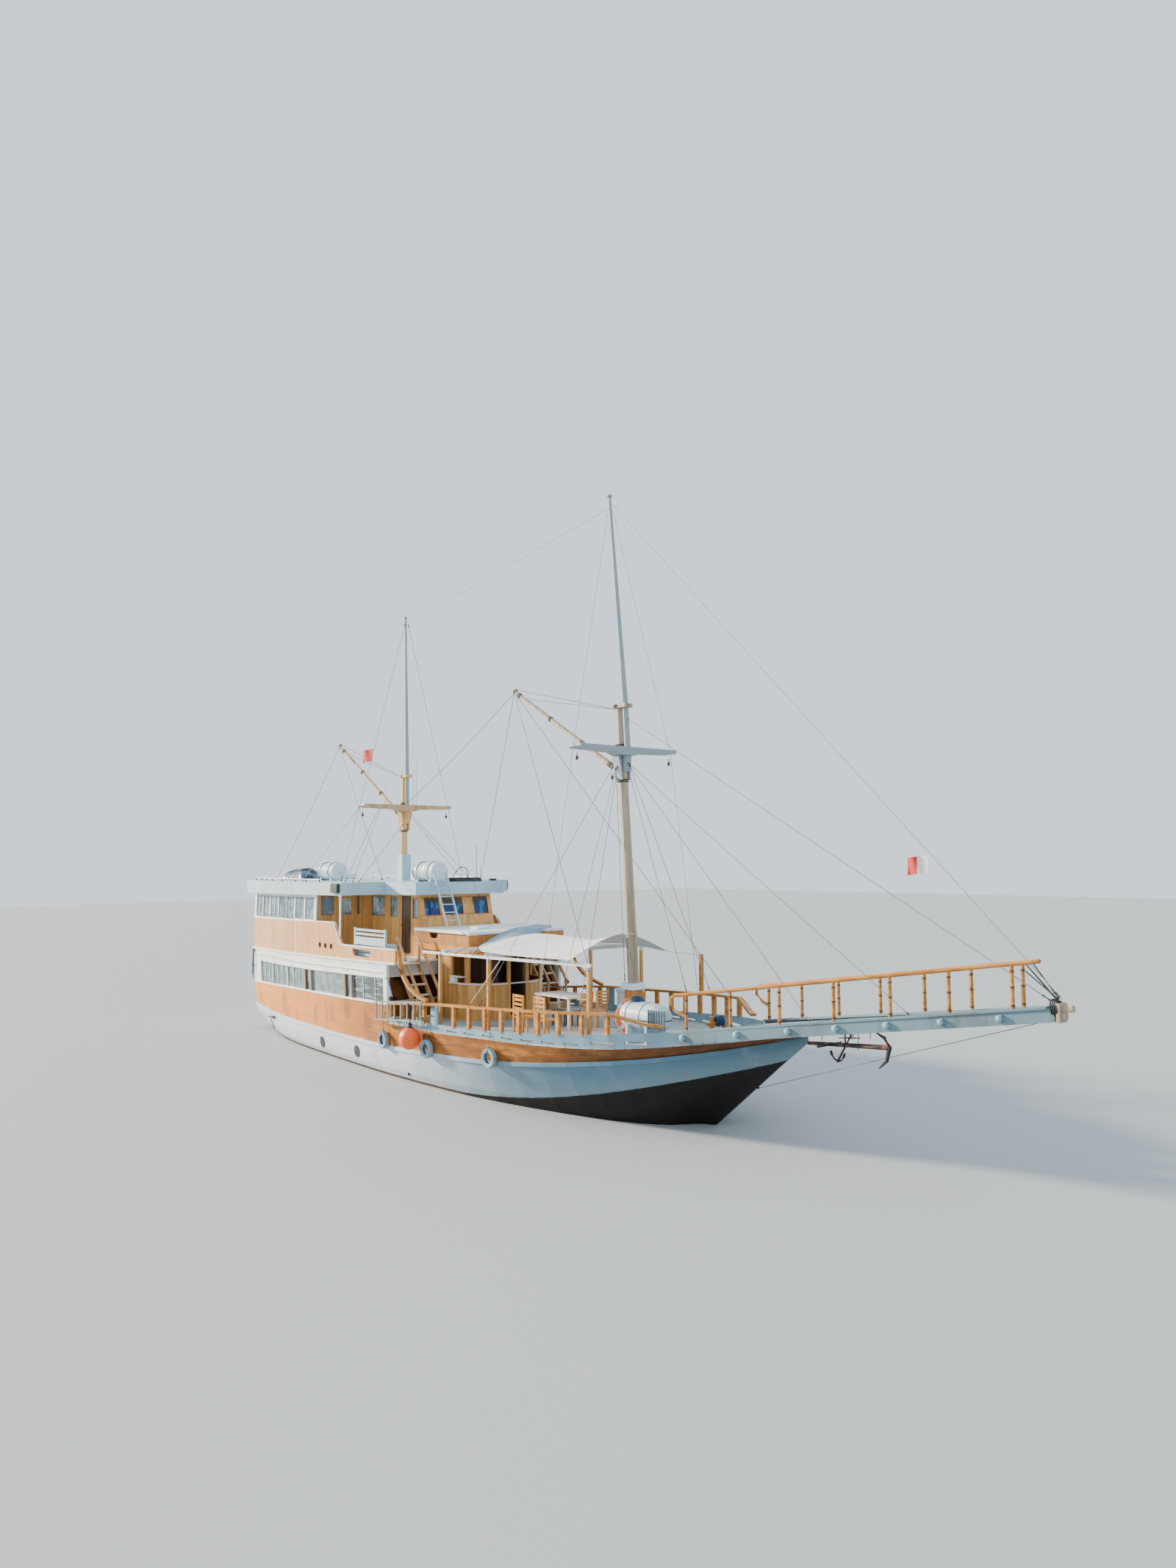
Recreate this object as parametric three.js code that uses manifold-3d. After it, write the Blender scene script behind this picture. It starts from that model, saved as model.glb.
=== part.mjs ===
// A two-masted wooden sailing yacht with a long bow platform and a two-storey deckhouse aft.
// Millimetres, X forward, Y to port, Z up. The origin is on the waterline, amidships.
import * as THREE from "three";
import { mergeVertices } from "three/addons/utils/BufferGeometryUtils.js";
import Module from "manifold-3d";

const wasm = await Module();
wasm.setup();

const boat = new THREE.Group();

// Clearance between two pieces that touch.
const SEAT = 0.3;

// Paint and timber.
const finish = {
  whitePaint: [0xe6ebee, 0.5, 0],
  bluePaint: [0xb9c9d3, 0.55, 0],
  varnish: [0xb8732f, 0.4, 0],
  paleTeak: [0xd9a476, 0.5, 0],
  weathered: [0x8f8270, 0.8, 0],
  greyPaint: [0x6d7f93, 0.6, 0],
  steel: [0x8d9094, 0.4, 0.8],
  bronze: [0x8a6a35, 0.4, 0.8],
  iron: [0x2c2a29, 0.6, 0.6],
  canvas: [0xe9e6de, 0.9, 0],
  blueTarp: [0x3a5f8f, 0.8, 0],
  orange: [0xe7593a, 0.6, 0],
};

function add(name, solid, [color, roughness, metalness]) {
  const shape = solid.isBufferGeometry ? solid : geometryOf(solid);
  const material = new THREE.MeshStandardMaterial({ color, roughness, metalness });
  const mesh = new THREE.Mesh(shape, material);
  mesh.name = name;
  boat.add(mesh);
}

// Joins and cuts.

function solidOf(geometry) {
  if (!geometry.isBufferGeometry) return geometry;
  const bare = geometry.clone();
  bare.deleteAttribute("normal");
  bare.deleteAttribute("uv");
  const merged = mergeVertices(bare, 1e-3);
  return new wasm.Manifold(
    new wasm.Mesh({
      numProp: 3,
      vertProperties: merged.attributes.position.array,
      triVerts: new Uint32Array(merged.index.array),
    }),
  );
}

function geometryOf(solid) {
  const { vertProperties, triVerts } = solid.getMesh();
  const geometry = new THREE.BufferGeometry();
  geometry.setAttribute("position", new THREE.BufferAttribute(vertProperties, 3));
  geometry.setIndex(new THREE.BufferAttribute(triVerts, 1));
  geometry.computeVertexNormals();
  return geometry;
}

const join = (...pieces) => pieces.map(solidOf).reduce((a, b) => a.add(b));
const cut = (piece, ...tools) => tools.map(solidOf).reduce((a, b) => a.subtract(b), solidOf(piece));
const common = (a, b) => solidOf(a).intersect(solidOf(b));

// Plain shapes.

function box(x0, x1, y0, y1, z0, z1) {
  const shape = new THREE.BoxGeometry(x1 - x0, y1 - y0, z1 - z0);
  return shape.translate((x0 + x1) / 2, (y0 + y1) / 2, (z0 + z1) / 2);
}

// A closed skin over rings of equal point count, capped at both ends.
function loft(rings) {
  const count = rings[0].length;
  const points = rings.flat();
  const index = [];
  for (let ring = 0; ring < rings.length - 1; ring++)
    for (let k = 0; k < count; k++) {
      const a = ring * count + k;
      const b = ring * count + ((k + 1) % count);
      index.push(a, b, a + count, b, b + count, a + count);
    }
  for (const [start, reversed] of [[0, true], [(rings.length - 1) * count, false]]) {
    const ring = points.slice(start, start + count);
    for (const [a, b, c] of capFaces(ring, reversed)) index.push(start + a, start + b, start + c);
  }
  const geometry = new THREE.BufferGeometry();
  const values = points.flatMap((p) => p.toArray());
  geometry.setAttribute("position", new THREE.Float32BufferAttribute(values, 3));
  geometry.setIndex(index);
  return facingOut(geometry);
}

// Triangles over one ring, wound like the ring or against it.
function capFaces(ring, reversed) {
  const normal = new THREE.Vector3();
  ring.forEach((p, k) => normal.add(new THREE.Vector3().crossVectors(p, ring[(k + 1) % ring.length])));
  normal.normalize();
  const hint = Math.abs(normal.z) > 0.8 ? new THREE.Vector3(1, 0, 0) : new THREE.Vector3(0, 0, 1);
  const across = new THREE.Vector3().crossVectors(hint, normal).normalize();
  const up = new THREE.Vector3().crossVectors(normal, across);
  const flat = ring.map((p) => new THREE.Vector2(p.dot(across), p.dot(up)));
  return THREE.ShapeUtils.triangulateShape(flat, []).map(([a, b, c]) => {
    const turn = flat[b].clone().sub(flat[a]).cross(flat[c].clone().sub(flat[a]));
    return turn > 0 === reversed ? [a, c, b] : [a, b, c];
  });
}

function facingOut(geometry) {
  const p = geometry.attributes.position;
  const index = geometry.index.array;
  const [a, b, c] = [new THREE.Vector3(), new THREE.Vector3(), new THREE.Vector3()];
  let volume = 0;
  for (let k = 0; k < index.length; k += 3) {
    a.fromBufferAttribute(p, index[k]);
    b.fromBufferAttribute(p, index[k + 1]);
    c.fromBufferAttribute(p, index[k + 2]);
    volume += a.dot(b.cross(c));
  }
  if (volume < 0)
    for (let k = 0; k < index.length; k += 3)
      [index[k + 1], index[k + 2]] = [index[k + 2], index[k + 1]];
  return geometry;
}

// A flat outline pushed along an axis: "x" reads (y, z), "y" reads (x, z), "z" reads (x, y).
function plate(outline, axis, from, to) {
  const corners = (points) => points.map(([u, v]) => new THREE.Vector2(u, v));
  const shape = outline instanceof THREE.Shape ? outline : new THREE.Shape(corners(outline));
  const options = { depth: to - from, bevelEnabled: false, curveSegments: 8 };
  const slab = new THREE.ExtrudeGeometry(shape, options);
  if (axis === "z") return slab.translate(0, 0, from);
  if (axis === "y") return slab.rotateX(Math.PI / 2).translate(0, to, 0);
  const turn = new THREE.Matrix4().makeBasis(
    new THREE.Vector3(0, 1, 0),
    new THREE.Vector3(0, 0, 1),
    new THREE.Vector3(1, 0, 0),
  );
  return slab.applyMatrix4(turn).translate(from, 0, 0);
}

const vec = (x, y, z) => new THREE.Vector3(x, y, z);

// A section of (side, up) points carried along a path, with one scale per path point.
function sweep(path, section, scales = path.map(() => 1)) {
  const rings = path.map((point, k) => {
    const before = path[Math.max(k - 1, 0)];
    const after = path[Math.min(k + 1, path.length - 1)];
    const ahead = after.clone().sub(before).normalize();
    const hint = Math.abs(ahead.z) > 0.8 ? vec(-1, 0, 0) : vec(0, 0, 1);
    const side = new THREE.Vector3().crossVectors(ahead, hint).normalize();
    const up = new THREE.Vector3().crossVectors(side, ahead);
    return section.map(([u, v]) =>
      point.clone().addScaledVector(side, u * scales[k]).addScaledVector(up, v * scales[k]));
  });
  return loft(rings);
}

// A regular polygon with flats facing the axes.
function polygon(radius, sides) {
  return Array.from({ length: sides }, (_, k) => {
    const angle = ((k + 0.5) / sides) * 2 * Math.PI;
    return [radius * Math.cos(angle), radius * Math.sin(angle)];
  });
}

const rod = (path, radius, sides = 8) => sweep(path, polygon(radius, sides));
const spar = (path, radii, sides = 12) => sweep(path, polygon(1, sides), radii);
function bar(path, width, height) {
  const [w, h] = [width / 2, height / 2];
  return sweep(path, [[-w, -h], [w, -h], [w, h], [-w, h]]);
}

function disc(radius, height, x, y, z, sides = 24) {
  const shape = new THREE.CylinderGeometry(radius, radius, height, sides);
  return shape.rotateX(Math.PI / 2).translate(x, y, z);
}

// The hull's lines. Columns: x, half-breadth, z.

const strakeLine = [
  [-10600, 2020, 890], [-9600, 2200, 855], [-7400, 2520, 810], [-3900, 2800, 800], [-1100, 2900, 800],
  [1300, 2960, 840], [3900, 2970, 950], [6000, 2810, 1040], [8250, 2500, 1250], [9700, 2090, 1430],
  [10600, 1660, 1550], [11400, 1160, 1690], [12200, 720, 1850], [13100, 350, 2060], [13800, 70, 2240],
];
const deckLine = [
  [1300, 3025, 1550], [4000, 3050, 1590], [5800, 2930, 1650], [7700, 2740, 1710], [8700, 2560, 1750],
  [9800, 2210, 1810], [10700, 1740, 1900], [11600, 1220, 2020], [12550, 800, 2160], [13400, 460, 2310],
  [14200, 90, 2440],
];
const toeLine = [
  [1300, 3050, 1730], [4000, 3080, 1770], [5500, 2980, 1820], [6600, 2890, 1870], [7700, 2760, 1940],
  [8700, 2580, 2010], [9950, 2170, 2120], [10700, 1780, 2190], [11400, 1370, 2240],
];
const sillLine = [
  [-10600, 2080, 1700], [-9250, 2330, 1755], [-7400, 2600, 1830], [-5600, 2760, 1885], [-2000, 2980, 1965],
  [500, 3060, 2025], [1300, 3080, 2040],
];
const beltLine = [
  [-10600, 2150, 2920], [-9250, 2400, 2950], [-7400, 2660, 2990], [-5600, 2820, 3020], [-2000, 3040, 3090],
  [500, 3110, 3150], [1900, 3130, 3180],
];
const capLine = [
  [1300, 3070, 2100], [3800, 3070, 2310], [5800, 2920, 2395], [7700, 2730, 2490], [8700, 2570, 2540],
  [9900, 2200, 2600],
];

// A smooth curve through a line's table, read at x.
function on(line, x) {
  let k = 1;
  while (k < line.length - 1 && line[k][0] < x) k++;
  const [a, b] = [line[k - 1], line[k]];
  const p = line[Math.max(k - 2, 0)];
  const n = line[Math.min(k + 1, line.length - 1)];
  const span = b[0] - a[0];
  const t = (x - a[0]) / span;
  const value = (column) => {
    const leaving = ((b[column] - p[column]) / (b[0] - p[0])) * span;
    const arriving = ((n[column] - a[column]) / (n[0] - a[0])) * span;
    const [t2, t3] = [t * t, t * t * t];
    return a[column] * (2 * t3 - 3 * t2 + 1) + leaving * (t3 - 2 * t2 + t) +
      b[column] * (3 * t2 - 2 * t3) + arriving * (t3 - t2);
  };
  return { half: value(1), z: value(2) };
}

// The stem rakes forward as it rises, so the upper lines run further forward.
const STEM_RAKE = 1.25;
const RAKE_STARTS = 8700;
const STEM_STRAKE = 13800;
function rakedX(x, rise) {
  const t = THREE.MathUtils.smoothstep(x, RAKE_STARTS, STEM_STRAKE);
  return x + t * rise * STEM_RAKE;
}

const WIDE = 4000; // beyond the beam on either side
const BREAK = 1300; // the cabin ends and the open foredeck begins
const STERN = -10600;
const FRONT_WALL = 960; // the cabin's front wall, behind the stairs; its side walls run on to the break
const aftStations = [-10600, -9600, -8400, -7200, -5900, -4600, -3200, -1600, 0, FRONT_WALL, BREAK];
const foreStations = [
  BREAK, 2600, 3900, 5000, 6000, 7000, 7900, 8700, 9300, 9900, 10500, 11000, 11500, 12200, 13100,
  STEM_STRAKE,
];
const allStations = [...aftStations, ...foreStations.slice(1)];

// A full-width layer between two heights, from functions that give half-breadth, z and x per station.
function layer(stations, lower, upper) {
  return loft(stations.map((x) => {
    const [a, b] = [lower(x), upper(x)];
    return [vec(a.x, -a.half, a.z), vec(a.x, a.half, a.z), vec(b.x, b.half, b.z), vec(b.x, -b.half, b.z)];
  }));
}

// The same layer as a strip of wall on one side, with its thickness measured inboard.
function wallStrip(stations, lower, upper, thick, side) {
  return loft(stations.map((x) => {
    const [a, b] = [lower(x), upper(x)];
    return [
      vec(a.x, side * a.half, a.z), vec(b.x, side * b.half, b.z),
      vec(b.x, side * (b.half - thick), b.z), vec(a.x, side * (a.half - thick), a.z),
    ];
  }));
}

// A line as built, straight from station to station.
function chord(line, x) {
  let k = 1;
  while (k < allStations.length - 1 && allStations[k] < x) k++;
  const [from, to] = [allStations[k - 1], allStations[k]];
  const [a, b] = [on(line, from), on(line, to)];
  const t = (x - from) / (to - from);
  return { half: THREE.MathUtils.lerp(a.half, b.half, t), z: THREE.MathUtils.lerp(a.z, b.z, t) };
}

const level = (line, dz = 0, outset = 0) => (x) => {
  const p = chord(line, x);
  return { x, half: p.half + outset, z: p.z + dz };
};

// Hull below the strake: columns x, bottom z, turn half, turn z, side half, side z.

const hullSections = [
  [-10600, 260, 1150, 330, 1850, 470], [-9600, -60, 1200, 80, 1980, 330],
  [-8400, -420, 1250, -260, 2150, 80], [-6300, -900, 1500, -640, 2480, 0],
  [-3000, -1300, 1850, -920, 2690, 0], [1000, -1450, 2000, -1040, 2800, 0],
  [4700, -1480, 1780, -1020, 2620, 0], [7000, -1460, 1280, -980, 2230, 0],
  [8500, -1430, 760, -860, 1840, 0], [9600, -1220, 420, -720, 1440, 0],
  [10400, -580, 290, -340, 1020, 100], [11130, 0, 210, 260, 800, 760],
  [12200, 860, 150, 1080, 420, 1420], [13100, 1590, 90, 1710, 190, 1880],
  [13800, 2130, 60, 2150, 62, 2165],
];
const STRAKE_HALF_HEIGHT = 50;
const KEEL_HALF = 110;
const STEM_HALF = 55;

function hullRing(x) {
  const column = (k) => on(hullSections.map((row) => [row[0], row[k], 0]), x).half;
  const top = on(strakeLine, x);
  const taper = THREE.MathUtils.clamp((x - 8000) / 2500, 0, 1);
  const keelHalf = THREE.MathUtils.lerp(KEEL_HALF, STEM_HALF, taper);
  const outline = new THREE.SplineCurve([
    new THREE.Vector2(keelHalf, column(1)),
    new THREE.Vector2(column(2), column(3)),
    new THREE.Vector2(column(4), column(5)),
    new THREE.Vector2(top.half, top.z - STRAKE_HALF_HEIGHT),
  ]).getPoints(8);
  const starboard = outline.map((p) => vec(x, -p.x, p.y));
  const port = outline.map((p) => vec(x, p.x, p.y)).reverse();
  return [...starboard, ...port];
}

const ENGINE = { x: -5200, length: 1900, width: 950, height: 1150, bottom: -780 };
const KEEL = { fore: 9300, aft: -8300, bottomFore: -1780, half: KEEL_HALF };
const PROPELLER = { x: -8720, z: -1180, radius: 430, hub: 95 };
const RUDDER = { stockX: -9330, aft: -10150, top: -430, bottom: -1900, half: 45 };
const SHOE = { aft: -9620, top: -1940, bottom: -2040, socket: -2010 };
const SHAFT = 40;
const BEARING = 0.6; // running clearance round the shaft

function hull() {
  const keel = plate([
    [KEEL.fore, -1330], [KEEL.fore - 500, KEEL.bottomFore], [KEEL.aft, SHOE.bottom],
    [SHOE.aft, SHOE.bottom], [SHOE.aft, SHOE.top], [KEEL.aft, SHOE.top],
    [KEEL.aft, -300], [KEEL.aft + 1400, -500], [0, -1300],
  ], "y", -KEEL.half, KEEL.half);
  const sternTube = new THREE.CylinderGeometry(90, 110, 260, 16).rotateZ(Math.PI / 2)
    .translate(KEEL.aft - 60, 0, PROPELLER.z);
  const shaftBore = new THREE.CylinderGeometry(SHAFT + BEARING, SHAFT + BEARING, 500, 32)
    .rotateZ(Math.PI / 2).translate(KEEL.aft - 60, 0, PROPELLER.z);
  const rudderTrunk = disc(48, 1200, RUDDER.stockX, 0, 200, 16);
  const heelSocket = disc(38, 80, RUDDER.stockX, 0, SHOE.socket + 40 - SEAT, 16);
  const engineBay = box(
    ENGINE.x - ENGINE.length / 2 - 250, ENGINE.x + ENGINE.length / 2 + 250,
    -ENGINE.width / 2 - 200, ENGINE.width / 2 + 200, ENGINE.bottom, 2000);
  const body = join(loft(allStations.map(hullRing)), keel, sternTube);
  return cut(body, shaftBore, rudderTrunk, heelSocket, engineBay);
}

add("hull", hull(), finish.whitePaint);
add("engine", box(
  ENGINE.x - ENGINE.length / 2, ENGINE.x + ENGINE.length / 2, -ENGINE.width / 2, ENGINE.width / 2,
  ENGINE.bottom + SEAT, ENGINE.bottom + SEAT + ENGINE.height), finish.greyPaint);

// The rubbing strake is the outer edge of the beam shelf, a flat layer that closes the hull.

const STRAKE_PROUD = 45;
const strakeUnder = level(strakeLine, -STRAKE_HALF_HEIGHT + SEAT, STRAKE_PROUD);
const strakeOver = level(strakeLine, STRAKE_HALF_HEIGHT, STRAKE_PROUD);
add("rubbing_strake", cut(
  layer(allStations, strakeUnder, strakeOver),
  disc(48, 4000, RUDDER.stockX, 0, 0, 16)), finish.whitePaint);

// Forward, solid planking carries the deck. Aft, the planking is the lower wall of the cabin.

const DECK_THICK = 45;
const foreLower = level(strakeLine, STRAKE_HALF_HEIGHT + SEAT);
const deckAt = (dz, outset = 0) => (x) => {
  const strakeZ = on(strakeLine, x).z;
  const rise = on(deckLine, rakedX(x, 260)).z - strakeZ;
  const upperX = rakedX(x, Math.min(rise, 260));
  const p = on(deckLine, upperX);
  return { x: upperX, half: p.half + outset, z: p.z + dz };
};
const WALL_GAP = 2;
const foreFrom = [BREAK + WALL_GAP, ...foreStations.slice(1)];
const WALL = 90;
const plankTop = level(sillLine);
// The same layer inside the cabin's side walls, which lean outward.
const inboard = (line) => (x) => {
  const p = line(x);
  const [low, high] = [foreLower(x), plankTop(x)];
  const wall = THREE.MathUtils.mapLinear(p.z, low.z, high.z, low.half, high.half);
  return { ...p, half: wall - WALL - WALL_GAP };
};
const innerFrom = [FRONT_WALL + WALL_GAP, BREAK + 20];
const foreLayer = (lower, upper) =>
  join(layer(foreFrom, lower, upper), layer(innerFrom, inboard(lower), inboard(upper)));
add("fore_planking", foreLayer(foreLower, deckAt(-DECK_THICK)), finish.varnish);

add("fore_deck", foreLayer(deckAt(-DECK_THICK + SEAT), deckAt(0)), finish.bluePaint);

// What stands on the foredeck or the upper deck is cut to the deck's own surface.
const overDeck = foreLayer(deckAt(-500, SEAT), deckAt(SEAT, SEAT));
const onDeck = (piece) => cut(piece, overDeck);

// Walls round the stations of a layer, hollow inside from the transom to the front wall.
function ringOfWalls(stations, lower, upper, thick, front) {
  const from = stations[0] + thick;
  const inner = [from, ...stations.filter((x) => x > from + 100 && x < front - 200), front - thick];
  const hollow = (stationsInside, dz) => layer(stationsInside,
    (x) => ({ ...lower(x), half: lower(x).half - thick, z: lower(x).z - dz }),
    (x) => ({ ...upper(x), half: upper(x).half - thick, z: upper(x).z + dz }));
  const outer = layer(stations, lower, upper);
  const last = stations.at(-1);
  const open = last > front ? [hollow([front, last + 1], 40)] : [];
  return cut(outer, hollow(inner, 40), ...open);
}
add("cabin_planking", ringOfWalls(aftStations, foreLower, plankTop, WALL, FRONT_WALL), finish.paleTeak);

// Window band: long openings and two narrow ones, with posts between. Columns: from x, to x.

const cabinWindows = [
  [-9550, -7980], [-7920, -6360], [-6300, -4690], [-4610, -4130], [-4050, -1500], [-1420, -990],
  [-910, 1080],
];
const WINDOW_SILL = 35;
const windowHead = [
  [-10600, 0, 2505], [-9280, 0, 2522], [-4090, 0, 2607], [-980, 0, 2698], [1340, 0, 2762],
];
const bandFoot = level(sillLine, SEAT);
const bandHead = level(beltLine);
function windowBand() {
  let band = ringOfWalls(aftStations, bandFoot, bandHead, WALL, FRONT_WALL);
  for (const [from, to] of cabinWindows) {
    const opening = [
      [from, on(sillLine, from).z + WINDOW_SILL], [to, on(sillLine, to).z + WINDOW_SILL],
      [to, on(windowHead, to).z], [from, on(windowHead, from).z],
    ];
    band = cut(band, plate(opening, "y", -WIDE, WIDE));
  }
  const sternWindow = (y) => box(STERN - 100, STERN + 200, y - 420, y + 420, 1860, 2460);
  return cut(band, sternWindow(-1250), sternWindow(0), sternWindow(1250));
}
add("cabin_window_band", windowBand(), finish.whitePaint);

// Upper deck, its planked bulwark and the white-framed saloon at the stern.

const UPPER = { front: 1840, thick: 60, edge: 45, stairX: 1000, stairIn: 1880, stairOut: 2680 };
const upperStations = [...aftStations, UPPER.front];
const upperUnder = level(beltLine, SEAT, UPPER.edge);
const upperOver = level(beltLine, UPPER.thick, UPPER.edge);
const upperDeckTop = (x) => on(beltLine, x).z + UPPER.thick;
function upperDeck() {
  const stairWells = [-1, 1].map((side) => {
    const [a, b] = [side * UPPER.stairIn, side * UPPER.stairOut].sort((p, q) => p - q);
    return box(UPPER.stairX, 3000, a, b, 2500, 4000);
  });
  const centre = box(BREAK - 10, 3000, -UPPER.stairIn - 10, UPPER.stairIn + 10, 2500, 4000);
  return cut(layer(upperStations, upperUnder, upperOver), ...stairWells, centre);
}
add("upper_deck", upperDeck(), finish.whitePaint);
const overUpperDeck = layer(
  upperStations, level(beltLine, -600, UPPER.edge), level(beltLine, UPPER.thick + SEAT, UPPER.edge));
const onUpperDeck = (piece) => cut(piece, overUpperDeck);

const UPPER_WALL = 60;
const bulwarkTop = { aft: 4030, fore: 4187, slopeFrom: -2200, slopeTo: -1660, low: 3530, lowFore: 3570 };
const ABOVE = 4800;
function upperPlanking() {
  const foot = level(beltLine, UPPER.thick + SEAT, 0);
  const head = (x) => ({ x, half: on(beltLine, x).half + 10, z: 4300 });
  const ring = ringOfWalls(upperStations, foot, head, UPPER_WALL, UPPER.front + 200);
  const { aft, fore, slopeFrom, slopeTo, low, lowFore } = bulwarkTop;
  const sheer = new THREE.Shape();
  sheer.moveTo(STERN - 200, aft);
  sheer.lineTo(slopeFrom, fore);
  sheer.lineTo(slopeTo, low + 150);
  sheer.quadraticCurveTo(slopeTo + 60, low, slopeTo + 500, low);
  sheer.lineTo(UPPER.front + 200, lowFore);
  sheer.lineTo(UPPER.front + 200, ABOVE);
  sheer.lineTo(STERN - 200, ABOVE);
  const ports = [-3280, -2840, -2400].map((x) => box(x - 55, x + 55, -WIDE, WIDE, 3400, 3520));
  // The long slot in the boards outside the bench, rounded at its foot.
  const slot = new THREE.Shape();
  slot.moveTo(-860, 3485);
  slot.lineTo(350, 3485);
  slot.quadraticCurveTo(330, 3300, 200, 3275);
  slot.lineTo(-710, 3275);
  slot.quadraticCurveTo(-840, 3300, -860, 3485);
  return cut(ring, plate(sheer, "y", -WIDE, WIDE), ...ports, plate(slot, "y", -WIDE, WIDE));
}
add("upper_planking", upperPlanking(), finish.paleTeak);

const roofUnder = (x) => 4960 + (x - STERN) * 0.0085; // the ceiling rises gently towards the bow
const aboveRoof = (gap) => plate([
  [STERN - 600, roofUnder(STERN - 600) - gap], [2000, roofUnder(2000) - gap],
  [2000, 7000], [STERN - 600, 7000],
], "y", -WIDE, WIDE);

// The stern saloon stands on the bulwark's cap. Columns: window from x, to x.
const SALOON_AFT = { front: -3700, wall: 60, door: 2140, doorIn: 1560, sill: 3240, head: 4960 };
const aftWindows = [
  [-10300, -9300], [-9220, -8330], [-8230, -7290], [-7210, -5640], [-5540, -4740], [-4640, -3860],
];
function aftSaloon() {
  const stations = [...aftStations.filter((x) => x < SALOON_AFT.front), SALOON_AFT.front];
  const { aft, fore, slopeFrom } = bulwarkTop;
  const capZ = (x) => THREE.MathUtils.mapLinear(x, STERN - 200, slopeFrom, aft, fore);
  const foot = (x) => ({ ...level(beltLine, 0, 8)(x), z: 3900 });
  const head = (x) => ({ ...level(beltLine, 0, -40)(x), z: 5400 });
  const end = SALOON_AFT.front + 200;
  const bulwarkClear = plate([
    [STERN - 200, 3000], [end, 3000], [end, capZ(end) + SEAT], [STERN - 200, capZ(STERN - 200) + SEAT],
  ], "y", -WIDE, WIDE);
  const ring = ringOfWalls(stations, foot, head, SALOON_AFT.wall, end);
  const sideWindows = aftWindows.map(([a, b]) => box(a, b, -WIDE, WIDE, capZ(a) + 60, roofUnder(a) - 75));
  const sternWindows = [-1350, -450, 450, 1350].map((y) =>
    box(STERN - 300, STERN + 200, y - 400, y + 400, 4120, 4870));
  return cut(ring, bulwarkClear, aboveRoof(SEAT), ...sideWindows, ...sternWindows);
}

// The forward wall of the stern saloon, open to the upper cabin in the middle.
function saloonBulkhead() {
  const { front, wall, door, doorIn, sill, head } = SALOON_AFT;
  const half = chord(beltLine, front).half - 40 - wall - SEAT - 4;
  const slab = box(front - wall, front, -half, half, 3100, 5400);
  // Openings. Columns: y0, y1, z0, z1.
  const openings = [
    [-900, 900, 3000, 4960], [-half + 80, -2300, 4360, 4960], [-1490, -1370, 4360, 4960],
    [-door, -doorIn, sill, head], [2300, half - 80, 4360, 4960],
    [1370, 1490, 4360, 4960], [1560, 2140, 4360, 4960],
  ];
  const holes = openings.map(([a, b, z0, z1]) => box(front - 200, front + 200, a, b, z0, z1));
  return cut(onUpperDeck(slab), aboveRoof(SEAT), ...holes);
}

// Upper cabin and wheelhouse, one after the other along the centreline.

const CABIN = { aft: SALOON_AFT.front + SEAT, fore: -1250, half: 1300, wall: 55 };
const WHEELHOUSE = {
  aft: -1245, foot: 230, head: -40, half: 1270, wall: 55, sillFront: 4420, headFront: 4960,
};
const DOOR = { aft: -1120, fore: -560, thick: 45, foot: 3250, head: 5000 };
const cabinSideWindows = [[-3030, -2180], [-1780, -1340]]; // from x, to x

function upperCabin() {
  const { aft, fore, half, wall } = CABIN;
  const shell = cut(
    box(aft, fore, -half + 2, half - 2, 3000, 5600),
    box(aft - 100, fore - wall, -half + wall, half - wall, 2900, 5700),
  );
  const windows = cabinSideWindows.map(([a, b]) => box(a, b, -2000, 2000, 4340, 4960));
  const foreDoorway = box(fore - 200, fore + 100, -380, 380, 2900, 4950);
  return onUpperDeck(cut(shell, aboveRoof(SEAT), foreDoorway, ...windows));
}

function wheelhouse() {
  const { aft, foot, head, half, wall } = WHEELHOUSE;
  const BOX_TOP = 4110;
  const profile = (inset) => {
    const slope = (head - foot) / (5100 - BOX_TOP);
    return [[aft + inset, 3000], [foot - inset, 3000], [foot - inset, BOX_TOP],
      [foot - inset + slope * (5600 - BOX_TOP), 5600], [aft + inset, 5600]];
  };
  const outer = plate(profile(0), "y", -half, half);
  const through = profile(wall).map(([x, z]) => [x, z < 3500 ? 2900 : z > 5500 ? 5700 : z]);
  const inner = plate(through, "y", -half + wall, half - wall);
  const frontPanes = [[-1170, -640], [-560, 200], [590, 1130]].map(([a, b]) =>
    box(-400, 600, a, b, WHEELHOUSE.sillFront, WHEELHOUSE.headFront));
  const sidePane = plate([[-440, 4330], [-110, 4330], [-210, 4930], [-440, 4930]], "y", -2000, 2000);
  const doorways = box(DOOR.aft, DOOR.fore, -2000, 2000, DOOR.foot, DOOR.head);
  const toCabin = box(aft - 100, aft + 200, -380, 380, 2900, 4950);
  return onUpperDeck(cut(cut(outer, inner), aboveRoof(SEAT), ...frontPanes, sidePane, doorways, toCabin));
}

add("aft_saloon", aftSaloon(), finish.whitePaint);
add("saloon_bulkhead", saloonBulkhead(), finish.varnish);
add("upper_cabin", upperCabin(), finish.varnish);
add("wheelhouse", wheelhouse(), finish.varnish);

// Door from the starboard side deck into the stern saloon, hung on its outboard edge.
const DOOR_GAP = 8;
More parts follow.
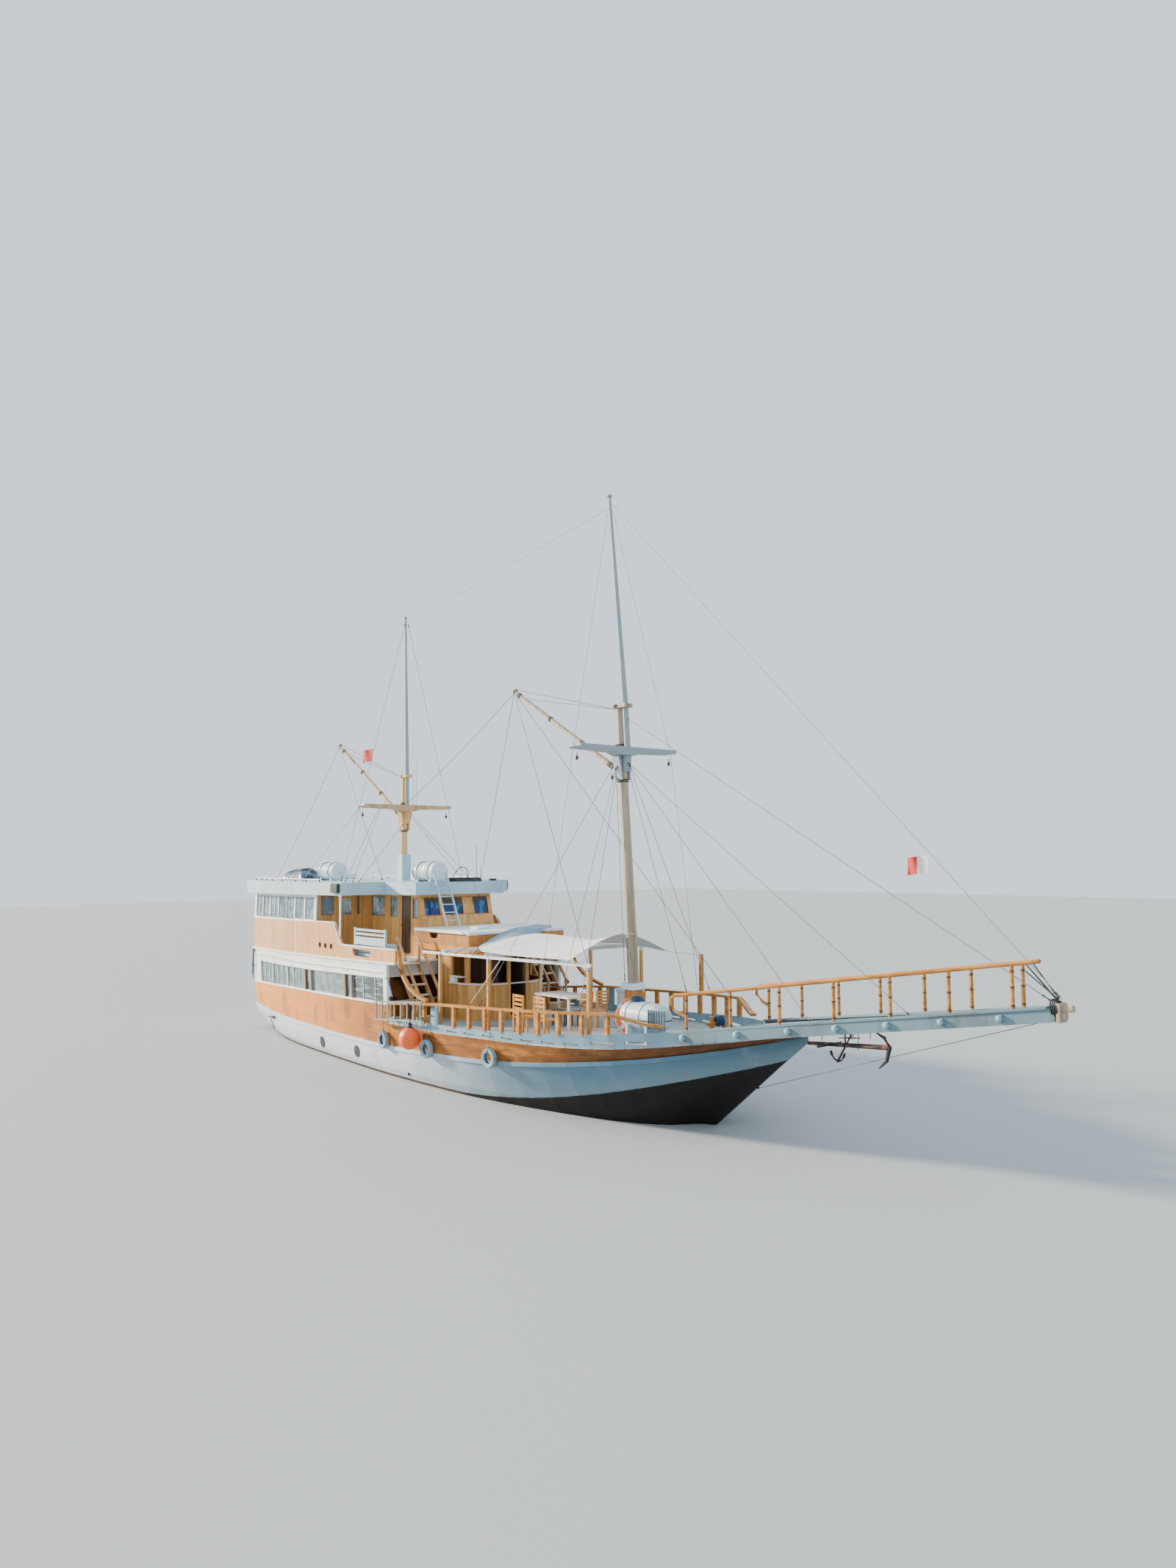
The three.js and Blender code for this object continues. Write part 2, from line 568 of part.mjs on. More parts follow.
// The pin's axis: depth under the outer face, distance from the edge.
const HINGE = { pin: 7, below: 8, inFromEdge: 10 };
function saloonDoor() {
  const { front, door, doorIn, sill, head } = SALOON_AFT;
  const face = front - 5;
  const leaf = box(
    face - 50, face, -door + DOOR_GAP, -doorIn - DOOR_GAP, sill + DOOR_GAP, head - DOOR_GAP);
  const pane = box(front - 200, front + 200, -door + 110, -doorIn - 110, 4360, 4860);
  const pinY = -door + DOOR_GAP + HINGE.inFromEdge;
  const pin = disc(HINGE.pin, head - sill - 2 * SEAT, face - HINGE.below, pinY, (sill + head) / 2, 12);
  return join(cut(leaf, pane), pin);
}
add("saloon_door", saloonDoor(), finish.varnish);

// Side doors of the wheelhouse, hung on their forward edges.
for (const [name, side] of [["starboard", -1], ["port", 1]]) {
  const outer = side * (WHEELHOUSE.half - 2);
  const inner = side * (WHEELHOUSE.half - 2 - DOOR.thick);
  const leaf = box(
    DOOR.aft + DOOR_GAP, DOOR.fore - DOOR_GAP, Math.min(outer, inner), Math.max(outer, inner),
    DOOR.foot + DOOR_GAP, DOOR.head - DOOR_GAP);
  const pinX = DOOR.fore - DOOR_GAP - HINGE.inFromEdge;
  const pinY = side * (WHEELHOUSE.half - 2 - HINGE.below);
  const pinLength = DOOR.head - DOOR.foot - 2 * SEAT;
  const pin = disc(HINGE.pin, pinLength, pinX, pinY, (DOOR.foot + DOOR.head) / 2, 12);
  add("wheelhouse_door_" + name, join(leaf, pin), finish.varnish);
}

// Roof: wide over the side decks, narrow over the wheelhouse.

const ROOF = { aft: STERN - 60, stepX: -1650, front: 290, half: 3080, frontHalf: 1600, top: 5430 };
function roof() {
  const outline = [
    [ROOF.aft, -2420], [-8600, -2760], [-6400, -2990], [-4600, -ROOF.half], [ROOF.stepX, -ROOF.half],
    [ROOF.stepX, -ROOF.frontHalf], [ROOF.front, -ROOF.frontHalf],
  ];
  const mirrored = outline.map(([x, y]) => [x, -y]).reverse();
  const slab = plate([...outline, ...mirrored], "z", 4800, 6000);
  const depth = plate([
    [ROOF.aft - 100, roofUnder(ROOF.aft - 100)], [2000, roofUnder(2000)],
    [2000, ROOF.top], [ROOF.aft - 100, ROOF.top],
  ], "y", -WIDE, WIDE);
  return common(slab, depth);
}
add("roof", roof(), finish.whitePaint);
const onRoof = (piece) => cut(piece, box(-12000, 2000, -WIDE, WIDE, 5000, ROOF.top + SEAT));

// Fore saloon: planked walls with a rounded front, under a raised box roof.

const SALOON = { aft: BREAK + 1, straight: 2000, front: 3350, half: 1420, wall: 60, top: 3490 };
function roundedPlan(inset) {
  const half = SALOON.half - inset;
  const reach = SALOON.front - inset - SALOON.straight;
  const arc = Array.from({ length: 17 }, (_, k) => {
    const angle = -Math.PI / 2 + (k / 16) * Math.PI;
    const [c, s] = [Math.cos(angle), Math.sin(angle)];
    return [SALOON.straight + reach * Math.abs(c) ** 0.8, half * Math.sign(s) * Math.abs(s) ** 0.8];
  });
  return [[SALOON.aft + inset, -half], ...arc, [SALOON.aft + inset, half]];
}
function saloonWalls() {
  const outer = plate(roundedPlan(0), "z", 1400, SALOON.top - SEAT);
  const shell = cut(outer, plate(roundedPlan(SALOON.wall), "z", 1300, 3600));
  // Openings. Columns: x0, x1, y0, y1, z0, z1.
  const openings = [
    [2050, 2600, -2000, -1000, 2620, 3330], [2720, 3120, -2000, -700, 2620, 3330],
    [2900, 3700, -820, -360, 2620, 3330], [2900, 3700, 380, 900, 2620, 3330],
    [2050, 2900, 1000, 2000, 2620, 3330], [2900, 3700, -260, 280, 1700, 3330],
  ];
  return onDeck(cut(shell, ...openings.map((row) => box(...row))));
}
add("saloon_walls", saloonWalls(), finish.varnish);

const BOX_ROOF = { aft: 300, front: 3320, half: 1650, top: 4090, under: 3490, wall: 50 };
function saloonRoof() {
  const { aft, front, half, top, under, wall } = BOX_ROOF;
  const seatZ = upperDeckTop(BREAK) + 12;
  const side = [[aft, seatZ], [BREAK, seatZ], [BREAK, under], [front, under], [front, top], [aft, top]];
  const stairNotch = [-1, 1].map((s) => {
    const [a, b] = [s * 1500, s * 2000].sort((p, q) => p - q);
    return box(aft - 100, BREAK + 10, a, b, 3000, under + 1);
  });
  const shelfHole = new THREE.Shape();
  shelfHole.moveTo(1180, 3980);
  shelfHole.lineTo(1650, 3980);
  shelfHole.lineTo(1600, 3860);
  shelfHole.quadraticCurveTo(1415, 3800, 1230, 3860);
  const feet = onUpperDeck(box(aft, BREAK - 20, -1200, 1200, 3100, seatZ + 1));
  const locker = box(1120, 1710, 900, half - wall, 3700, 4020);
  const hole = plate(shelfHole, "y", 1000, 2000);
  const lockers = [solidOf(locker), solidOf(locker).mirror([0, 1, 0])];
  const holes = [solidOf(hole), solidOf(hole).mirror([0, 1, 0])];
  const body = cut(plate(side, "y", -half, half), ...lockers, ...stairNotch, ...holes);
  const lip = box(aft + 560, front + 30, -half - 40, half + 40, top - 45, top - 5);
  const lipHollow = box(aft + 100, front - 30, -half + 20, half - 20, top - 60, top + 10);
  return join(body, cut(lip, lipHollow), feet);
}
add("saloon_roof", saloonRoof(), finish.varnish);

// Boards and rails round the foredeck.

const TOE_THICK = 55;
const CAP = { width: 135, height: 62 };
const RAIL_POSTS = { from: 4720, to: 9880, count: 9, wide: 110, deep: 84 };
const GATE_POSTS = [1450, 2100, 2750, 3300]; // posts beside the boarding ladder
const WING = { aft: 3640, fore: 3980 }; // the solid white panel forward of the ladder
const POLE = { x: 8050, half: 45, top: 3530 }; // the awning's pole, on the port rail only
const toeStations = [
  BREAK + 50, 2600, 3900, 5000, 6000, 7000, 7900, 8700, 9300, 9900, 10500, 11000, 11400,
];
const scuppers = [1700, 2500, 4400, 5150, 5900, 6650, 7350, 8050, 8750]; // after ends of the short slots
const bowSlots = [9450, 10250]; // after ends of the long slots
for (const [name, side] of [["starboard", -1], ["port", 1]]) {
  const band = (from, to) => [Math.min(side * from, side * to), Math.max(side * from, side * to)];
  const toeFoot = (x) => ({ x, half: on(deckLine, x).half - 4, z: on(deckLine, x).z - 60 });
  const board = onDeck(wallStrip(toeStations, toeFoot, level(toeLine), TOE_THICK, side));
  const slot = (x, long, z0, z1) =>
    box(x, x + long, ...band(500, 4000), on(deckLine, x).z + z0, on(deckLine, x).z + z1);
  const capPath = [1330, 2700, 3600, 4600, 5600, 6600, 7500, 8300, 9100, 9900].map((x) =>
    vec(x, side * (on(capLine, x).half - 30), on(capLine, x).z - CAP.height / 2));
  const wing = cut(box(WING.aft, WING.fore, ...band(3020, 3068), 1700, 2280),
    bar(capPath, CAP.width + 2 * SEAT, CAP.height + 2 * SEAT));
  add("toe_rail_" + name, cut(
    join(board, wing),
    ...scuppers.map((x) => slot(x, 420, 35, 75)),
    ...bowSlots.map((x) => slot(x, 560, 60, 140))), finish.bluePaint);

  const swoop = [[10250, 1960, 2480], [10650, 1700, 2370], [11000, 1470, 2330]]
    .map(([x, half, z]) => vec(x, side * half, z));
  const bow = [...capPath, ...swoop];
  // The curved rail that comes down from the upper deck: x, z.
  const sweepDown = [
    [1893, 3570], [1905, 3390], [1980, 3140], [2160, 2860], [2500, 2600], [2950, 2430], [3420, 2310],
  ].map(([x, z]) => vec(x, side * 3045, z));
  const toeTop = (x) => ({ x, half: on(toeLine, x).half + 1, z: on(toeLine, x).z + SEAT });
  const toeUnder = (x) => ({ ...toeFoot(x), half: toeFoot(x).half + 1 });
  const toeClear = wallStrip(toeStations, toeUnder, toeTop, TOE_THICK + 2, side);
  const post = (x) => {
    const y = side * (on(toeLine, x).half - TOE_THICK / 2);
    const [w, d] = [RAIL_POSTS.wide / 2, RAIL_POSTS.deep / 2];
    return box(x - w, x + w, y - d, y + d, on(toeLine, x).z - 30, on(capLine, x).z - CAP.height / 2);
  };
  const postXs = Array.from({ length: RAIL_POSTS.count }, (_, k) =>
    THREE.MathUtils.lerp(RAIL_POSTS.from, RAIL_POSTS.to, k / (RAIL_POSTS.count - 1)));
  const posts = [...postXs, ...GATE_POSTS].map((x) => cut(post(x), toeClear));
  if (side > 0) {
    const y = on(capLine, POLE.x).half - 30;
    posts.push(box(
      POLE.x - POLE.half, POLE.x + POLE.half, y - POLE.half, y + POLE.half,
      on(capLine, POLE.x).z - CAP.height, POLE.top));
  }
  const body = join(bar(bow, CAP.width, CAP.height), bar(sweepDown, 110, 80), ...posts);
  add("bulwark_rail_" + name, onDeck(cut(body, toeClear)), finish.varnish);
}

// Boarding ladder, stowed flat outside the starboard rail.
const LADDER = {
  aft: 940, fore: 3600, y: -3290, topAft: 2100, topFore: 2330, footAft: 1610, footFore: 1840,
};
function boardingLadder() {
  const { aft, fore, y, topAft, topFore, footAft, footFore } = LADDER;
  const rail = (z0, z1) => bar([vec(aft, y, z0), vec(fore, y, z1)], 50, 50);
  const rungs = Array.from({ length: 8 }, (_, k) => {
    const t = (k + 0.3) / 7.6;
    const x = THREE.MathUtils.lerp(aft, fore, t);
    const z = (a, b) => THREE.MathUtils.lerp(a, b, t);
    return box(x - 22, x + 22, y - 16, y + 16, z(footAft, footFore), z(topAft, topFore));
  });
  const bracket = (x) => {
    const z = THREE.MathUtils.lerp(footAft, footFore, (x - aft) / (fore - aft));
    const postFace = on(toeLine, x).half - TOE_THICK / 2 + RAIL_POSTS.deep / 2;
    return box(x - 25, x + 25, y, -postFace - SEAT, z + 10, z + 90);
  };
  const brackets = [2100, 3300].map(bracket);
  return join(rail(topAft, topFore), rail(footAft, footFore), ...rungs, ...brackets);
}
add("boarding_ladder", boardingLadder(), finish.whitePaint);

// Bow platform: two side beams that meet at the tip, cross beams, a plank walk and rails.

const PLATFORM = { aftX: 11450, aftHalf: 1400, aftZ: 2250, tipX: 19400, tipHalf: 90, tipZ: 3455 };
const along = (t) => ({
  x: THREE.MathUtils.lerp(PLATFORM.aftX, PLATFORM.tipX, t),
  half: THREE.MathUtils.lerp(PLATFORM.aftHalf, PLATFORM.tipHalf, t),
  z: THREE.MathUtils.lerp(PLATFORM.aftZ, PLATFORM.tipZ, t),
});
const BEAM = { width: 70, height: 240 };
const crossBeams = [0.015, 0.19, 0.345, 0.48, 0.615, 0.75, 0.885];
const crossing = (x, half, z, gap = 0) =>
  box(x - 60 - gap, x + 60 + gap, -half - 90, half + 90, z - 175 - gap, z - 55 + gap);
function sideBoard(side, gap = 0) {
  const [a, b] = [along(0.01), along(0.985)];
  const path = [vec(a.x, side * (a.half - 60), a.z + 16), vec(b.x, side * (b.half - 20), b.z + 16)];
  return bar(path, 190 + 2 * gap, 40 + 2 * gap);
}
function bowPlatform() {
  const beams = [-1, 1].map((side) => {
    const ends = [along(0), along(1)].map((p) => vec(p.x, side * p.half, p.z - BEAM.height / 2));
    return bar(ends, BEAM.width, BEAM.height);
  });
  const crossings = crossBeams.map((t) => crossing(along(t).x, along(t).half, along(t).z));
  const boards = [-1, 1].map((side) => sideBoard(side));
  const walk = [-210, 0, 210].map((y, k) => {
    const [a, b] = [along(0.05), along(k === 1 ? 0.97 : 0.75)];
    return bar([vec(a.x, y, a.z - 30), vec(b.x, y, b.z - 30)], 150, 50);
  });
  return cut(join(...beams, ...crossings, ...boards, ...walk), bowspritClearance());
}

const SPRIT = { x0: 12700, z0: 2370, x1: 19560, z1: 3330, radius: 85 };
const spritPath = [vec(SPRIT.x0, 0, SPRIT.z0), vec(SPRIT.x1, 0, SPRIT.z1)];
function bowspritClearance() {
  const path = [vec(SPRIT.x0 - 700, 0, SPRIT.z0 - 98), vec(SPRIT.x1 + 100, 0, SPRIT.z1 + 14)];
  return rod(path, SPRIT.radius + SEAT, 12);
}
add("bow_platform", bowPlatform(), finish.whitePaint);
add("bowsprit", join(
  rod(spritPath, SPRIT.radius, 12),
  new THREE.BoxGeometry(70, 250, 330).translate(19480, 0, 3375),
  rod([vec(19480, 0, 3430), vec(19700, 0, 3465)], 62, 12)), finish.weathered);

const railPosts = [0.02, 0.165, 0.315, 0.47, 0.62, 0.765, 0.91];
const RAIL_HEIGHT = 820;
for (const [name, side] of [["starboard", -1], ["port", 1]]) {
  const postAt = (t) => {
    const p = along(t);
    const y = side * (p.half - 25);
    return spar([vec(p.x, y, p.z + 20), vec(p.x, y, p.z + RAIL_HEIGHT - 10)], [38, 34], 8);
  };
  const [a, b] = [along(-0.02), along(0.955)];
  const rail = (p, dx, dz) => vec(p.x + dx, side * (p.half - 25), p.z + RAIL_HEIGHT + dz);
  const top = rod([rail(a, 0, 0), rail(b, 0, 0)], 40, 10);
  const bend = rod([
    rail(a, 20, 0), rail(a, -110, -60), rail(a, -120, -200), rail(a, 60, -350),
    rail({ ...along(0.02), z: a.z }, 0, -430),
  ], 36, 8);
  const body = join(top, bend, ...railPosts.map(postAt));
  add("bow_rail_" + name, cut(body, sideBoard(side, SEAT)), finish.varnish);
}

// Masts. Each lower mast carries a crosstree and a cap; the topmast stands in front of its head.

const MAIN = { footX: 8335, footZ: 2990, headX: 7862, headZ: 10050, topX: 7545, topZ: 15630 };
const AFT = { x: -3250, footZ: 6300, headZ: 8950, topZ: 14300 };
const mainX = (z) => MAIN.footX + ((z - MAIN.footZ) / (MAIN.topZ - MAIN.footZ)) * (MAIN.topX - MAIN.footX);

const MAST_BOX = { x: 8330, half: 165, top: 2990 };
add("main_mast_box", join(
  onDeck(box(MAST_BOX.x - MAST_BOX.half, MAST_BOX.x + MAST_BOX.half, -MAST_BOX.half, MAST_BOX.half,
    1600, MAST_BOX.top - 160)),
  box(MAST_BOX.x - 215, MAST_BOX.x + 215, -215, 215, MAST_BOX.top - 160, MAST_BOX.top)), finish.varnish);

// A goose-neck bracket on the after side of a mast: two lugs with an upright pin.
const GOOSE = { reach: 150, lug: 20, gap: 46, pin: 18, width: 90 };
function gooseNeck(mastX, pinX, z) {
  const lug = (dz) => box(pinX - 45, mastX, -GOOSE.width / 2, GOOSE.width / 2, z + dz, z + dz + GOOSE.lug);
  return [lug(GOOSE.gap), lug(-GOOSE.gap - GOOSE.lug), disc(GOOSE.pin, 2 * GOOSE.gap + 10, pinX, 0, z, 12)];
}
function gaff(pinX, pinZ, tipX, tipZ, thick, thin) {
  const rise = 3;
  const bore = disc(GOOSE.pin + 4, 400, pinX, 0, pinZ, 16);
  const eye = cut(disc(48, 2 * (GOOSE.gap - SEAT) - 2 * rise, pinX, 0, pinZ - rise, 16), bore);
  const line = [vec(pinX - 34, 0, pinZ + 6), vec(pinX - 260, 0, pinZ + 150), vec(tipX, 0, tipZ)];
  const lugClear = [-1, 1].map((s) => disc(90, 60, pinX, 0, pinZ + s * (GOOSE.gap - 6 + 30), 16));
  return join(eye, cut(spar(line, [30, thick, thin], 10), bore, ...lugClear));
}

const GAFF_MAIN = { pinZ: 8400, tipX: 3140, tipZ: 11010 };
const GAFF_AFT = { pinZ: 7600, tipX: -8130, tipZ: 10390 };
const mainPinX = mainX(GAFF_MAIN.pinZ) - 115 - GOOSE.reach;
const aftPinX = AFT.x - 100 - GOOSE.reach + 20;

const TREE = { main: 8890, aft: 7900, above: 45, fore: 320, half: 150 };
const mainLower = [vec(mainX(MAST_BOX.top), 0, MAST_BOX.top - 50), vec(mainX(MAIN.headZ), 0, MAIN.headZ)];
const MAIN_RADII = [142, 105];
const topOffset = 205; // the topmast stands this far in front of the lower mast's axis
const mainCap = box(mainX(10000) - 150, mainX(10000) + topOffset + 130, -135, 135, 9960, 10060);
const mainTopPath = [
  vec(mainX(TREE.main) + topOffset + 12, 0, TREE.main),
  vec(mainX(10100) + topOffset, 0, 10100), vec(MAIN.topX, 0, MAIN.topZ),
];
const MAIN_TOP_RADII = [80, 78, 38];
const TOPMAST_GAP = 0.5;
const grow = (radii) => radii.map((r) => r + TOPMAST_GAP);
const aboveTree = (piece, z) => cut(piece, box(-6000, 9500, -400, 400, z - 900, z + TREE.above + SEAT));
add("main_mast", join(
  cut(spar(mainLower, MAIN_RADII, 12), box(7000, 9000, -300, 300, 2800, MAST_BOX.top + SEAT)),
  cut(mainCap, spar(mainTopPath, grow(MAIN_TOP_RADII), 12)),
  ...gooseNeck(mainX(GAFF_MAIN.pinZ), mainPinX, GAFF_MAIN.pinZ)), finish.weathered);
add("main_topmast", join(
  aboveTree(spar(mainTopPath, MAIN_TOP_RADII, 12), TREE.main),
  disc(75, 50, MAIN.topX, 0, MAIN.topZ + 20, 12)), finish.greyPaint);

function crosstree(x, z, reach, mast) {
  const outline = [
    [-reach, -20], [-reach + 60, -60], [-420, -95], [-200, -170], [200, -170], [420, -95],
    [reach - 60, -60], [reach, -20], [reach - 40, TREE.above], [-reach + 40, TREE.above],
  ].map(([y, dz]) => [y, z + dz]);
  return cut(plate(outline, "x", x - TREE.half, x + TREE.fore), mast);
}
add("main_crosstree", crosstree(
  mainX(TREE.main), TREE.main, 1630, spar(mainLower, grow(MAIN_RADII), 12)), finish.weathered);
add("main_gaff", gaff(
  mainPinX, GAFF_MAIN.pinZ, GAFF_MAIN.tipX, GAFF_MAIN.tipZ, 68, 45), finish.weathered);

add("aft_mast_box", onRoof(box(AFT.x - 165, AFT.x + 165, -165, 165, 5200, AFT.footZ)), finish.whitePaint);
const aftLower = [vec(AFT.x, 0, AFT.footZ + SEAT), vec(AFT.x, 0, AFT.headZ)];
const AFT_RADII = [118, 92];
const AFT_TOP_RADII = [70, 68, 32];
const aftTopPath = [
  vec(AFT.x + 185, 0, TREE.aft), vec(AFT.x + 180, 0, 8950), vec(AFT.x + 20, 0, AFT.topZ)];
const aftCap = box(AFT.x - 130, AFT.x + 300, -120, 120, 8870, 8960);
add("aft_mast", join(
  spar(aftLower, AFT_RADII, 12),
  cut(aftCap, spar(aftTopPath, grow(AFT_TOP_RADII), 12)),
  ...gooseNeck(AFT.x, aftPinX, GAFF_AFT.pinZ)), finish.varnish);
add("aft_topmast", join(
  aboveTree(spar(aftTopPath, AFT_TOP_RADII, 12), TREE.aft),
  disc(62, 44, AFT.x + 20, 0, AFT.topZ + 18, 12)), finish.greyPaint);
add("aft_crosstree", crosstree(
  AFT.x, TREE.aft, 1660, spar(aftLower, grow(AFT_RADII), 12)), finish.varnish);
add("aft_gaff", gaff(
  aftPinX, GAFF_AFT.pinZ, GAFF_AFT.tipX, GAFF_AFT.tipZ, 60, 40), finish.weathered);

// Main stays, 14 mm wire.

const WIRE = 7;
const mastHeadZ = 15400;
const headX = (z) => THREE.MathUtils.mapLinear(z, 10100, MAIN.topZ, mainX(10100) + topOffset, MAIN.topX);
const headR = (z) => THREE.MathUtils.mapLinear(z, 10100, MAIN.topZ, 78, 38) * Math.cos(Math.PI / 12);
const wire = (points) => rod(points.map((p) => vec(...p)), WIRE, 8);
add("forestay", wire([
  [headX(mastHeadZ) + headR(mastHeadZ) + 0.9, 0, mastHeadZ], [headX(mastHeadZ) + 90, 0, mastHeadZ],
  [19490, 0, 3620], [19490, 0, 3540 + SEAT],
]), finish.steel);
const aftStayZ = 14066;
const aftHeadX = THREE.MathUtils.mapLinear(aftStayZ, 8950, AFT.topZ, AFT.x + 180, AFT.x + 20) +
  THREE.MathUtils.mapLinear(aftStayZ, 8950, AFT.topZ, 68, 32) * Math.cos(Math.PI / 12);
add("triatic_stay", wire([
  [headX(15330) - headR(15330) - 0.9, 0, 15330], [headX(15330) - 90, 0, 15330],
  [aftHeadX + 90, 0, aftStayZ], [aftHeadX + 0.9, 0, aftStayZ],
]), finish.steel);
for (const [name, side] of [["starboard", -1], ["port", 1]]) {
  const z = 15260;
  const rail = on(capLine, 7900);
  add("main_shroud_" + name, wire([
    [headX(z), side * (headR(z) + 0.6), z], [headX(z), side * (headR(z) + 40), z],
    [mainX(8890) + 60, side * (1630 + WIRE + 0.8), 8890],
    [7900, side * (rail.half - 40), rail.z + 60], [7900, side * (rail.half - 40), rail.z + 0.6],
  ]), finish.steel);
}

// Awning: timber posts, white beams and a stretched cloth.

const AWNING = { top: 3600, postHalf: 38 };
function awningFrame() {
  // Columns: x, y of each post.
  const posts = [[3400, -2620], [5700, -2600], [9250, -2190], [3400, 2620], [5700, 2600]];
  const { postHalf, top } = AWNING;
  const uprights = posts.map(([x, y]) =>
    onDeck(box(x - postHalf, x + postHalf, y - postHalf, y + postHalf, 1500, top)));
  const beams = [
    bar([vec(2450, -2600, 3560), vec(5700, -2600, 3600), vec(9330, -2190, 3620)], 60, 70),
    bar([vec(2450, 2600, 3560), vec(5800, 2600, 3600)], 60, 70),
    ...[3520, 5600].map((x) => bar([vec(x, -2630, 3645), vec(x, 2630, 3645)], 60, 90)),
  ];
  return join(...uprights, ...beams);
}
add("awning_frame", awningFrame(), finish.varnish);

// The cloth hangs between its starboard edge, a ridge tied to the mast, and its port edge.
const CLOTH = 20;
const CLOTH_STEPS = 5; // from each edge to the ridge
function awningCloth() {
  // Rows from the saloon roof to the mast, each with three points: x, y, z.
  const rows = [
    [[4600, -2150, 3760], [3980, -500, 3985], [3360, 1100, 4200]],
    [[5150, -2420, 3715], [4450, -150, 4060], [4350, 1850, 3800]],
    [[5600, -2480, 3690.5], [5600, -50, 3950], [5600, 2100, 3693]],
    [[7200, -2450, 3710], [6800, 0, 3950], [6600, 2050, 3640]],
    [[8810, -2400, 3730], [7950, 0, 4190], [7500, 2000, 3580]],
  ];
  const rings = rows.map((row) => {
    const [starboard, ridge, port] = row.map((p) => vec(...p));
    const line = [];
    for (let k = 0; k < CLOTH_STEPS; k++) line.push(starboard.clone().lerp(ridge, k / CLOTH_STEPS));
    for (let k = 0; k <= CLOTH_STEPS; k++) line.push(ridge.clone().lerp(port, k / CLOTH_STEPS));
    const upper = line.map((p) => p.clone().setZ(p.z + CLOTH));
    return [...line, ...upper.reverse()];
  });
  return loft(rings);
}
add("awning_cloth", awningCloth(), finish.canvas);

// Stairs from the foredeck to the upper deck, with handrails.

for (const [name, side] of [["starboard", -1], ["port", 1]]) {
  const STAIR = { top: [1010, 3240], foot: [2220, 1572], steps: 6 };
  const y = (value) => side * value;
  const stringer = (v) => bar([
    vec(STAIR.top[0], y(v), STAIR.top[1] - 60), vec(STAIR.foot[0], y(v), STAIR.foot[1] + 90),
  ], 40, 150);
  const treads = Array.from({ length: STAIR.steps }, (_, k) => {
    const t = (k + 0.5) / STAIR.steps;
    const x = THREE.MathUtils.lerp(STAIR.top[0], STAIR.foot[0], t);
    const z = THREE.MathUtils.lerp(STAIR.top[1], STAIR.foot[1], t);
    return box(x - 110, x + 110, Math.min(y(1970), y(2570)), Math.max(y(1970), y(2570)), z - 18, z + 18);
  });
  const rails = [1930, 2610].flatMap((v) => [
    bar([vec(960, y(v), 3900), vec(2230, y(v), 2380)], 55, 70),
    bar([vec(2180, y(v), 1700), vec(2190, y(v), 2450)], 60, 60),
    bar([vec(1075, y(v), 3100), vec(1065, y(v), 3800)], 60, 60),
  ]);
  const feet = box(2150, 2280, Math.min(y(1900), y(2640)), Math.max(y(1900), y(2640)), 1500, 1720);
  const clearDeck = box(0, UPPER.stairX + SEAT, -WIDE, WIDE, 2900, upperDeckTop(1000) + SEAT);
  const body = cut(join(stringer(1960), stringer(2580), ...treads, ...rails, feet), clearDeck);
  add("stair_" + name, onDeck(body), finish.whitePaint);
}

// Ladder from the saloon roof up to the wheelhouse roof.
function roofLadder() {
  const foot = vec(1150, 0, BOX_ROOF.top - 20);
  const head = vec(330, 0, 5700);
  const sides = [-1000, -560].map((y) => bar([foot.clone().setY(y), head.clone().setY(y)], 40, 60));
  const rungs = Array.from({ length: 6 }, (_, k) => {
    const p = foot.clone().lerp(head, (k + 1) / 7);
    return rod([vec(p.x, -1010, p.z), vec(p.x, -550, p.z)], 18, 8);
  });
  const overFoot = box(0, 2500, -1500, 0, 3900, BOX_ROOF.top + SEAT);
  const overHead = box(-500, ROOF.front + SEAT, -1500, 0, 4900, 5600);
  return cut(join(...sides, ...rungs), overFoot, overHead);
}
add("roof_ladder", roofLadder(), finish.bluePaint);

// Bench on the starboard side deck, its back to the rail.
const BENCH = { aft: -1150, fore: 780, out: -2880, in: -2420, seat: 400, back: 900, end: 60 };
function bench() {
  const { aft, fore, out, in: inner, seat, back, end } = BENCH;
  const floor = upperDeckTop(0);
  const ends = [aft, fore - end].flatMap((x) => [
    box(x, x + end, out, inner, floor - end, floor + seat + 10),
    box(x, x + end, out, out + end, floor + seat, floor + back),
  ]);
  const slat = (dz) => box(aft, fore, out + 5, out + 30, floor + dz - 35, floor + dz + 35);
  const board = box(aft, fore, out, inner, floor + seat, floor + seat + 40);
  const skirt = box(aft, fore, out, out + 40, floor + seat, floor + seat + 160);
  return onUpperDeck(join(board, skirt, ...ends, ...[110, 230, 600, 720, 840].map(slat)));
}
add("bench_starboard", bench(), finish.whitePaint);

// Table on the foredeck.
const TABLE = { x: 5650, y: -150, halfLong: 750, halfWide: 425, top: 2480, legIn: 80 };
function table() {
  const { x, y, halfLong, halfWide, top, legIn } = TABLE;
  const board = box(x - halfLong, x + halfLong, y - halfWide, y + halfWide, top - 40, top);
  const leg = (u, v) => box(u - 30, u + 30, v - 30, v + 30, 1500, top - 20);
  const legs = [-1, 1].flatMap((a) => [-1, 1].map((b) =>
    leg(x + a * (halfLong - legIn), y + b * (halfWide - legIn))));
  return onDeck(join(board, ...legs));
}
add("table", table(), finish.whitePaint);

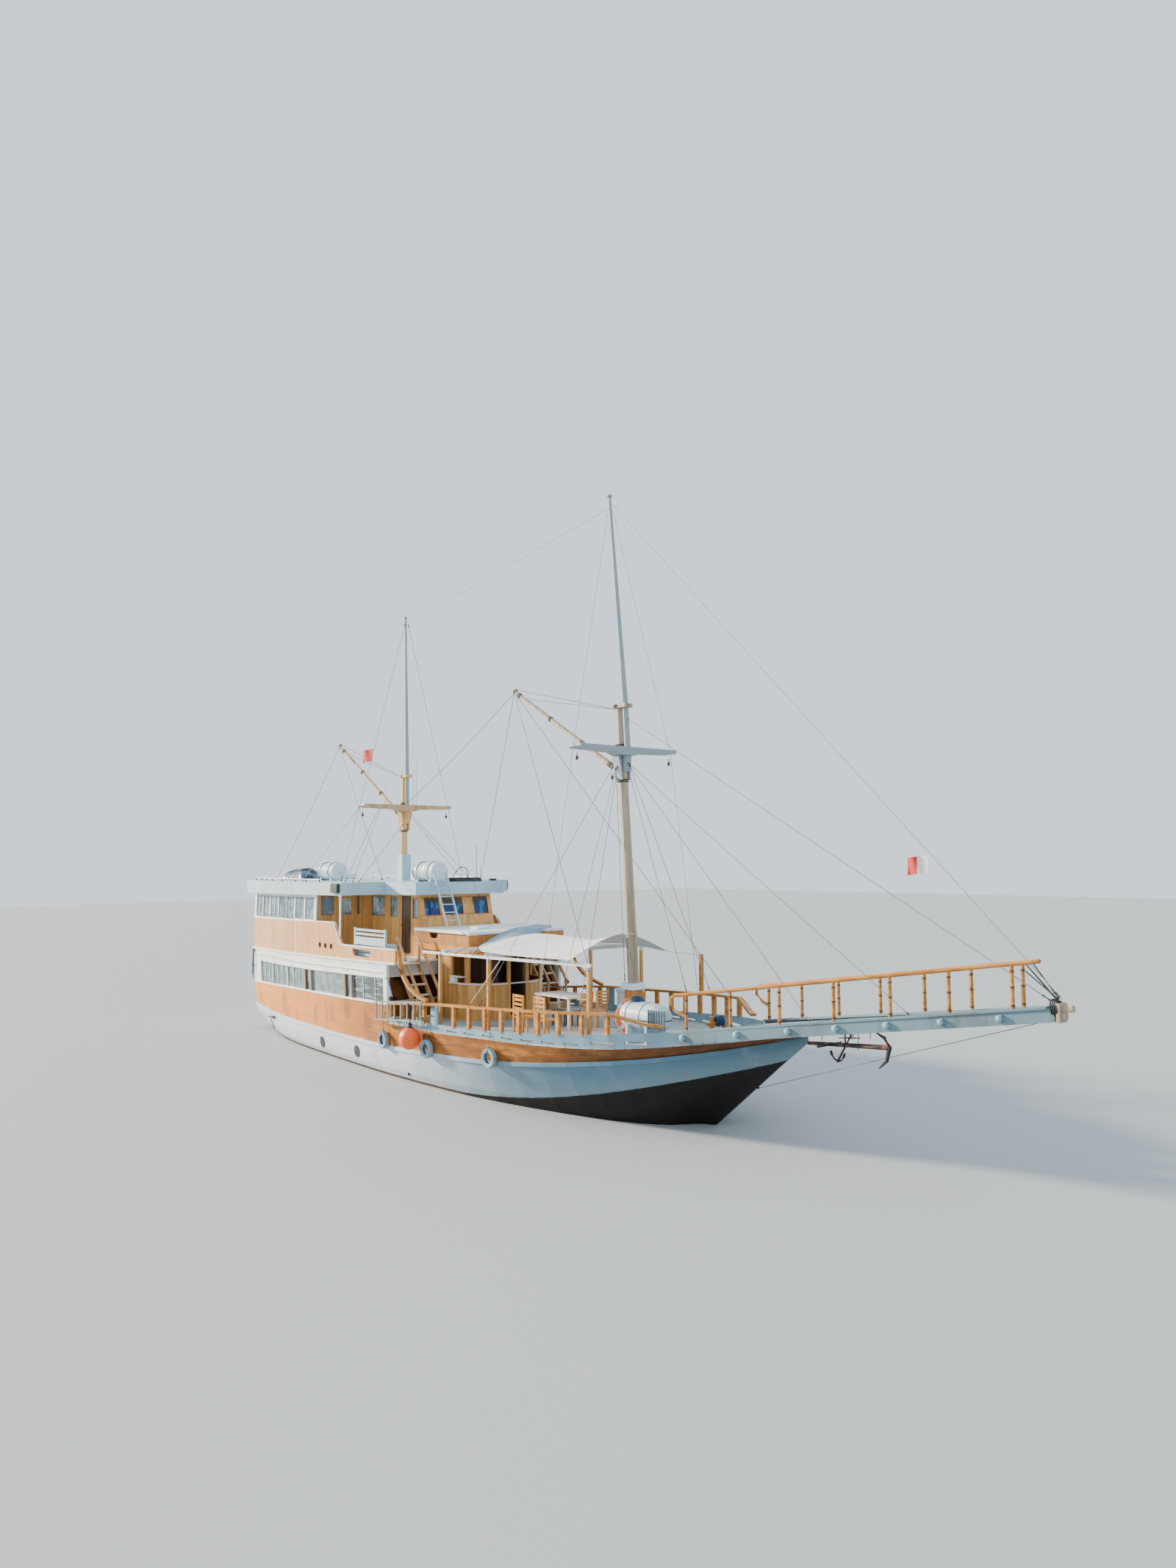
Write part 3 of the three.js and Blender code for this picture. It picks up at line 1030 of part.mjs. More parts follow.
// Chairs at the table. Columns: name, x, y, facing (+1 turns the back outboard to starboard).
function chair(x, y, facing) {
  const floor = on(deckLine, x).z;
  const back = y - facing * 215;
  const front = y + facing * 200;
  const leg = (dx, yy, top) => box(x + dx - 22, x + dx + 22, yy - 22, yy + 22, floor - 60, floor + top);
  const slat = (dz) => box(x - 200, x + 200, back - 12, back + 12, floor + dz - 32, floor + dz + 32);
  return onDeck(join(
    box(x - 225, x + 225, y - 225, y + 225, floor + 430, floor + 465),
    leg(-200, back, 1020), leg(200, back, 1020), leg(-200, front, 440), leg(200, front, 440),
    ...[560, 670, 780, 890, 985].map(slat),
  ));
}
const chairs = [["chair_aft", 6330, -1900, 1], ["chair_fore", 7230, -1900, 1]];
for (const [name, x, y, facing] of chairs) add(name, chair(x, y, facing), finish.varnish);

// Things that lie on the roof and foredeck.

const DRUM = { radius: 280, length: 1150 };
function drum(x, y) {
  const z = ROOF.top + 45 + DRUM.radius;
  const barrel = new THREE.CylinderGeometry(DRUM.radius, DRUM.radius, DRUM.length, 24)
    .rotateZ(Math.PI / 2).translate(x, y, z);
  const chock = (dx) => box(x + dx - 40, x + dx + 40, y - 240, y + 240, 5200, z - 160);
  return onRoof(join(barrel, chock(-350), chock(350)));
}
add("water_drum_aft", drum(-5850, -1350), finish.whitePaint);
add("water_drum_fore", drum(-560, -600), finish.whitePaint);

function bundle(x, y, long, wide, tall, floor) {
  const rings = [-1, -0.7, -0.2, 0.3, 0.75, 1].map((t, k) => {
    const scale = [0.45, 0.85, 1, 0.95, 0.8, 0.4][k];
    return Array.from({ length: 10 }, (_, j) => {
      const angle = (j / 10) * 2 * Math.PI;
      const dz = Math.max(Math.sin(angle), -0.35) + 0.35;
      const across = (Math.cos(angle) * wide * scale) / 2;
      return vec(x + (t * long) / 2, y + across, floor - 30 + (dz / 1.35) * tall * scale);
    });
  });
  return onRoof(loft(rings));
}
add("covered_bundle", bundle(-8950, -1050, 1900, 900, 460, ROOF.top), finish.blueTarp);

const RAFT = { x: 10020, y: -1130, z: 2440, radius: 320, long: 1350 };
function lifeRaft() {
  const profile = [
    [0, -RAFT.long / 2], [0.6, -RAFT.long / 2], [0.85, -RAFT.long / 2 + 70], [1, -RAFT.long / 2 + 200],
    [1, RAFT.long / 2 - 200], [0.85, RAFT.long / 2 - 70], [0.6, RAFT.long / 2], [0, RAFT.long / 2],
  ].map(([r, z]) => new THREE.Vector2(r * RAFT.radius, z));
  const { x, y, z } = RAFT;
  const pod = new THREE.LatheGeometry(profile, 24).rotateZ(-Math.PI / 2).translate(x, y, z);
  const cradle = (dx) => box(x + dx - 35, x + dx + 35, y - 300, y + 300, 1600, z - 170);
  return onDeck(join(pod, cradle(-330), cradle(330)));
}
add("life_raft", lifeRaft(), finish.whitePaint);

// A life ring on a board beside the mast.
const RING = { x: 8900, y: -700, z: 2290, radius: 300, tube: 75 };
function lifeRing() {
  const ring = new THREE.TorusGeometry(RING.radius, RING.tube, 10, 28).rotateY(Math.PI / 2)
    .translate(RING.x, RING.y, RING.z);
  const board = box(RING.x - 95, RING.x - 60, RING.y - 110, RING.y + 110, 1600, RING.z + 330);
  return onDeck(join(ring, board));
}
add("life_ring", lifeRing(), finish.orange);

// Mooring buoy that hangs outside the starboard gate from its eye.
const BUOY = { x: 3080, y: LADDER.y - 80, z: 1330, radius: 290 };
const buoyNeck = THREE.MathUtils.mapLinear(
  BUOY.x, LADDER.aft, LADDER.fore, LADDER.footAft, LADDER.footFore);
function buoy() {
  const profile = [new THREE.Vector2(0, -BUOY.radius)];
  for (let k = 1; k < 12; k++) {
    const angle = -Math.PI / 2 + (k / 12) * Math.PI;
    profile.push(new THREE.Vector2(BUOY.radius * Math.cos(angle), BUOY.radius * Math.sin(angle) * 1.08));
  }
  const neck = buoyNeck - BUOY.z;
  profile.push(new THREE.Vector2(85, 330), new THREE.Vector2(85, neck), new THREE.Vector2(0, neck));
  const float = new THREE.LatheGeometry(profile, 20).rotateX(Math.PI / 2)
    .translate(BUOY.x, BUOY.y, BUOY.z);
  const rail = [[LADDER.aft, LADDER.footAft], [LADDER.fore, LADDER.footFore]];
  const under = rail.map(([x, z]) => vec(x, BUOY.y, z + 25 - SEAT));
  return cut(float, bar(under, 400, 100));
}
add("buoy", buoy(), finish.orange);

// Anchor at the stem: shank into the hawse, arms ahead, stock across.
function anchor() {
  const y = -520;
  const shank = spar([vec(14320, y, 2290), vec(16300, y, 2440)], [38, 52], 8);
  const curve = [[16010, 2690], [16200, 2610], [16310, 2440], [16240, 2180], [16060, 2020]];
  const arms = sweep(curve.map(([x, z]) => vec(x, y, z)), polygon(1, 6), [14, 36, 52, 36, 14]);
  const stock = rod([vec(14900, y - 420, 2330), vec(14900, y + 330, 2330)], 24, 8);
  const beam = along(crossBeams[3]);
  const hanger = rod([vec(beam.x, y, 2370), vec(beam.x, y, beam.z - BEAM.height / 2)], 16, 8);
  return cut(join(shank, arms, stock, hanger), crossing(beam.x, beam.half, beam.z, SEAT));
}
add("anchor", anchor(), finish.iron);

// Propeller and rudder.

function propeller() {
  const { x, z, radius, hub } = PROPELLER;
  const shaft = new THREE.CylinderGeometry(SHAFT, SHAFT, 560, 32).rotateZ(Math.PI / 2)
    .translate(x + 300, 0, z);
  const boss = new THREE.CylinderGeometry(70, hub, 210, 16).rotateZ(Math.PI / 2).translate(x, 0, z);
  const cone = new THREE.ConeGeometry(70, 110, 16).rotateZ(Math.PI / 2).translate(x - 159, 0, z);
  const blade = (angle) => {
    const outline = new THREE.Shape();
    outline.moveTo(-60, 40);
    outline.bezierCurveTo(-190, 160, -210, radius, 0, radius);
    outline.bezierCurveTo(190, radius, 130, 160, 60, 40);
    const slab = new THREE.ExtrudeGeometry(outline, { depth: 26, bevelEnabled: false, curveSegments: 8 });
    return slab.translate(0, 0, -13).rotateY(0.62).rotateY(Math.PI / 2).rotateX(angle).translate(x, 0, z);
  };
  const turns = [0, 1, 2, 3].map((k) => blade((k * Math.PI) / 2 + 0.35));
  return join(shaft, boss, cone, ...turns);
}
add("propeller", propeller(), finish.bronze);

function rudder() {
  const { stockX, aft, top, bottom, half } = RUDDER;
  const blade = plate([
    [stockX + 90, bottom + 40], [stockX + 60, top - 60], [stockX - 40, top], [aft + 140, top - 30],
    [aft, top - 260], [aft + 20, bottom + 220], [aft + 160, bottom],
  ], "y", -half, half);
  const stock = disc(40, 1400, stockX, 0, -10, 16);
  const pintle = disc(30, 160, stockX, 0, SHOE.socket + 80, 16);
  return join(blade, stock, pintle);
}
add("rudder", rudder(), finish.whitePaint);

export default boat;
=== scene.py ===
"""A timber sailing boat with two masts, a planked cabin under a wide roof and a railed bow platform.

Metres, X to the bow, Y to port, Z up, the waterline at zero. Starboard is the side with Y below zero.
"""
import math

import bmesh
import bpy
from mathutils import Matrix, Vector
from mathutils.bvhtree import BVHTree


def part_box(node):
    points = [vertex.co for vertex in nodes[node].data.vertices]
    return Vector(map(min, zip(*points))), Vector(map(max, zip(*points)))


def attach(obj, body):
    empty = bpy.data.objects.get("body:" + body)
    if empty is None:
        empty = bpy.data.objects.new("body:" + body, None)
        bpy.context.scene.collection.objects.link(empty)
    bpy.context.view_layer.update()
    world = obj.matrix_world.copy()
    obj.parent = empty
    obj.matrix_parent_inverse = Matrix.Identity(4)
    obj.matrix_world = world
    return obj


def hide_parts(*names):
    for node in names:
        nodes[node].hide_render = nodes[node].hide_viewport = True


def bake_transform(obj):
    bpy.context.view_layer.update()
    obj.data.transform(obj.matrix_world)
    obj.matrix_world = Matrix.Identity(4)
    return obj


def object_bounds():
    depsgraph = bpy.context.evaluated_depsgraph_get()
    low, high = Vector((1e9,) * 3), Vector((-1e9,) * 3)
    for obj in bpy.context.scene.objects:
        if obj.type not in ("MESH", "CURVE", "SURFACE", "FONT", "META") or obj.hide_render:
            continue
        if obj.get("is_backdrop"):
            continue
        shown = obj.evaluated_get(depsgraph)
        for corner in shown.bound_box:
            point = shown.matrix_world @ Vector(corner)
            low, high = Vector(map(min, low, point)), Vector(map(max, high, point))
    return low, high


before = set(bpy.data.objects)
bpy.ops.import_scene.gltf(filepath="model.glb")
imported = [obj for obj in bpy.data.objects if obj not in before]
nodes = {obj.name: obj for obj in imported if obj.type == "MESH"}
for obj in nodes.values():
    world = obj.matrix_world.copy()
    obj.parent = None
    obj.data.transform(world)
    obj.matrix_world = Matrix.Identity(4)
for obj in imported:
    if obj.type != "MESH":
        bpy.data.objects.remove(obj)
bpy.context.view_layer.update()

# The camera hangs a little above deck height, ahead of the starboard beam. The picture is upright, so the
# lens is given for its height.
IMAGE_HEIGHT = 2133
FOCAL_PIXELS = 1492.75
CAMERA_PLACE = (29.234, -18.3236, 6.0241)
camera_data = bpy.data.cameras.new("camera")
camera_data.sensor_fit = "VERTICAL"
camera_data.sensor_height = 36.0
camera_data.lens = FOCAL_PIXELS / IMAGE_HEIGHT * camera_data.sensor_height
camera_data.clip_end = 400.0
camera = bpy.data.objects.new("camera", camera_data)
bpy.context.scene.collection.objects.link(camera)
camera_right = Vector((0.62823732, 0.77799418, -0.00655247))
camera_up = Vector((0.05893509, -0.03918948, 0.99749228))
camera_look = Vector((-0.77578639, 0.62704804, 0.07047145))
turn = Matrix((camera_right, camera_up, -camera_look)).transposed()
camera.matrix_world = Matrix.Translation(CAMERA_PLACE) @ turn.to_4x4()
bpy.context.scene.camera = camera

# The floor stands for the water: a plain pale sheet at the waterline. Low warm daylight comes from the
# starboard quarter, almost from astern, with a cool sky all round.
FLOOR, FLOOR_COLOR, FLOOR_ROUGHNESS = 150.0, (0.40, 0.44, 0.47, 1), 0.75
SKY_COLOR, SKY_STRENGTH = (0.82, 0.92, 1.0, 1), 1.35
SUN_COLOR, SUN_ENERGY = (1.0, 0.85, 0.66), 10.5
SUN_ANGLE = math.radians(6)
SUN_FROM = Vector((-0.87, -0.44, 0.31))
floor_mesh = bpy.data.meshes.new("floor")
floor_corners = [(-FLOOR, -FLOOR, 0), (FLOOR, -FLOOR, 0), (FLOOR, FLOOR, 0), (-FLOOR, FLOOR, 0)]
floor_mesh.from_pydata(floor_corners, [], [(0, 1, 2, 3)])
floor = bpy.data.objects.new("floor", floor_mesh)
bpy.context.scene.collection.objects.link(floor)
floor_paint = bpy.data.materials.new("floor_paint")
floor_paint.use_nodes = True
floor_shader = floor_paint.node_tree.nodes["Principled BSDF"]
floor_shader.inputs["Base Color"].default_value = FLOOR_COLOR
floor_shader.inputs["Roughness"].default_value = FLOOR_ROUGHNESS
floor_mesh.materials.append(floor_paint)
floor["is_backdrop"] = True

world = bpy.data.worlds.new("sky")
world.use_nodes = True
world.node_tree.nodes["Background"].inputs["Color"].default_value = SKY_COLOR
world.node_tree.nodes["Background"].inputs["Strength"].default_value = SKY_STRENGTH
bpy.context.scene.world = world

sun_data = bpy.data.lights.new("low_sun", "SUN")
sun_data.color = SUN_COLOR
sun_data.energy = SUN_ENERGY
sun_data.angle = SUN_ANGLE
sun = bpy.data.objects.new("low_sun", sun_data)
sun.rotation_euler = SUN_FROM.to_track_quat("Z", "Y").to_euler()
bpy.context.scene.collection.objects.link(sun)

# Hull: deep carvel planking with a straight keel and a raked stem, nailed to its frames. The topsides are in
# worn white paint over a black bottom whose edge climbs to the stem; towards the bow they are blue, deepest
# at the stem, which is painted shade. Rust weeps near the water and weed browns the waterline. The rudder and
# the beam shelf are painted with it.


class Wire:
    """One socket of a finish's shader nodes. Arithmetic on it adds Math nodes."""

    def __init__(self, finish, socket):
        self.finish = finish
        self.socket = socket

    def math(self, operation, *others):
        return self.finish.node("Math", {"operation": operation}, dict(enumerate((self, *others))))

    def beside(self, output):
        """Another output of the same node."""
        return Wire(self.finish, self.socket.node.outputs[output])

    def __add__(self, other):
        return self.math("ADD", other)

    def __sub__(self, other):
        return self.math("SUBTRACT", other)

    def __rsub__(self, other):
        return self.finish.node("Math", {"operation": "SUBTRACT"}, {0: other, 1: self})

    def __mul__(self, other):
        return self.math("MULTIPLY", other)

    def __truediv__(self, other):
        return self.math("DIVIDE", other)

    def __pow__(self, other):
        return self.math("POWER", other)

    __radd__ = __add__
    __rmul__ = __mul__


class Finish:
    """A material: a Principled shader and the nodes that vary it over the surface."""

    def __init__(self, name, constants):
        self.material = bpy.data.materials.new(name)
        self.material.use_nodes = True
        self.tree = self.material.node_tree
        self.shader = self.tree.nodes["Principled BSDF"]
        self.set(constants)
        self.place = self.node("TexCoord", {}, {}, "Object")
        self.x = self.node("SeparateXYZ", {}, {0: self.place}, "X")
        self.y = self.x.beside("Y")
        self.z = self.x.beside("Z")

    def node(self, kind, settings, inputs, output=0):
        """Adds a node: its settings first, then the values and links of its sockets."""
        made = self.tree.nodes.new("ShaderNode" + kind)
        for key, value in settings.items():
            setattr(made, key, value)
        for key, value in inputs.items():
            found = [s for s in made.inputs if s.identifier == key]
            self.feed(found[0] if found else made.inputs[key], value)
        found = [s for s in made.outputs if s.identifier == output]
        return Wire(self, found[0] if found else made.outputs[output])

    def feed(self, socket, value):
        if isinstance(value, Wire):
            self.tree.links.new(value.socket, socket)
        elif socket.type == "RGBA" and len(value) == 3:
            socket.default_value = (*value, 1)
        else:
            socket.default_value = value

    def set(self, values):
        for key, value in values.items():
            self.feed(self.shader.inputs[key], value)

    def mix(self, factor, a, b):
        settings = {"data_type": "RGBA", "blend_type": "MIX", "clamp_factor": True}
        colours = {"Factor_Float": factor, "A_Color": a, "B_Color": b}
        return self.node("Mix", settings, colours, "Result_Color")

    def step(self, value, low, high):
        """Goes from 0 at low to 1 at high, and stays there."""
        settings = {"interpolation_type": "SMOOTHSTEP", "clamp": True}
        return self.node("MapRange", settings, {"Value": value, "From Min": low, "From Max": high})

    def noise(self, scale, stretch=(1, 1, 1), detail=3.0):
        spread = self.node("VectorMath", {"operation": "MULTIPLY"}, {0: self.place, 1: stretch})
        return self.node("TexNoise", {}, {"Vector": spread, "Scale": scale, "Detail": detail})

    def seam(self, across, pitch, width):
        """1 on the joints between boards of one width, 0 on their faces."""
        off_centre = ((across / pitch).math("FRACT") - 0.5).math("ABSOLUTE")
        return self.step(off_centre, 0.5 - width / pitch, 0.5)

    def board(self, across, pitch):
        """A steady random number for each board."""
        count = (across / pitch).math("FLOOR") + 0.5
        return self.node("TexWhiteNoise", {"noise_dimensions": "1D"}, {"W": count}, "Value")

    def relief(self, height, distance):
        return self.node("Bump", {}, {"Height": height, "Distance": distance, "Strength": 1.0})


def dress(finish, *names):
    for name in names:
        nodes[name].data.materials.clear()
        nodes[name].data.materials.append(finish.material)


SHEER_LOW = 0.80  # height of the strake where it is lowest


def above_sheer(finish):
    """Height over a curve that follows the strake, so that plank seams run with the hull's own sweep."""
    ahead = finish.x.math("MAXIMUM", 0.0)
    astern = (finish.x + 3.0).math("MINIMUM", 0.0)
    return finish.z - ahead * ahead * 0.0073 - astern * astern * 0.0016 - SHEER_LOW


def boot_top(finish):
    """Height of the black paint's upper edge: level to amidships, then climbing to the stem."""
    rise = (finish.x - 4.4).math("MAXIMUM", 0.0) ** 1.715
    return rise * 0.0393 + 0.07


topsides = Finish("topsides", {"Coat Roughness": 0.25, "Specular IOR Level": 0.3})
WHITE = (0.60, 0.68, 0.74)
streaks = topsides.noise(2.6, (1.0, 1.0, 0.10), 4.0)
cloud = topsides.noise(0.55, (0.6, 1, 1.6), 3.0)
# Painted shade: the topsides go blue towards the bow, and darker blue at the stem, for the shade the hull
# lies in there.
painted_bow_shade = topsides.step(topsides.x + (topsides.noise(0.8) - 0.5) * 3.0, 0.5, 8.5)
hull_white = topsides.mix(cloud * 0.6, WHITE, (0.46, 0.56, 0.64))
shaded_hull_blue = topsides.mix(topsides.noise(1.2, (0.5, 1, 1), 5.0), (0.06, 0.16, 0.25), (0.12, 0.23, 0.31))
stem_shade = topsides.step(topsides.x + (topsides.noise(0.9) - 0.5) * 2.0, 9.0, 15.0)
shaded_hull_blue = topsides.mix(stem_shade, shaded_hull_blue, (0.035, 0.115, 0.165))
hull_white = topsides.mix(painted_bow_shade, hull_white, shaded_hull_blue)
hull_white = topsides.mix(topsides.step(streaks, 0.54, 0.75) * 0.35, hull_white, (0.22, 0.30, 0.36))
near_water = 1 - topsides.step(topsides.z - boot_top(topsides), 0.0, 0.5)
hull_white = topsides.mix(near_water * 0.30, hull_white, (0.30, 0.37, 0.39))
rust = topsides.noise(1.15, (1.6, 1.0, 0.16), 5.0)
hull_white = topsides.mix(topsides.step(rust, 0.70, 0.80) * 0.30, hull_white, (0.30, 0.13, 0.05))
weeps = topsides.step(topsides.noise(2.1, (1.5, 1.5, 0.14), 4.0), 0.60, 0.70) * near_water
hull_white = topsides.mix(weeps * (1 - stem_shade) * 0.5, hull_white, (0.38, 0.16, 0.05))
strakes = topsides.seam(above_sheer(topsides), 0.19, 0.010)
hull_white = topsides.mix(strakes * 0.10, hull_white, (0.30, 0.35, 0.38))
under = topsides.mix(topsides.noise(3.0, (1, 1, 3)), (0.002, 0.002, 0.003), (0.010, 0.008, 0.007))
weed = topsides.step(boot_top(topsides) - topsides.z, 0.0, 0.10)
amidships = 1 - topsides.step(topsides.x, 4.3, 4.8)
bottom = topsides.mix((1 - weed) * amidships * 0.8, under, (0.115, 0.075, 0.045))
edge = topsides.z - boot_top(topsides) + (topsides.noise(5.0) - 0.5) * 0.03
painted_white = topsides.step(edge, -0.012, 0.012)
topsides.set({
    "Base Color": topsides.mix(painted_white, bottom, hull_white),
    "Roughness": topsides.noise(4.0) * 0.25 + 0.55 - painted_white * 0.2,
    "Coat Weight": painted_white * 0.15,
    "Normal": topsides.relief(topsides.noise(1.3, (1, 1, 2)) * 1.5 - strakes * 0.5, 0.004),
})
dress(topsides, "hull", "rudder", "rubbing_strake")

# Two round ports each side light the engine room, with iron rims over dark glass, and the exhaust leaves the
# hull just above the water. They are turned rings let into the planking.
SHARP_ANGLE = math.radians(35)  # an edge between faces that meet at more than this stays sharp


def spokes(axis, count):
    """Unit vectors square to an axis, evenly spread round it."""
    axis = Vector(axis).normalized()
    first = axis.orthogonal().normalized()
    second = axis.cross(first)
    turns = [math.tau * k / count for k in range(count)]
    return [first * math.cos(t) + second * math.sin(t) for t in turns]


class Work:
    """Gathers closed shapes, in metres, into one piece."""

    def __init__(self):
        self.points = []
        self.faces = []

    def skin(self, rings, caps=True):
        """Faces from ring to ring of as many points, and over both ends."""
        count = len(rings[0])
        start = len(self.points)
        for ring in rings:
            self.points += [Vector(point) for point in ring]
        for i in range(len(rings) - 1):
            a = start + i * count
            for k in range(count):
                after = (k + 1) % count
                self.faces.append((a + k, a + after, a + count + after, a + count + k))
        if caps:
            self.faces.append(tuple(range(start, start + count)))
            self.faces.append(tuple(range(len(self.points) - count, len(self.points))))

    def sweep(self, path, section, scales=None, closed=False):
        """A section of (side, up) points carried along a path without twist."""
        path = [Vector(point) for point in path]
        last = len(path) - 1
        up = None
        rings = []
        for i, point in enumerate(path):
            behind = path[i - 1] if closed or i else point
            beyond = path[(i + 1) % len(path)] if closed or i < last else point
            ahead = (beyond - behind).normalized()
            if up is None:
                up = Vector((1, 0, 0)) if abs(ahead.z) > 0.95 else Vector((0, 0, 1))
            up = (up - ahead * up.dot(ahead)).normalized()
            side = up.cross(ahead)
            size = scales[i] if scales else 1.0
            rings.append([point + side * (a * size) + up * (b * size) for a, b in section])
        if closed:
            rings.append(rings[0])
        self.skin(rings, caps=not closed)

    def bar(self, path, width, height):
        """A rectangular timber with its arrises taken off."""
        w, h = width / 2, height / 2
        e = min(w, h) * 0.28
        self.sweep(path, [(w, e - h), (w, h - e), (w - e, h), (e - w, h),
                          (-w, h - e), (-w, e - h), (e - w, -h), (w - e, -h)])

    def rod(self, path, radius, sides=8, scales=None, closed=False):
        turns = [math.tau * k / sides for k in range(sides)]
        self.sweep(path, [(radius * math.cos(t), radius * math.sin(t)) for t in turns], scales, closed)

    def hoop(self, centre, axis, radius, tube, steps=28, sides=8):
        """A ring around an axis."""
        path = [Vector(centre) + spoke * radius for spoke in spokes(axis, steps)]
        self.rod(path, tube, sides, closed=True)

    def turned(self, centre, axis, profile, sides=20):
        """A solid of revolution: profile is (radius, distance along the axis)."""
        centre, axis = Vector(centre), Vector(axis).normalized()
        around = spokes(axis, sides)
        self.skin([[centre + axis * along + spoke * radius for spoke in around] for radius, along in profile])

    def frame(self, corners, shift, width, height):
        """Bars from corner to corner, all moved by one vector."""
        for a, b in zip(corners, corners[1:] + corners[:1]):
            self.bar([a + shift, b + shift], width, height)

    def panel(self, corners, depth):
        """A plate between four corners, thick by the vector depth."""
        corners = [Vector(corner) for corner in corners]
        self.skin([corners, [corner + Vector(depth) for corner in corners]])

    def block(self, low, high, edge=0.008):
        """A box with its edges taken off."""
        (a, b, c), (d, e, f) = low, high

        def ring(inset, z):
            cut = edge - inset
            x0, x1, y0, y1 = a + inset, d - inset, b + inset, e - inset
            return [(x0 + cut, y0, z), (x1 - cut, y0, z), (x1, y0 + cut, z), (x1, y1 - cut, z),
                    (x1 - cut, y1, z), (x0 + cut, y1, z), (x0, y1 - cut, z), (x0, y0 + cut, z)]

        self.skin([ring(edge * 0.9, c), ring(0, c + edge), ring(0, f - edge), ring(edge * 0.9, f)])

    def make(self, name, finish, slot, body="boat"):
        """Joins the shapes, rounds their shading and fixes the piece to a body."""
        mesh = bpy.data.meshes.new(name)
        mesh.from_pydata(self.points, [], self.faces)
        shape = bmesh.new()
        shape.from_mesh(mesh)
        bmesh.ops.remove_doubles(shape, verts=shape.verts, dist=1e-5)
        bmesh.ops.recalc_face_normals(shape, faces=shape.faces)
        shape.to_mesh(mesh)
        shape.free()
        mesh.shade_smooth()
        mesh.set_sharp_from_angle(angle=SHARP_ANGLE)
        mesh.materials.append(finish.material)
        piece = bpy.data.objects.new(name, mesh)
        bpy.context.scene.collection.objects.link(piece)
        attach(piece, body)
        return piece


def surface(name):
    """A node's faces, for finding points on them."""
    mesh = nodes[name].data
    return BVHTree.FromPolygons([v.co for v in mesh.vertices], [p.vertices for p in mesh.polygons])


REACH = 24.0  # further out than any wall of the boat


def meet(faces, point, inward):
    """Where a line through a point, coming from far outside, first meets a surface, and the normal there."""
    inward = Vector(inward)
    place, normal, _, _ = faces.ray_cast(Vector(point) - inward * REACH, inward)
    if place is None:
        raise ValueError(f"no surface on the line through {tuple(point)}")
    return place, normal


def moulded(name, color, shade, roughness, coat=0.3, metal=0.0):
    plastic = Finish(name, {"Coat Weight": coat, "Coat Roughness": 0.25, "Metallic": metal})
    scuff = plastic.step(plastic.noise(6.0, (1, 1, 1), 5.0), 0.5, 0.72)
    plastic.set({
        "Base Color": plastic.mix(scuff * 0.6, color, shade),
        "Roughness": plastic.noise(15.0) * 0.25 + roughness,
        "Normal": plastic.relief(plastic.noise(70.0), 0.0008),
    })
    return plastic


SIDES = {"starboard": -1, "port": 1}
PORTHOLES = [(-3.41, 0.40), (-0.88, 0.44)]
PORT_RADIUS = 0.17
EXHAUST = (2.17, 0, 0.21)
hull_skin = surface("hull")
dark_glass = moulded("dark_glass", (0.010, 0.012, 0.014), (0.02, 0.024, 0.028), 0.45, 0.05)
rusty_iron = Finish("rusty_iron", {"Metallic": 0.6})
rusty_iron.set({
    "Base Color": rusty_iron.mix(rusty_iron.step(rusty_iron.noise(7.0, (1, 1, 1), 5.0), 0.48, 0.64),
                                 (0.03, 0.03, 0.034), (0.16, 0.07, 0.04)),
    "Roughness": rusty_iron.noise(20.0) * 0.3 + 0.5,
    "Normal": rusty_iron.relief(rusty_iron.noise(45.0), 0.003),
})
port_rims, port_panes = Work(), Work()
for side in SIDES.values():
    for x, z in PORTHOLES:
        place, normal = meet(hull_skin, (x, 0, z), (0, -side, 0))
        port_rims.hoop(place + normal * 0.004, normal, PORT_RADIUS, 0.010)
        lens = PORT_RADIUS - 0.008
        outline = [(0.001, 0.012), (0.10, 0.011), (lens, 0.008), (lens, -0.01), (0.001, -0.01)]
        port_panes.turned(place, normal, outline, 28)
place, normal = meet(hull_skin, EXHAUST, (0, 1, 0))
exhaust_pipe = [(0.024, -0.02), (0.042, -0.02), (0.042, 0.025), (0.032, 0.030), (0.028, 0.0), (0.024, -0.01)]
port_rims.turned(place, normal, exhaust_pipe)
port_rims.make("porthole_rims", rusty_iron, "iron")
port_panes.make("porthole_glass", dark_glass, "iron")

# Tyres hang along the beam shelf as fenders, painted the same pale blue-grey, each on a lashing that goes up
# to the toe rail. Each is a whole tyre ring with its open inner lip.
TYRES = [(1.12, 1.04), (3.53, 1.09), (6.23, 1.19)]
TYRE_RADIUS, TYRE_HALF_WIDTH, TYRE_STEPS = 0.185, 0.062, 32
TYRE_STANDOFF = TYRE_HALF_WIDTH + 0.055
LASHING = 0.008  # radius
planking_skin = {name: surface(name) for name in ("cabin_planking", "fore_planking")}
tyre_paint = moulded("tyre_paint", (0.22, 0.35, 0.44), (0.09, 0.13, 0.16), 0.6, 0.0)


def rope(name, light, dark, strands, depth, roughness=0.75, mottle=9.0):
    """Laid rope: strands sets how close its turns lie, depth how far they stand out."""
    cord = Finish(name, {})
    lay = ((cord.x + cord.y + cord.z) * strands).math("SINE")
    cord.set({
        "Base Color": cord.mix(cord.noise(mottle), light, dark),
        "Roughness": cord.noise(20.0) * 0.1 + roughness,
        "Normal": cord.relief(lay, depth),
    })
    return cord


grey_rope = rope("grey_rope", (0.22, 0.21, 0.19), (0.09, 0.085, 0.08), 260, 0.001, 0.8)
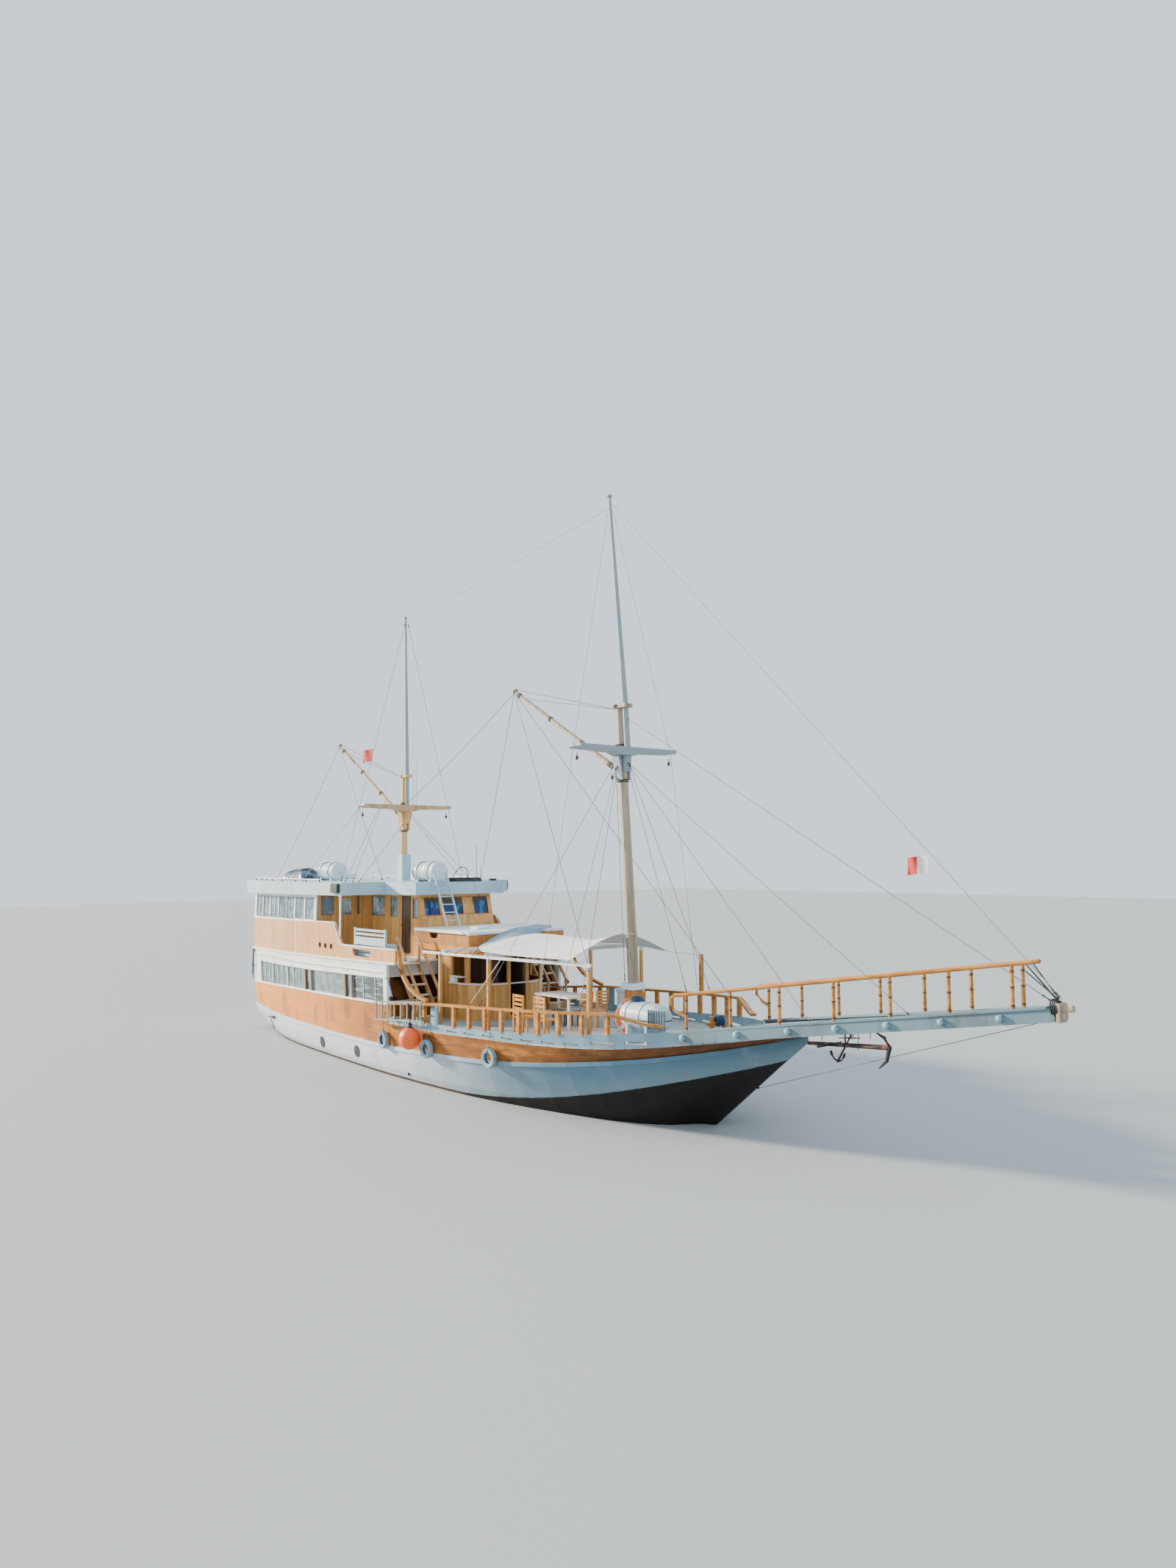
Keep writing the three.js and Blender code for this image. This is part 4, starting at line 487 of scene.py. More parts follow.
# The tyre's section, as (outward, along its axis): tread, then the hollow between its lips.
tyre_section = [(0.045, -0.062), (0.058, -0.03), (0.058, 0.03),
                (0.045, 0.062), (-0.02, 0.062), (-0.05, 0.045),
                (-0.052, 0.030), (-0.01, 0.048), (0.030, 0.030), (0.030, -0.030), (-0.01, -0.048),
                (-0.052, -0.030), (-0.05, -0.045), (-0.02, -0.062)]
tyre_knot = [(0.004, -0.02), (0.018, -0.01), (0.018, 0.012), (0.004, 0.022)]
tyres, tyre_lashings = Work(), Work()
for side in SIDES.values():
    for x, z in TYRES:
        planking = planking_skin["fore_planking" if x > 1.3 else "cabin_planking"]
        place, normal = meet(planking, (x, 0, z + 0.12), (0, -side, 0))
        axis = Vector((normal.x, normal.y, 0)).normalized()
        centre = Vector((x, place.y, z)) + axis * TYRE_STANDOFF
        along = axis.cross(Vector((0, 0, 1)))
        rings = []
        for k in range(TYRE_STEPS + 1):
            t = math.tau * k / TYRE_STEPS
            spoke = along * math.cos(t) + Vector((0, 0, 1)) * math.sin(t)
            rings.append([centre + spoke * (TYRE_RADIUS + a) + axis * b for a, b in tyre_section])
        tyres.skin(rings, caps=False)
        top = centre + Vector((0, 0, TYRE_RADIUS))
        tyre_lashings.hoop(top, along, 0.072, LASHING, 14, 6)
        knot = top + Vector((0, 0, 0.075))
        line = [knot, knot + Vector((0, -side * 0.02, 0.30)), knot + Vector((0, -side * 0.045, 0.52))]
        tyre_lashings.rod(line, LASHING, 6)
        tyre_lashings.turned(knot, (0, 0, 1), tyre_knot, 8)
tyres.make("tyres", tyre_paint, "blue_white_paint")
tyre_lashings.make("tyre_lashings", grey_rope, "wire")

# Underwater metal: a cast bronze screw, and the engine under grey enamel inside the hull.
bronze = Finish("bronze", {"Metallic": 1.0})
bronze.set({
    "Base Color": bronze.mix(bronze.noise(9.0), (0.42, 0.27, 0.11), (0.16, 0.21, 0.15)),
    "Roughness": bronze.noise(22.0) * 0.3 + 0.28,
    "Normal": bronze.relief(bronze.noise(60.0), 0.0006),
})
dress(bronze, "propeller")

enamel = Finish("enamel", {"Coat Weight": 0.3})
enamel.set({
    "Base Color": enamel.mix(enamel.step(enamel.noise(3.0), 0.5, 0.7),
                             (0.16, 0.21, 0.24), (0.07, 0.06, 0.05)),
    "Roughness": enamel.noise(14.0) * 0.3 + 0.35,
    "Normal": enamel.relief(enamel.noise(30.0), 0.001),
})
dress(enamel, "engine")

# White paint on timber: window frames, deck edges, roof and stair treads. It is chalky in patches and grey
# where water runs off.


def white_paint(name, white, grime):
    paint = Finish(name, {"Coat Weight": 0.15, "Coat Roughness": 0.3})
    run = paint.noise(5.0, (1.0, 1.0, 0.12), 4.0)
    patch = paint.noise(0.9, (1, 1, 1), 4.0)
    worn = paint.mix(paint.step(patch, 0.42, 0.70) * 0.6, white, grime)
    worn = paint.mix(paint.step(run, 0.56, 0.74) * 0.35, worn, tuple(0.62 * c for c in grime))
    paint.set({
        "Base Color": worn,
        "Roughness": paint.noise(3.0) * 0.3 + 0.38,
        "Normal": paint.relief(paint.noise(40.0, (0.3, 0.3, 1)), 0.0012),
    })
    return paint


trim_white = white_paint("trim_white", (0.86, 0.87, 0.86), (0.62, 0.68, 0.71))
blue_white = white_paint("blue_white", (0.23, 0.38, 0.47), (0.13, 0.24, 0.31))
# Painted shade: the white of the roof and the things dressed with it is given a blue-grey, the shade its
# forward edges lie in.
roof_white_in_shade = white_paint("roof_white_in_shade", (0.40, 0.56, 0.66), (0.26, 0.41, 0.50))
# Painted shade: the bow platform's pale paint is given a dark blue-grey for the shade it lies in.
platform_paint_in_shade = white_paint("platform_paint_in_shade", (0.13, 0.23, 0.28), (0.09, 0.10, 0.09))
ladder_grey = white_paint("ladder_grey", (0.22, 0.25, 0.24), (0.10, 0.11, 0.105))
dress(trim_white, "cabin_window_band", "upper_deck", "aft_saloon", "table")
dress(roof_white_in_shade, "roof", "aft_mast_box", "roof_ladder", "bench_starboard")
dress(platform_paint_in_shade, "bow_platform")
dress(blue_white, "toe_rail_starboard", "toe_rail_port")
dress(ladder_grey, "boarding_ladder")

# Planking: teak-like boards along the hull, oiled, with dark seams and a row of wooden bungs over the nails
# of each. They are pale aft, which is painted sunlight and glare, and darker towards the bow, which is partly
# darker wood and partly painted shade. The bulwark of the upper deck is of narrow upright boards, paler aft
# where sunlight on them is painted in.


def timber(finish, light, dark, grain_axis, fine=9.0):
    """Grain along one axis, from light to dark."""
    stretch = tuple(0.05 if axis == grain_axis else 1.0 for axis in "xyz")
    figure = finish.noise(fine, stretch, 5.0)
    streak = finish.noise(fine * 5, stretch, 2.0)
    return finish.mix(finish.step(figure * 0.7 + streak * 0.3, 0.36, 0.66), light, dark)


PLANK = 0.155
BUNG_PITCH = 0.42
planks = Finish("strake_planks", {"Coat Weight": 0.08, "Coat Roughness": 0.35, "Specular IOR Level": 0.25})
up = above_sheer(planks)
plank_colour = timber(planks, (0.38, 0.130, 0.012), (0.17, 0.046, 0.004), "x")
# Painted light: the pale colour aft stands for sunlight and glare on the planks.
painted_sunlit_pale = planks.mix(planks.noise(1.2, (0.4, 1, 1)), (1.0, 0.43, 0.085), (0.92, 0.27, 0.02))
aft = 1 - planks.step(planks.x, -6.0, 3.2)
plank_colour = planks.mix(aft * 0.92, plank_colour, painted_sunlit_pale)
plank_colour = planks.mix(planks.board(up, PLANK) * 0.22, plank_colour, (0.40, 0.15, 0.035))
# Darker towards the bow: partly darker wood, partly painted shade where the bow is out of the sun.
bow = planks.step(planks.x + (planks.noise(1.5, (0.5, 1, 2)) - 0.5) * 3.0, 6.5, 12.0)
plank_colour = planks.mix(bow * 0.9, plank_colour, (0.075, 0.030, 0.014))
stain = planks.step(planks.noise(2.2, (0.7, 1.0, 0.5), 5.0), 0.50, 0.68)
plank_colour = planks.mix(stain * 0.50, plank_colour, (0.16, 0.055, 0.012))
golden = planks.step(planks.noise(3.1, (0.35, 1.0, 1.4), 4.0), 0.52, 0.70)
plank_colour = planks.mix(golden * (1 - bow) * 0.45, plank_colour, (0.66, 0.30, 0.05))
column = ((planks.x / BUNG_PITCH).math("FRACT") - 0.5) * BUNG_PITCH
row = ((up / PLANK).math("FRACT") - 0.5) * PLANK
bung = 1 - planks.step((column * column + row * row).math("SQRT"), 0.013, 0.021)
oiled = planks.step(planks.x, 0.5, 2.5)
plank_colour = planks.mix(bung * oiled * 0.45, plank_colour, (0.05, 0.024, 0.012))
plank_seams = planks.seam(up, PLANK, 0.009)
plank_colour = planks.mix(plank_seams * (oiled * 0.35 + 0.12), plank_colour, (0.09, 0.040, 0.015))
planks.set({
    "Base Color": plank_colour,
    "Roughness": planks.noise(7.0) * 0.3 + 0.38,
    "Normal": planks.relief(
        planks.noise(30.0, (0.05, 1, 1)) * 0.25 - plank_seams * (oiled * 0.5 + 0.3) - bung * 0.3, 0.003),
})
dress(planks, "cabin_planking", "fore_planking")

BOARD = 0.095
boards = Finish("upright_boards", {"Coat Weight": 0.05, "Coat Roughness": 0.4, "Specular IOR Level": 0.25})
board_colour = timber(boards, (0.86, 0.53, 0.27), (0.68, 0.33, 0.12), "z")
board_tone = boards.board(boards.x, BOARD)
board_colour = boards.mix(board_tone * 0.55, board_colour, (0.50, 0.23, 0.08))
# Painted light: the boards are pale aft where sunlight grazes them, and deeper orange towards the bow, out of
# it.
painted_shade_towards_bow = boards.step(boards.x, -7.0, 1.0)
board_colour = boards.mix(painted_shade_towards_bow * 0.35, board_colour, (0.66, 0.32, 0.10))
board_seams = boards.seam(boards.x, BOARD, 0.008)
board_colour = boards.mix(board_seams * 0.55, board_colour, (0.18, 0.09, 0.05))
boards.set({
    "Base Color": board_colour,
    "Roughness": boards.noise(9.0) * 0.25 + 0.42,
    "Normal": boards.relief(boards.noise(30.0, (1, 1, 0.05)) * 0.2 - board_seams, 0.004),
})
dress(boards, "upper_planking")

# Foredeck: planks laid fore and aft under worn pale blue-grey deck paint, rubbed down to the silvered wood
# where feet pass, with black caulking in the joints.
DECK_PLANK = 0.11
deck_boards = Finish("deck_boards", {})
deck_grain = timber(deck_boards, (0.42, 0.38, 0.32), (0.26, 0.22, 0.17), "x")
deck_paint = deck_boards.mix(deck_boards.noise(1.4), (0.46, 0.55, 0.60), (0.34, 0.42, 0.47))
rubbed = deck_boards.step(deck_boards.noise(1.7, (0.5, 1, 1), 6.0), 0.54, 0.66)
deck_colour = deck_boards.mix(rubbed * 0.8, deck_paint, deck_grain)
deck_tone = deck_boards.board(deck_boards.y, DECK_PLANK)
deck_colour = deck_boards.mix(deck_tone * 0.25, deck_colour, (0.22, 0.22, 0.20))
caulking = deck_boards.seam(deck_boards.y, DECK_PLANK, 0.007)
deck_boards.set({
    "Base Color": deck_boards.mix(caulking * 0.8, deck_colour, (0.03, 0.03, 0.028)),
    "Roughness": deck_boards.noise(6.0) * 0.25 + 0.55,
    "Normal": deck_boards.relief(deck_boards.noise(25.0, (0.05, 1, 1)) * 0.3 - caulking, 0.004),
})
dress(deck_boards, "fore_deck")

# Varnished hardwood: cabin walls, rails and posts, glossy orange-brown with darker rubs and water marks. The
# walls are of narrow upright boards.


def varnish(name, grain_axis, light, dark, pitch=0.0, across="x", paint=()):
    """Varnished boards; paint gives (from, to, colour) bands of height that are painted over them."""
    wood = Finish(name, {"Coat Weight": 0.15, "Coat Roughness": 0.25, "Specular IOR Level": 0.3})
    colour = timber(wood, light, dark, grain_axis)
    mark = wood.noise(3.2, (1, 1, 1), 5.0)
    colour = wood.mix(wood.step(mark, 0.58, 0.76) * 0.45, colour, (0.15, 0.06, 0.022))
    height = wood.noise(35.0, tuple(0.05 if axis == grain_axis else 1 for axis in "xyz")) * 0.3
    if pitch:
        over = getattr(wood, across)
        joints = wood.seam(over, pitch, 0.006)
        colour = wood.mix(wood.board(over, pitch) * 0.35, colour, (0.30, 0.125, 0.04))
        colour = wood.mix(joints * 0.7, colour, (0.07, 0.03, 0.012))
        height = height - joints
    for low, high, painted in paint:
        above_foot = wood.step(wood.z, low - 0.002, low + 0.002)
        coated = above_foot * (1 - wood.step(wood.z, high - 0.002, high + 0.002))
        worn = wood.step(wood.noise(4.0, (1, 1, 1), 4.0), 0.45, 0.7)
        chalk = wood.mix(worn * 0.3, painted, (0.42, 0.46, 0.48))
        colour = wood.mix(coated, colour, chalk)
    wood.set({
        "Base Color": colour,
        "Roughness": wood.noise(8.0) * 0.22 + 0.30,
        "Normal": wood.relief(height, 0.002),
    })
    return wood


PALE = (0.78, 0.89, 0.96)
cabin_varnish = varnish("cabin_varnish", "z", (0.95, 0.54, 0.19), (0.74, 0.34, 0.08), pitch=0.14)
upright_varnish = varnish("upright_varnish", "z", (0.80, 0.45, 0.15), (0.50, 0.22, 0.05), pitch=0.14)
athwart_varnish = varnish("athwart_varnish", "z", (0.92, 0.54, 0.21), (0.72, 0.36, 0.11), pitch=0.14,
                          across="y")
rail_varnish = varnish("rail_varnish", "x", (0.56, 0.26, 0.055), (0.36, 0.125, 0.016))
post_varnish = varnish("post_varnish", "z", (0.56, 0.26, 0.055), (0.36, 0.13, 0.016))
chair_varnish = varnish("chair_varnish", "z", (0.84, 0.40, 0.08), (0.62, 0.24, 0.03))
box_boards = varnish("box_boards", "z", (0.62, 0.29, 0.065), (0.42, 0.155, 0.025), pitch=0.12,
                     paint=[(4.0, 4.2, PALE), (3.49, 3.66, (0.72, 0.27, 0.02))])
mast_box_paint = varnish("mast_box_paint", "z", (0.60, 0.27, 0.06), (0.40, 0.15, 0.025),
                         paint=[(2.83, 3.1, PALE)])
awning_wood = varnish("awning_wood", "z", (0.64, 0.36, 0.12), (0.46, 0.22, 0.06),
                      paint=[(3.5, 3.8, (0.80, 0.82, 0.82))])
spar_varnish = varnish("spar_varnish", "z", (0.78, 0.48, 0.22), (0.60, 0.32, 0.11))
stair_wood = varnish("stair_wood", "z", (0.56, 0.34, 0.16), (0.38, 0.21, 0.09))
dress(cabin_varnish, "upper_cabin", "wheelhouse")
dress(upright_varnish, "saloon_walls")
dress(athwart_varnish, "saloon_bulkhead", "saloon_door")
dress(rail_varnish, "bulwark_rail_starboard", "bulwark_rail_port", "bow_rail_starboard", "bow_rail_port")
dress(box_boards, "saloon_roof")
dress(awning_wood, "awning_frame")
dress(chair_varnish, "chair_aft", "chair_fore")
dress(mast_box_paint, "main_mast_box")
dress(spar_varnish, "aft_mast")
dress(stair_wood, "stair_starboard", "stair_port")

dark_wood = varnish("dark_wood", "z", (0.12, 0.075, 0.045), (0.06, 0.032, 0.02))
# The wheelhouse doors are very dark: partly dark wood, partly painted shade, as they stand in the shade of
# the roof.
dress(dark_wood, "wheelhouse_door_starboard", "wheelhouse_door_port")

# Main cabin windows: long panes set into the white band between planked wall and upper deck, seven openings
# a side. The glass is pale with painted reflections of the sky, and pleated white curtains hang behind the
# after three.
CABIN_WINDOWS = [(-9.55, -7.98), (-7.92, -6.36), (-6.30, -4.69), (-4.61, -4.13), (-4.05, -1.50),
                 (-1.42, -0.99), (-0.91, 1.08)]
SILL = [(-10.6, 1.70), (-9.25, 1.755), (-7.4, 1.83), (-5.6, 1.885), (-2.0, 1.965), (0.5, 2.025), (1.3, 2.04)]
HEAD = [(-10.6, 2.505), (-9.28, 2.522), (-4.09, 2.607), (-0.98, 2.698), (1.34, 2.762)]
SILL_BOARD = 0.035
OPENING_EDGE = 0.014  # a wall is met this far past an opening's edge


def read(table, x):
    """A value between the rows of a table of (x, value)."""
    for (x0, a), (x1, b) in zip(table, table[1:]):
        if x <= x1 or (x1, b) == table[-1]:
            return a + (b - a) * (x - x0) / (x1 - x0)


def wall_point(faces, across, z, inward, beyond):
    """A point of a wall's outer face; beyond moves the search off an opening's edge."""
    start = (across, 0, z + beyond) if inward[1] else (0, across, z + beyond)
    place, _ = meet(faces, start, inward)
    return Vector((place.x, place.y, z))


def pane(work, faces, across, heights, inward, back=0.045, thick=0.006):
    """A sheet of glass in an opening from across[0] to across[1]; heights gives its foot and head there."""
    corners = []
    for u, head in ((across[0], 0), (across[1], 0), (across[1], 1), (across[0], 1)):
        z = heights(u)[head]
        place = wall_point(faces, u, z, inward, OPENING_EDGE if head else -OPENING_EDGE)
        corners.append(place + Vector(inward) * back)
    work.panel(corners, Vector(inward) * thick)
    return corners


def upright(faces, across, foot, head, inward, back):
    """The ends of a post that stands in an opening, set back from the wall's face."""
    return [wall_point(faces, across, z, inward, beyond) + Vector(inward) * back
            for z, beyond in ((foot, -OPENING_EDGE), (head, OPENING_EDGE))]


def glass(name, color, shade, alpha, streak=(1, 1, 1), low=0.45, high=0.65):
    sheet = Finish(name, {"Coat Weight": 0.25, "Coat Roughness": 0.02, "IOR": 1.4})
    # Painted reflection: the two colours, mixed in ripples, stand for sky reflected in the glass.
    wave = sheet.step(sheet.noise(3.0, streak, 4.0), low, high)
    sheet.set({
        "Base Color": sheet.mix(wave, color, shade),
        "Roughness": sheet.noise(6.0) * 0.10 + 0.03,
        "Alpha": wave * (1 - alpha) * 0.4 + alpha,
        "Normal": sheet.relief(sheet.noise(1.2), 0.004),
    })
    return sheet


cloth_white = Finish("cloth_white", {"Sheen Weight": 0.2})
cloth_white.set({
    "Base Color": cloth_white.mix(cloth_white.noise(3.0, (1, 1, 0.2)),
                                  (0.80, 0.82, 0.82), (0.62, 0.66, 0.68)),
    "Roughness": cloth_white.noise(40.0) * 0.1 + 0.8,
    "Normal": cloth_white.relief((cloth_white.z * 1400).math("SINE"), 0.0004),
})


TIE_HEIGHT = 0.38  # of the curtain's drop
TIE_WIDTH = 0.16   # of its full width
CURTAIN_ROWS, COLUMNS_A_PLEAT = 12, 6


def grid_faces(rows, columns):
    """Faces over points that are listed row by row."""
    corners = [r * (columns + 1) + k for r in range(rows) for k in range(columns)]
    return [(a, a + 1, a + columns + 2, a + columns + 1) for a in corners]


def cloth(name, points, rows, columns, finish):
    """A sheet through rows of points, fixed to the boat. Gives the piece and its area."""
    mesh = bpy.data.meshes.new(name)
    mesh.from_pydata(points, [], grid_faces(rows, columns))
    mesh.shade_smooth()
    mesh.materials.append(finish.material)
    piece = bpy.data.objects.new(name, mesh)
    bpy.context.scene.collection.objects.link(piece)
    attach(piece, "boat")
    return piece, sum(face.area for face in mesh.polygons)


def curtain(name, corners, inward, pleats, depth, tied=None):
    """A pleated curtain inside a pane's corners; tied is the end, 0 or 1, that it is drawn back to."""
    a, b, c, d = [Vector(corner) + Vector(inward) * 0.05 for corner in corners]
    columns = pleats * COLUMNS_A_PLEAT
    points = []
    for r in range(CURTAIN_ROWS + 1):
        v = r / CURTAIN_ROWS
        above = max(0.0, (v - TIE_HEIGHT) / (1 - TIE_HEIGHT))
        drawn_in = TIE_WIDTH + (1 - TIE_WIDTH) * above ** 1.25 + 0.08 * max(0.0, TIE_HEIGHT - v)
        for k in range(columns + 1):
            u = k / columns
            across = u if tied is None else tied + (u - tied) * drawn_in
            fold = math.sin(math.tau * pleats * u + 0.6 * math.sin(3.1 * v)) * depth * (1.15 - 0.4 * v)
            points.append((a.lerp(b, across)).lerp(d.lerp(c, across), v) + Vector(inward) * fold)
    piece, area = cloth(name, points, CURTAIN_ROWS, columns, cloth_white)


# Both are painted with reflections of the sky.
sky_reflection_glass = glass("sky_reflection_glass", (0.17, 0.27, 0.31), (0.30, 0.40, 0.44), 0.72)
rippled_reflection_glass = glass("rippled_reflection_glass", (0.02, 0.055, 0.07), (0.20, 0.30, 0.33), 0.90, (0.5, 1, 3.0), 0.48, 0.58)
CURTAINED = 3  # windows from aft that have a curtain
MOULDING_STATIONS = (-10.55, -9.3, -8.2, -7.0, -5.8, -4.4, -3.0, -1.8, -0.6, 0.5, 1.28)
PANE_POSTS = (-9.0, -8.45, -7.4, -6.85, -5.75, -5.2, -0.25, 0.52)
band_skin = surface("cabin_window_band")
for name, side in SIDES.items():
    inward = (0, -side, 0)
    window_foot_head = lambda x: (read(SILL, x) + SILL_BOARD, read(HEAD, x))
    main_panes, fore_panes, frames = Work(), Work(), Work()
    for k, (x0, x1) in enumerate(CABIN_WINDOWS):
        corners = pane(fore_panes if k == 6 else main_panes, band_skin, (x0, x1), window_foot_head, inward)
        if k < CURTAINED:
            curtain(f"cabin_curtain_{name}_{k}", corners, inward, 13, 0.010)
    main_panes.make("cabin_glass_" + name, sky_reflection_glass, "white_paint")
    fore_panes.make("cabin_fore_glass_" + name, rippled_reflection_glass, "white_paint")

    # Timber sill and head mouldings run the cabin's whole length, and slim posts stand between the panes.
    for table, off, beyond, width in ((SILL, 0.0, 0.03, 0.05), (HEAD, 0.03, 0.02, 0.045)):
        path = []
        for x in MOULDING_STATIONS:
            place = wall_point(band_skin, x, read(table, x) + off, inward, beyond)
            path.append(place - Vector(inward) * 0.012)
        frames.bar(path, 0.042, width)
    for x in PANE_POSTS:
        foot, head = window_foot_head(x)
        frames.bar(upright(band_skin, x, foot, head, inward, 0.035), 0.02, 0.024)
    frames.make("cabin_mouldings_" + name, trim_white, "white_paint")

    # Bare posts beside the two narrow lights, with a dark strip along each that is painted shade in its open
    # joint.
    posts, joints = Work(), Work()
    for x0, x1 in (CABIN_WINDOWS[3], CABIN_WINDOWS[5]):
        for x, work, width in ((x0 - 0.045, posts, 0.06), (x1 - 0.01, posts, 0.055),
                               (x0 + 0.035, joints, 0.05), (x1 + 0.065, joints, 0.07)):
            foot, head = window_foot_head(x)
            work.bar(upright(band_skin, x, foot, head, inward, 0.006), 0.03, width)
    posts.make("cabin_posts_" + name, post_varnish, "varnish")
    joints.make("cabin_post_joints_" + name, dark_wood, "dark_wood")

# A handrail of thin white pipe runs along the main cabin above its windows, on short uprights that stand on
# the window head. It stops short of the stern.
HAND_RAIL = [(-9.6, 2.79), (-7.5, 2.82), (-4.2, 2.84), (-0.4, 2.93), (0.95, 2.94)]
RAIL_AFT, RAIL_FORE, RAIL_STEPS = -9.6, 0.95, 14
RAIL_STANDOFF = 0.075
pipe_white = moulded("pipe_white", (0.80, 0.83, 0.84), (0.55, 0.58, 0.58), 0.35)
for name, side in SIDES.items():
    inward = Vector((0, -side, 0))
    rail = Work()
    path = []
    for k in range(RAIL_STEPS + 1):
        x = RAIL_AFT + (RAIL_FORE - RAIL_AFT) * k / RAIL_STEPS
        path.append(wall_point(band_skin, x, read(HAND_RAIL, x), inward, 0) - inward * RAIL_STANDOFF)
    rail.rod(path, 0.013)
    for k in range(7):
        x = -9.1 + 1.62 * k
        wall = wall_point(band_skin, x, read(HAND_RAIL, x), inward, 0)
        foot = wall_point(band_skin, x, read(HEAD, x) + 0.05, inward, 0)
        rail.rod([wall - inward * RAIL_STANDOFF, foot - inward * 0.06, foot + inward * 0.02], 0.009, 6)
    rail.make("cabin_handrail_" + name, pipe_white, "white_paint")

# Stern: three lights between the quarter timbers, each a pane in a white frame, an iron bracket under the
# beam shelf with a small lamp on it, and a hank of blue mooring rope that hangs at each quarter.
STERN_FOOT, STERN_HEAD, STERN_HALF_WIDTH = 1.86, 2.46, 0.42
ASTERN_IN = (1, 0, 0)
stern_panes, stern_frames = Work(), Work()
for middle in (-1.25, 0.0, 1.25):
    y0, y1 = middle - STERN_HALF_WIDTH, middle + STERN_HALF_WIDTH
    pane(stern_panes, band_skin, (y0, y1), lambda y: (STERN_FOOT, STERN_HEAD), ASTERN_IN, 0.04)
    corners = [wall_point(band_skin, y, z, ASTERN_IN, beyond)
               for y, z, beyond in ((y0, STERN_FOOT, -0.02), (y1, STERN_FOOT, -0.02),
                                    (y1, STERN_HEAD, 0.02), (y0, STERN_HEAD, 0.02))]
    stern_frames.frame(corners, Vector((-0.008, 0, 0)), 0.04, 0.055)
stern_panes.make("stern_glass", sky_reflection_glass, "white_paint")
stern_frames.make("stern_frames", trim_white, "white_paint")

blue_rope = rope("blue_rope", (0.02, 0.10, 0.26), (0.03, 0.05, 0.10), 220, 0.002)
hank_peg = [(0.005, -0.03), (0.045, -0.025), (0.045, 0.025), (0.005, 0.06)]
for name, side in SIDES.items():
    corner, _ = meet(band_skin, (-10.45, 0, 2.9), (0, -side, 0))
    y = corner.y + side * 0.05
    hank = Work()
    for k, spread in enumerate((-0.035, 0.0, 0.035)):
        low = 1.95 + 0.12 * k
        hank.rod([(-10.45 + spread, y, 2.82), (-10.46 + spread, y + side * 0.01, 2.5),
                  (-10.44 + spread, y + side * 0.015, low),
                  (-10.43 + spread * 0.4, y + side * 0.01, low - 0.12)], 0.017, 7)
    hank.turned((-10.45, y, 2.84), (0, -side, 0), hank_peg, 10)
    hank.hoop((-10.44, y + side * 0.01, 2.30), (0, 0, 1), 0.055, 0.014, 14, 6)
    hank.make("quarter_rope_" + name, blue_rope, "tarp")

bracket = Work()
place, normal = meet(hull_skin, (-8.28, 0, 0.66), (0, 1, 0))
foot, _ = meet(hull_skin, (-8.38, 0, 0.20), (0, 1, 0))
knee = place + normal * 0.09
lamp_end = knee + Vector((0.38, -0.03, 0.03))
bracket.rod([place - normal * 0.02, knee], 0.022)
bracket.rod([knee + Vector((-0.30, 0.03, -0.02)), lamp_end], 0.017)
bracket.rod([knee, foot + normal * 0.03], 0.013)
bracket.turned(lamp_end, (1, 0, 0), [(0.01, -0.03), (0.035, -0.02), (0.04, 0.04), (0.01, 0.05)], 12)
bracket.make("stern_bracket", rusty_iron, "iron")

# Bulwark of the upper deck: a white capping board goes along its top, down the slope and on to the stairs,
# and an iron ring lines each of the three small ports.
BULWARK_TOP = [(-10.6, 4.03), (-2.2, 4.187), (-1.66, 3.53), (1.9, 3.57)]
BULWARK_PORTS, BULWARK_PORT_HEIGHT = (-3.28, -2.84, -2.40), 3.46
bulwark_skin = surface("upper_planking")
for name, side in SIDES.items():
    inward = Vector((0, -side, 0))
    cap, rings = Work(), Work()
    path = []
    for x in (-10.54, -9.4, -8.2, -7.0, -5.8, -4.6, -3.4, -2.24, -1.94, -1.64, -1.0, 0.0, 1.0, 1.82):
        place = wall_point(bulwark_skin, x, read(BULWARK_TOP, x), inward, -0.31)
        path.append(place + inward * 0.022 + Vector((0, 0, 0.020)))
    cap.bar(path[:8], 0.075, 0.035)
    cap.bar(path[7:], 0.10, 0.045)
    cap.make("bulwark_cap_" + name, trim_white, "white_paint")
    for x in BULWARK_PORTS:
        place = wall_point(bulwark_skin, x, BULWARK_PORT_HEIGHT, inward, 0.10)
        rings.hoop(place - inward * 0.004, inward, 0.078, 0.011, 20, 6)
        rings.hoop(place + inward * 0.02, inward, 0.066, 0.014, 20, 6)
    rings.make("bulwark_port_rings_" + name, rusty_iron, "iron")

# Stern saloon on the upper deck: clear panes between white posts, six a side and four across the stern. The
# white curtains inside are tied back, each to one post.
SALOON_WINDOWS = [(-10.30, -9.30), (-9.22, -8.33), (-8.23, -7.29), (-7.21, -5.64), (-5.54, -4.74),
                  (-4.64, -3.86)]
SALOON_TIES, STERN_TIES = [0, 1, 0, 1, 1, 0], [1, 0, 1, 0]  # the end of each curtain that is tied back
WIDE_PANE = 0.85  # a wider opening has a post at its middle
clear_glass = glass("clear_glass", (0.22, 0.36, 0.42), (0.42, 0.54, 0.59), 0.38)
saloon_skin = surface("aft_saloon")


def saloon_heights(x):
    return read(BULWARK_TOP, x) + 0.06, 4.96 + (x + 10.6) * 0.0085 - 0.075


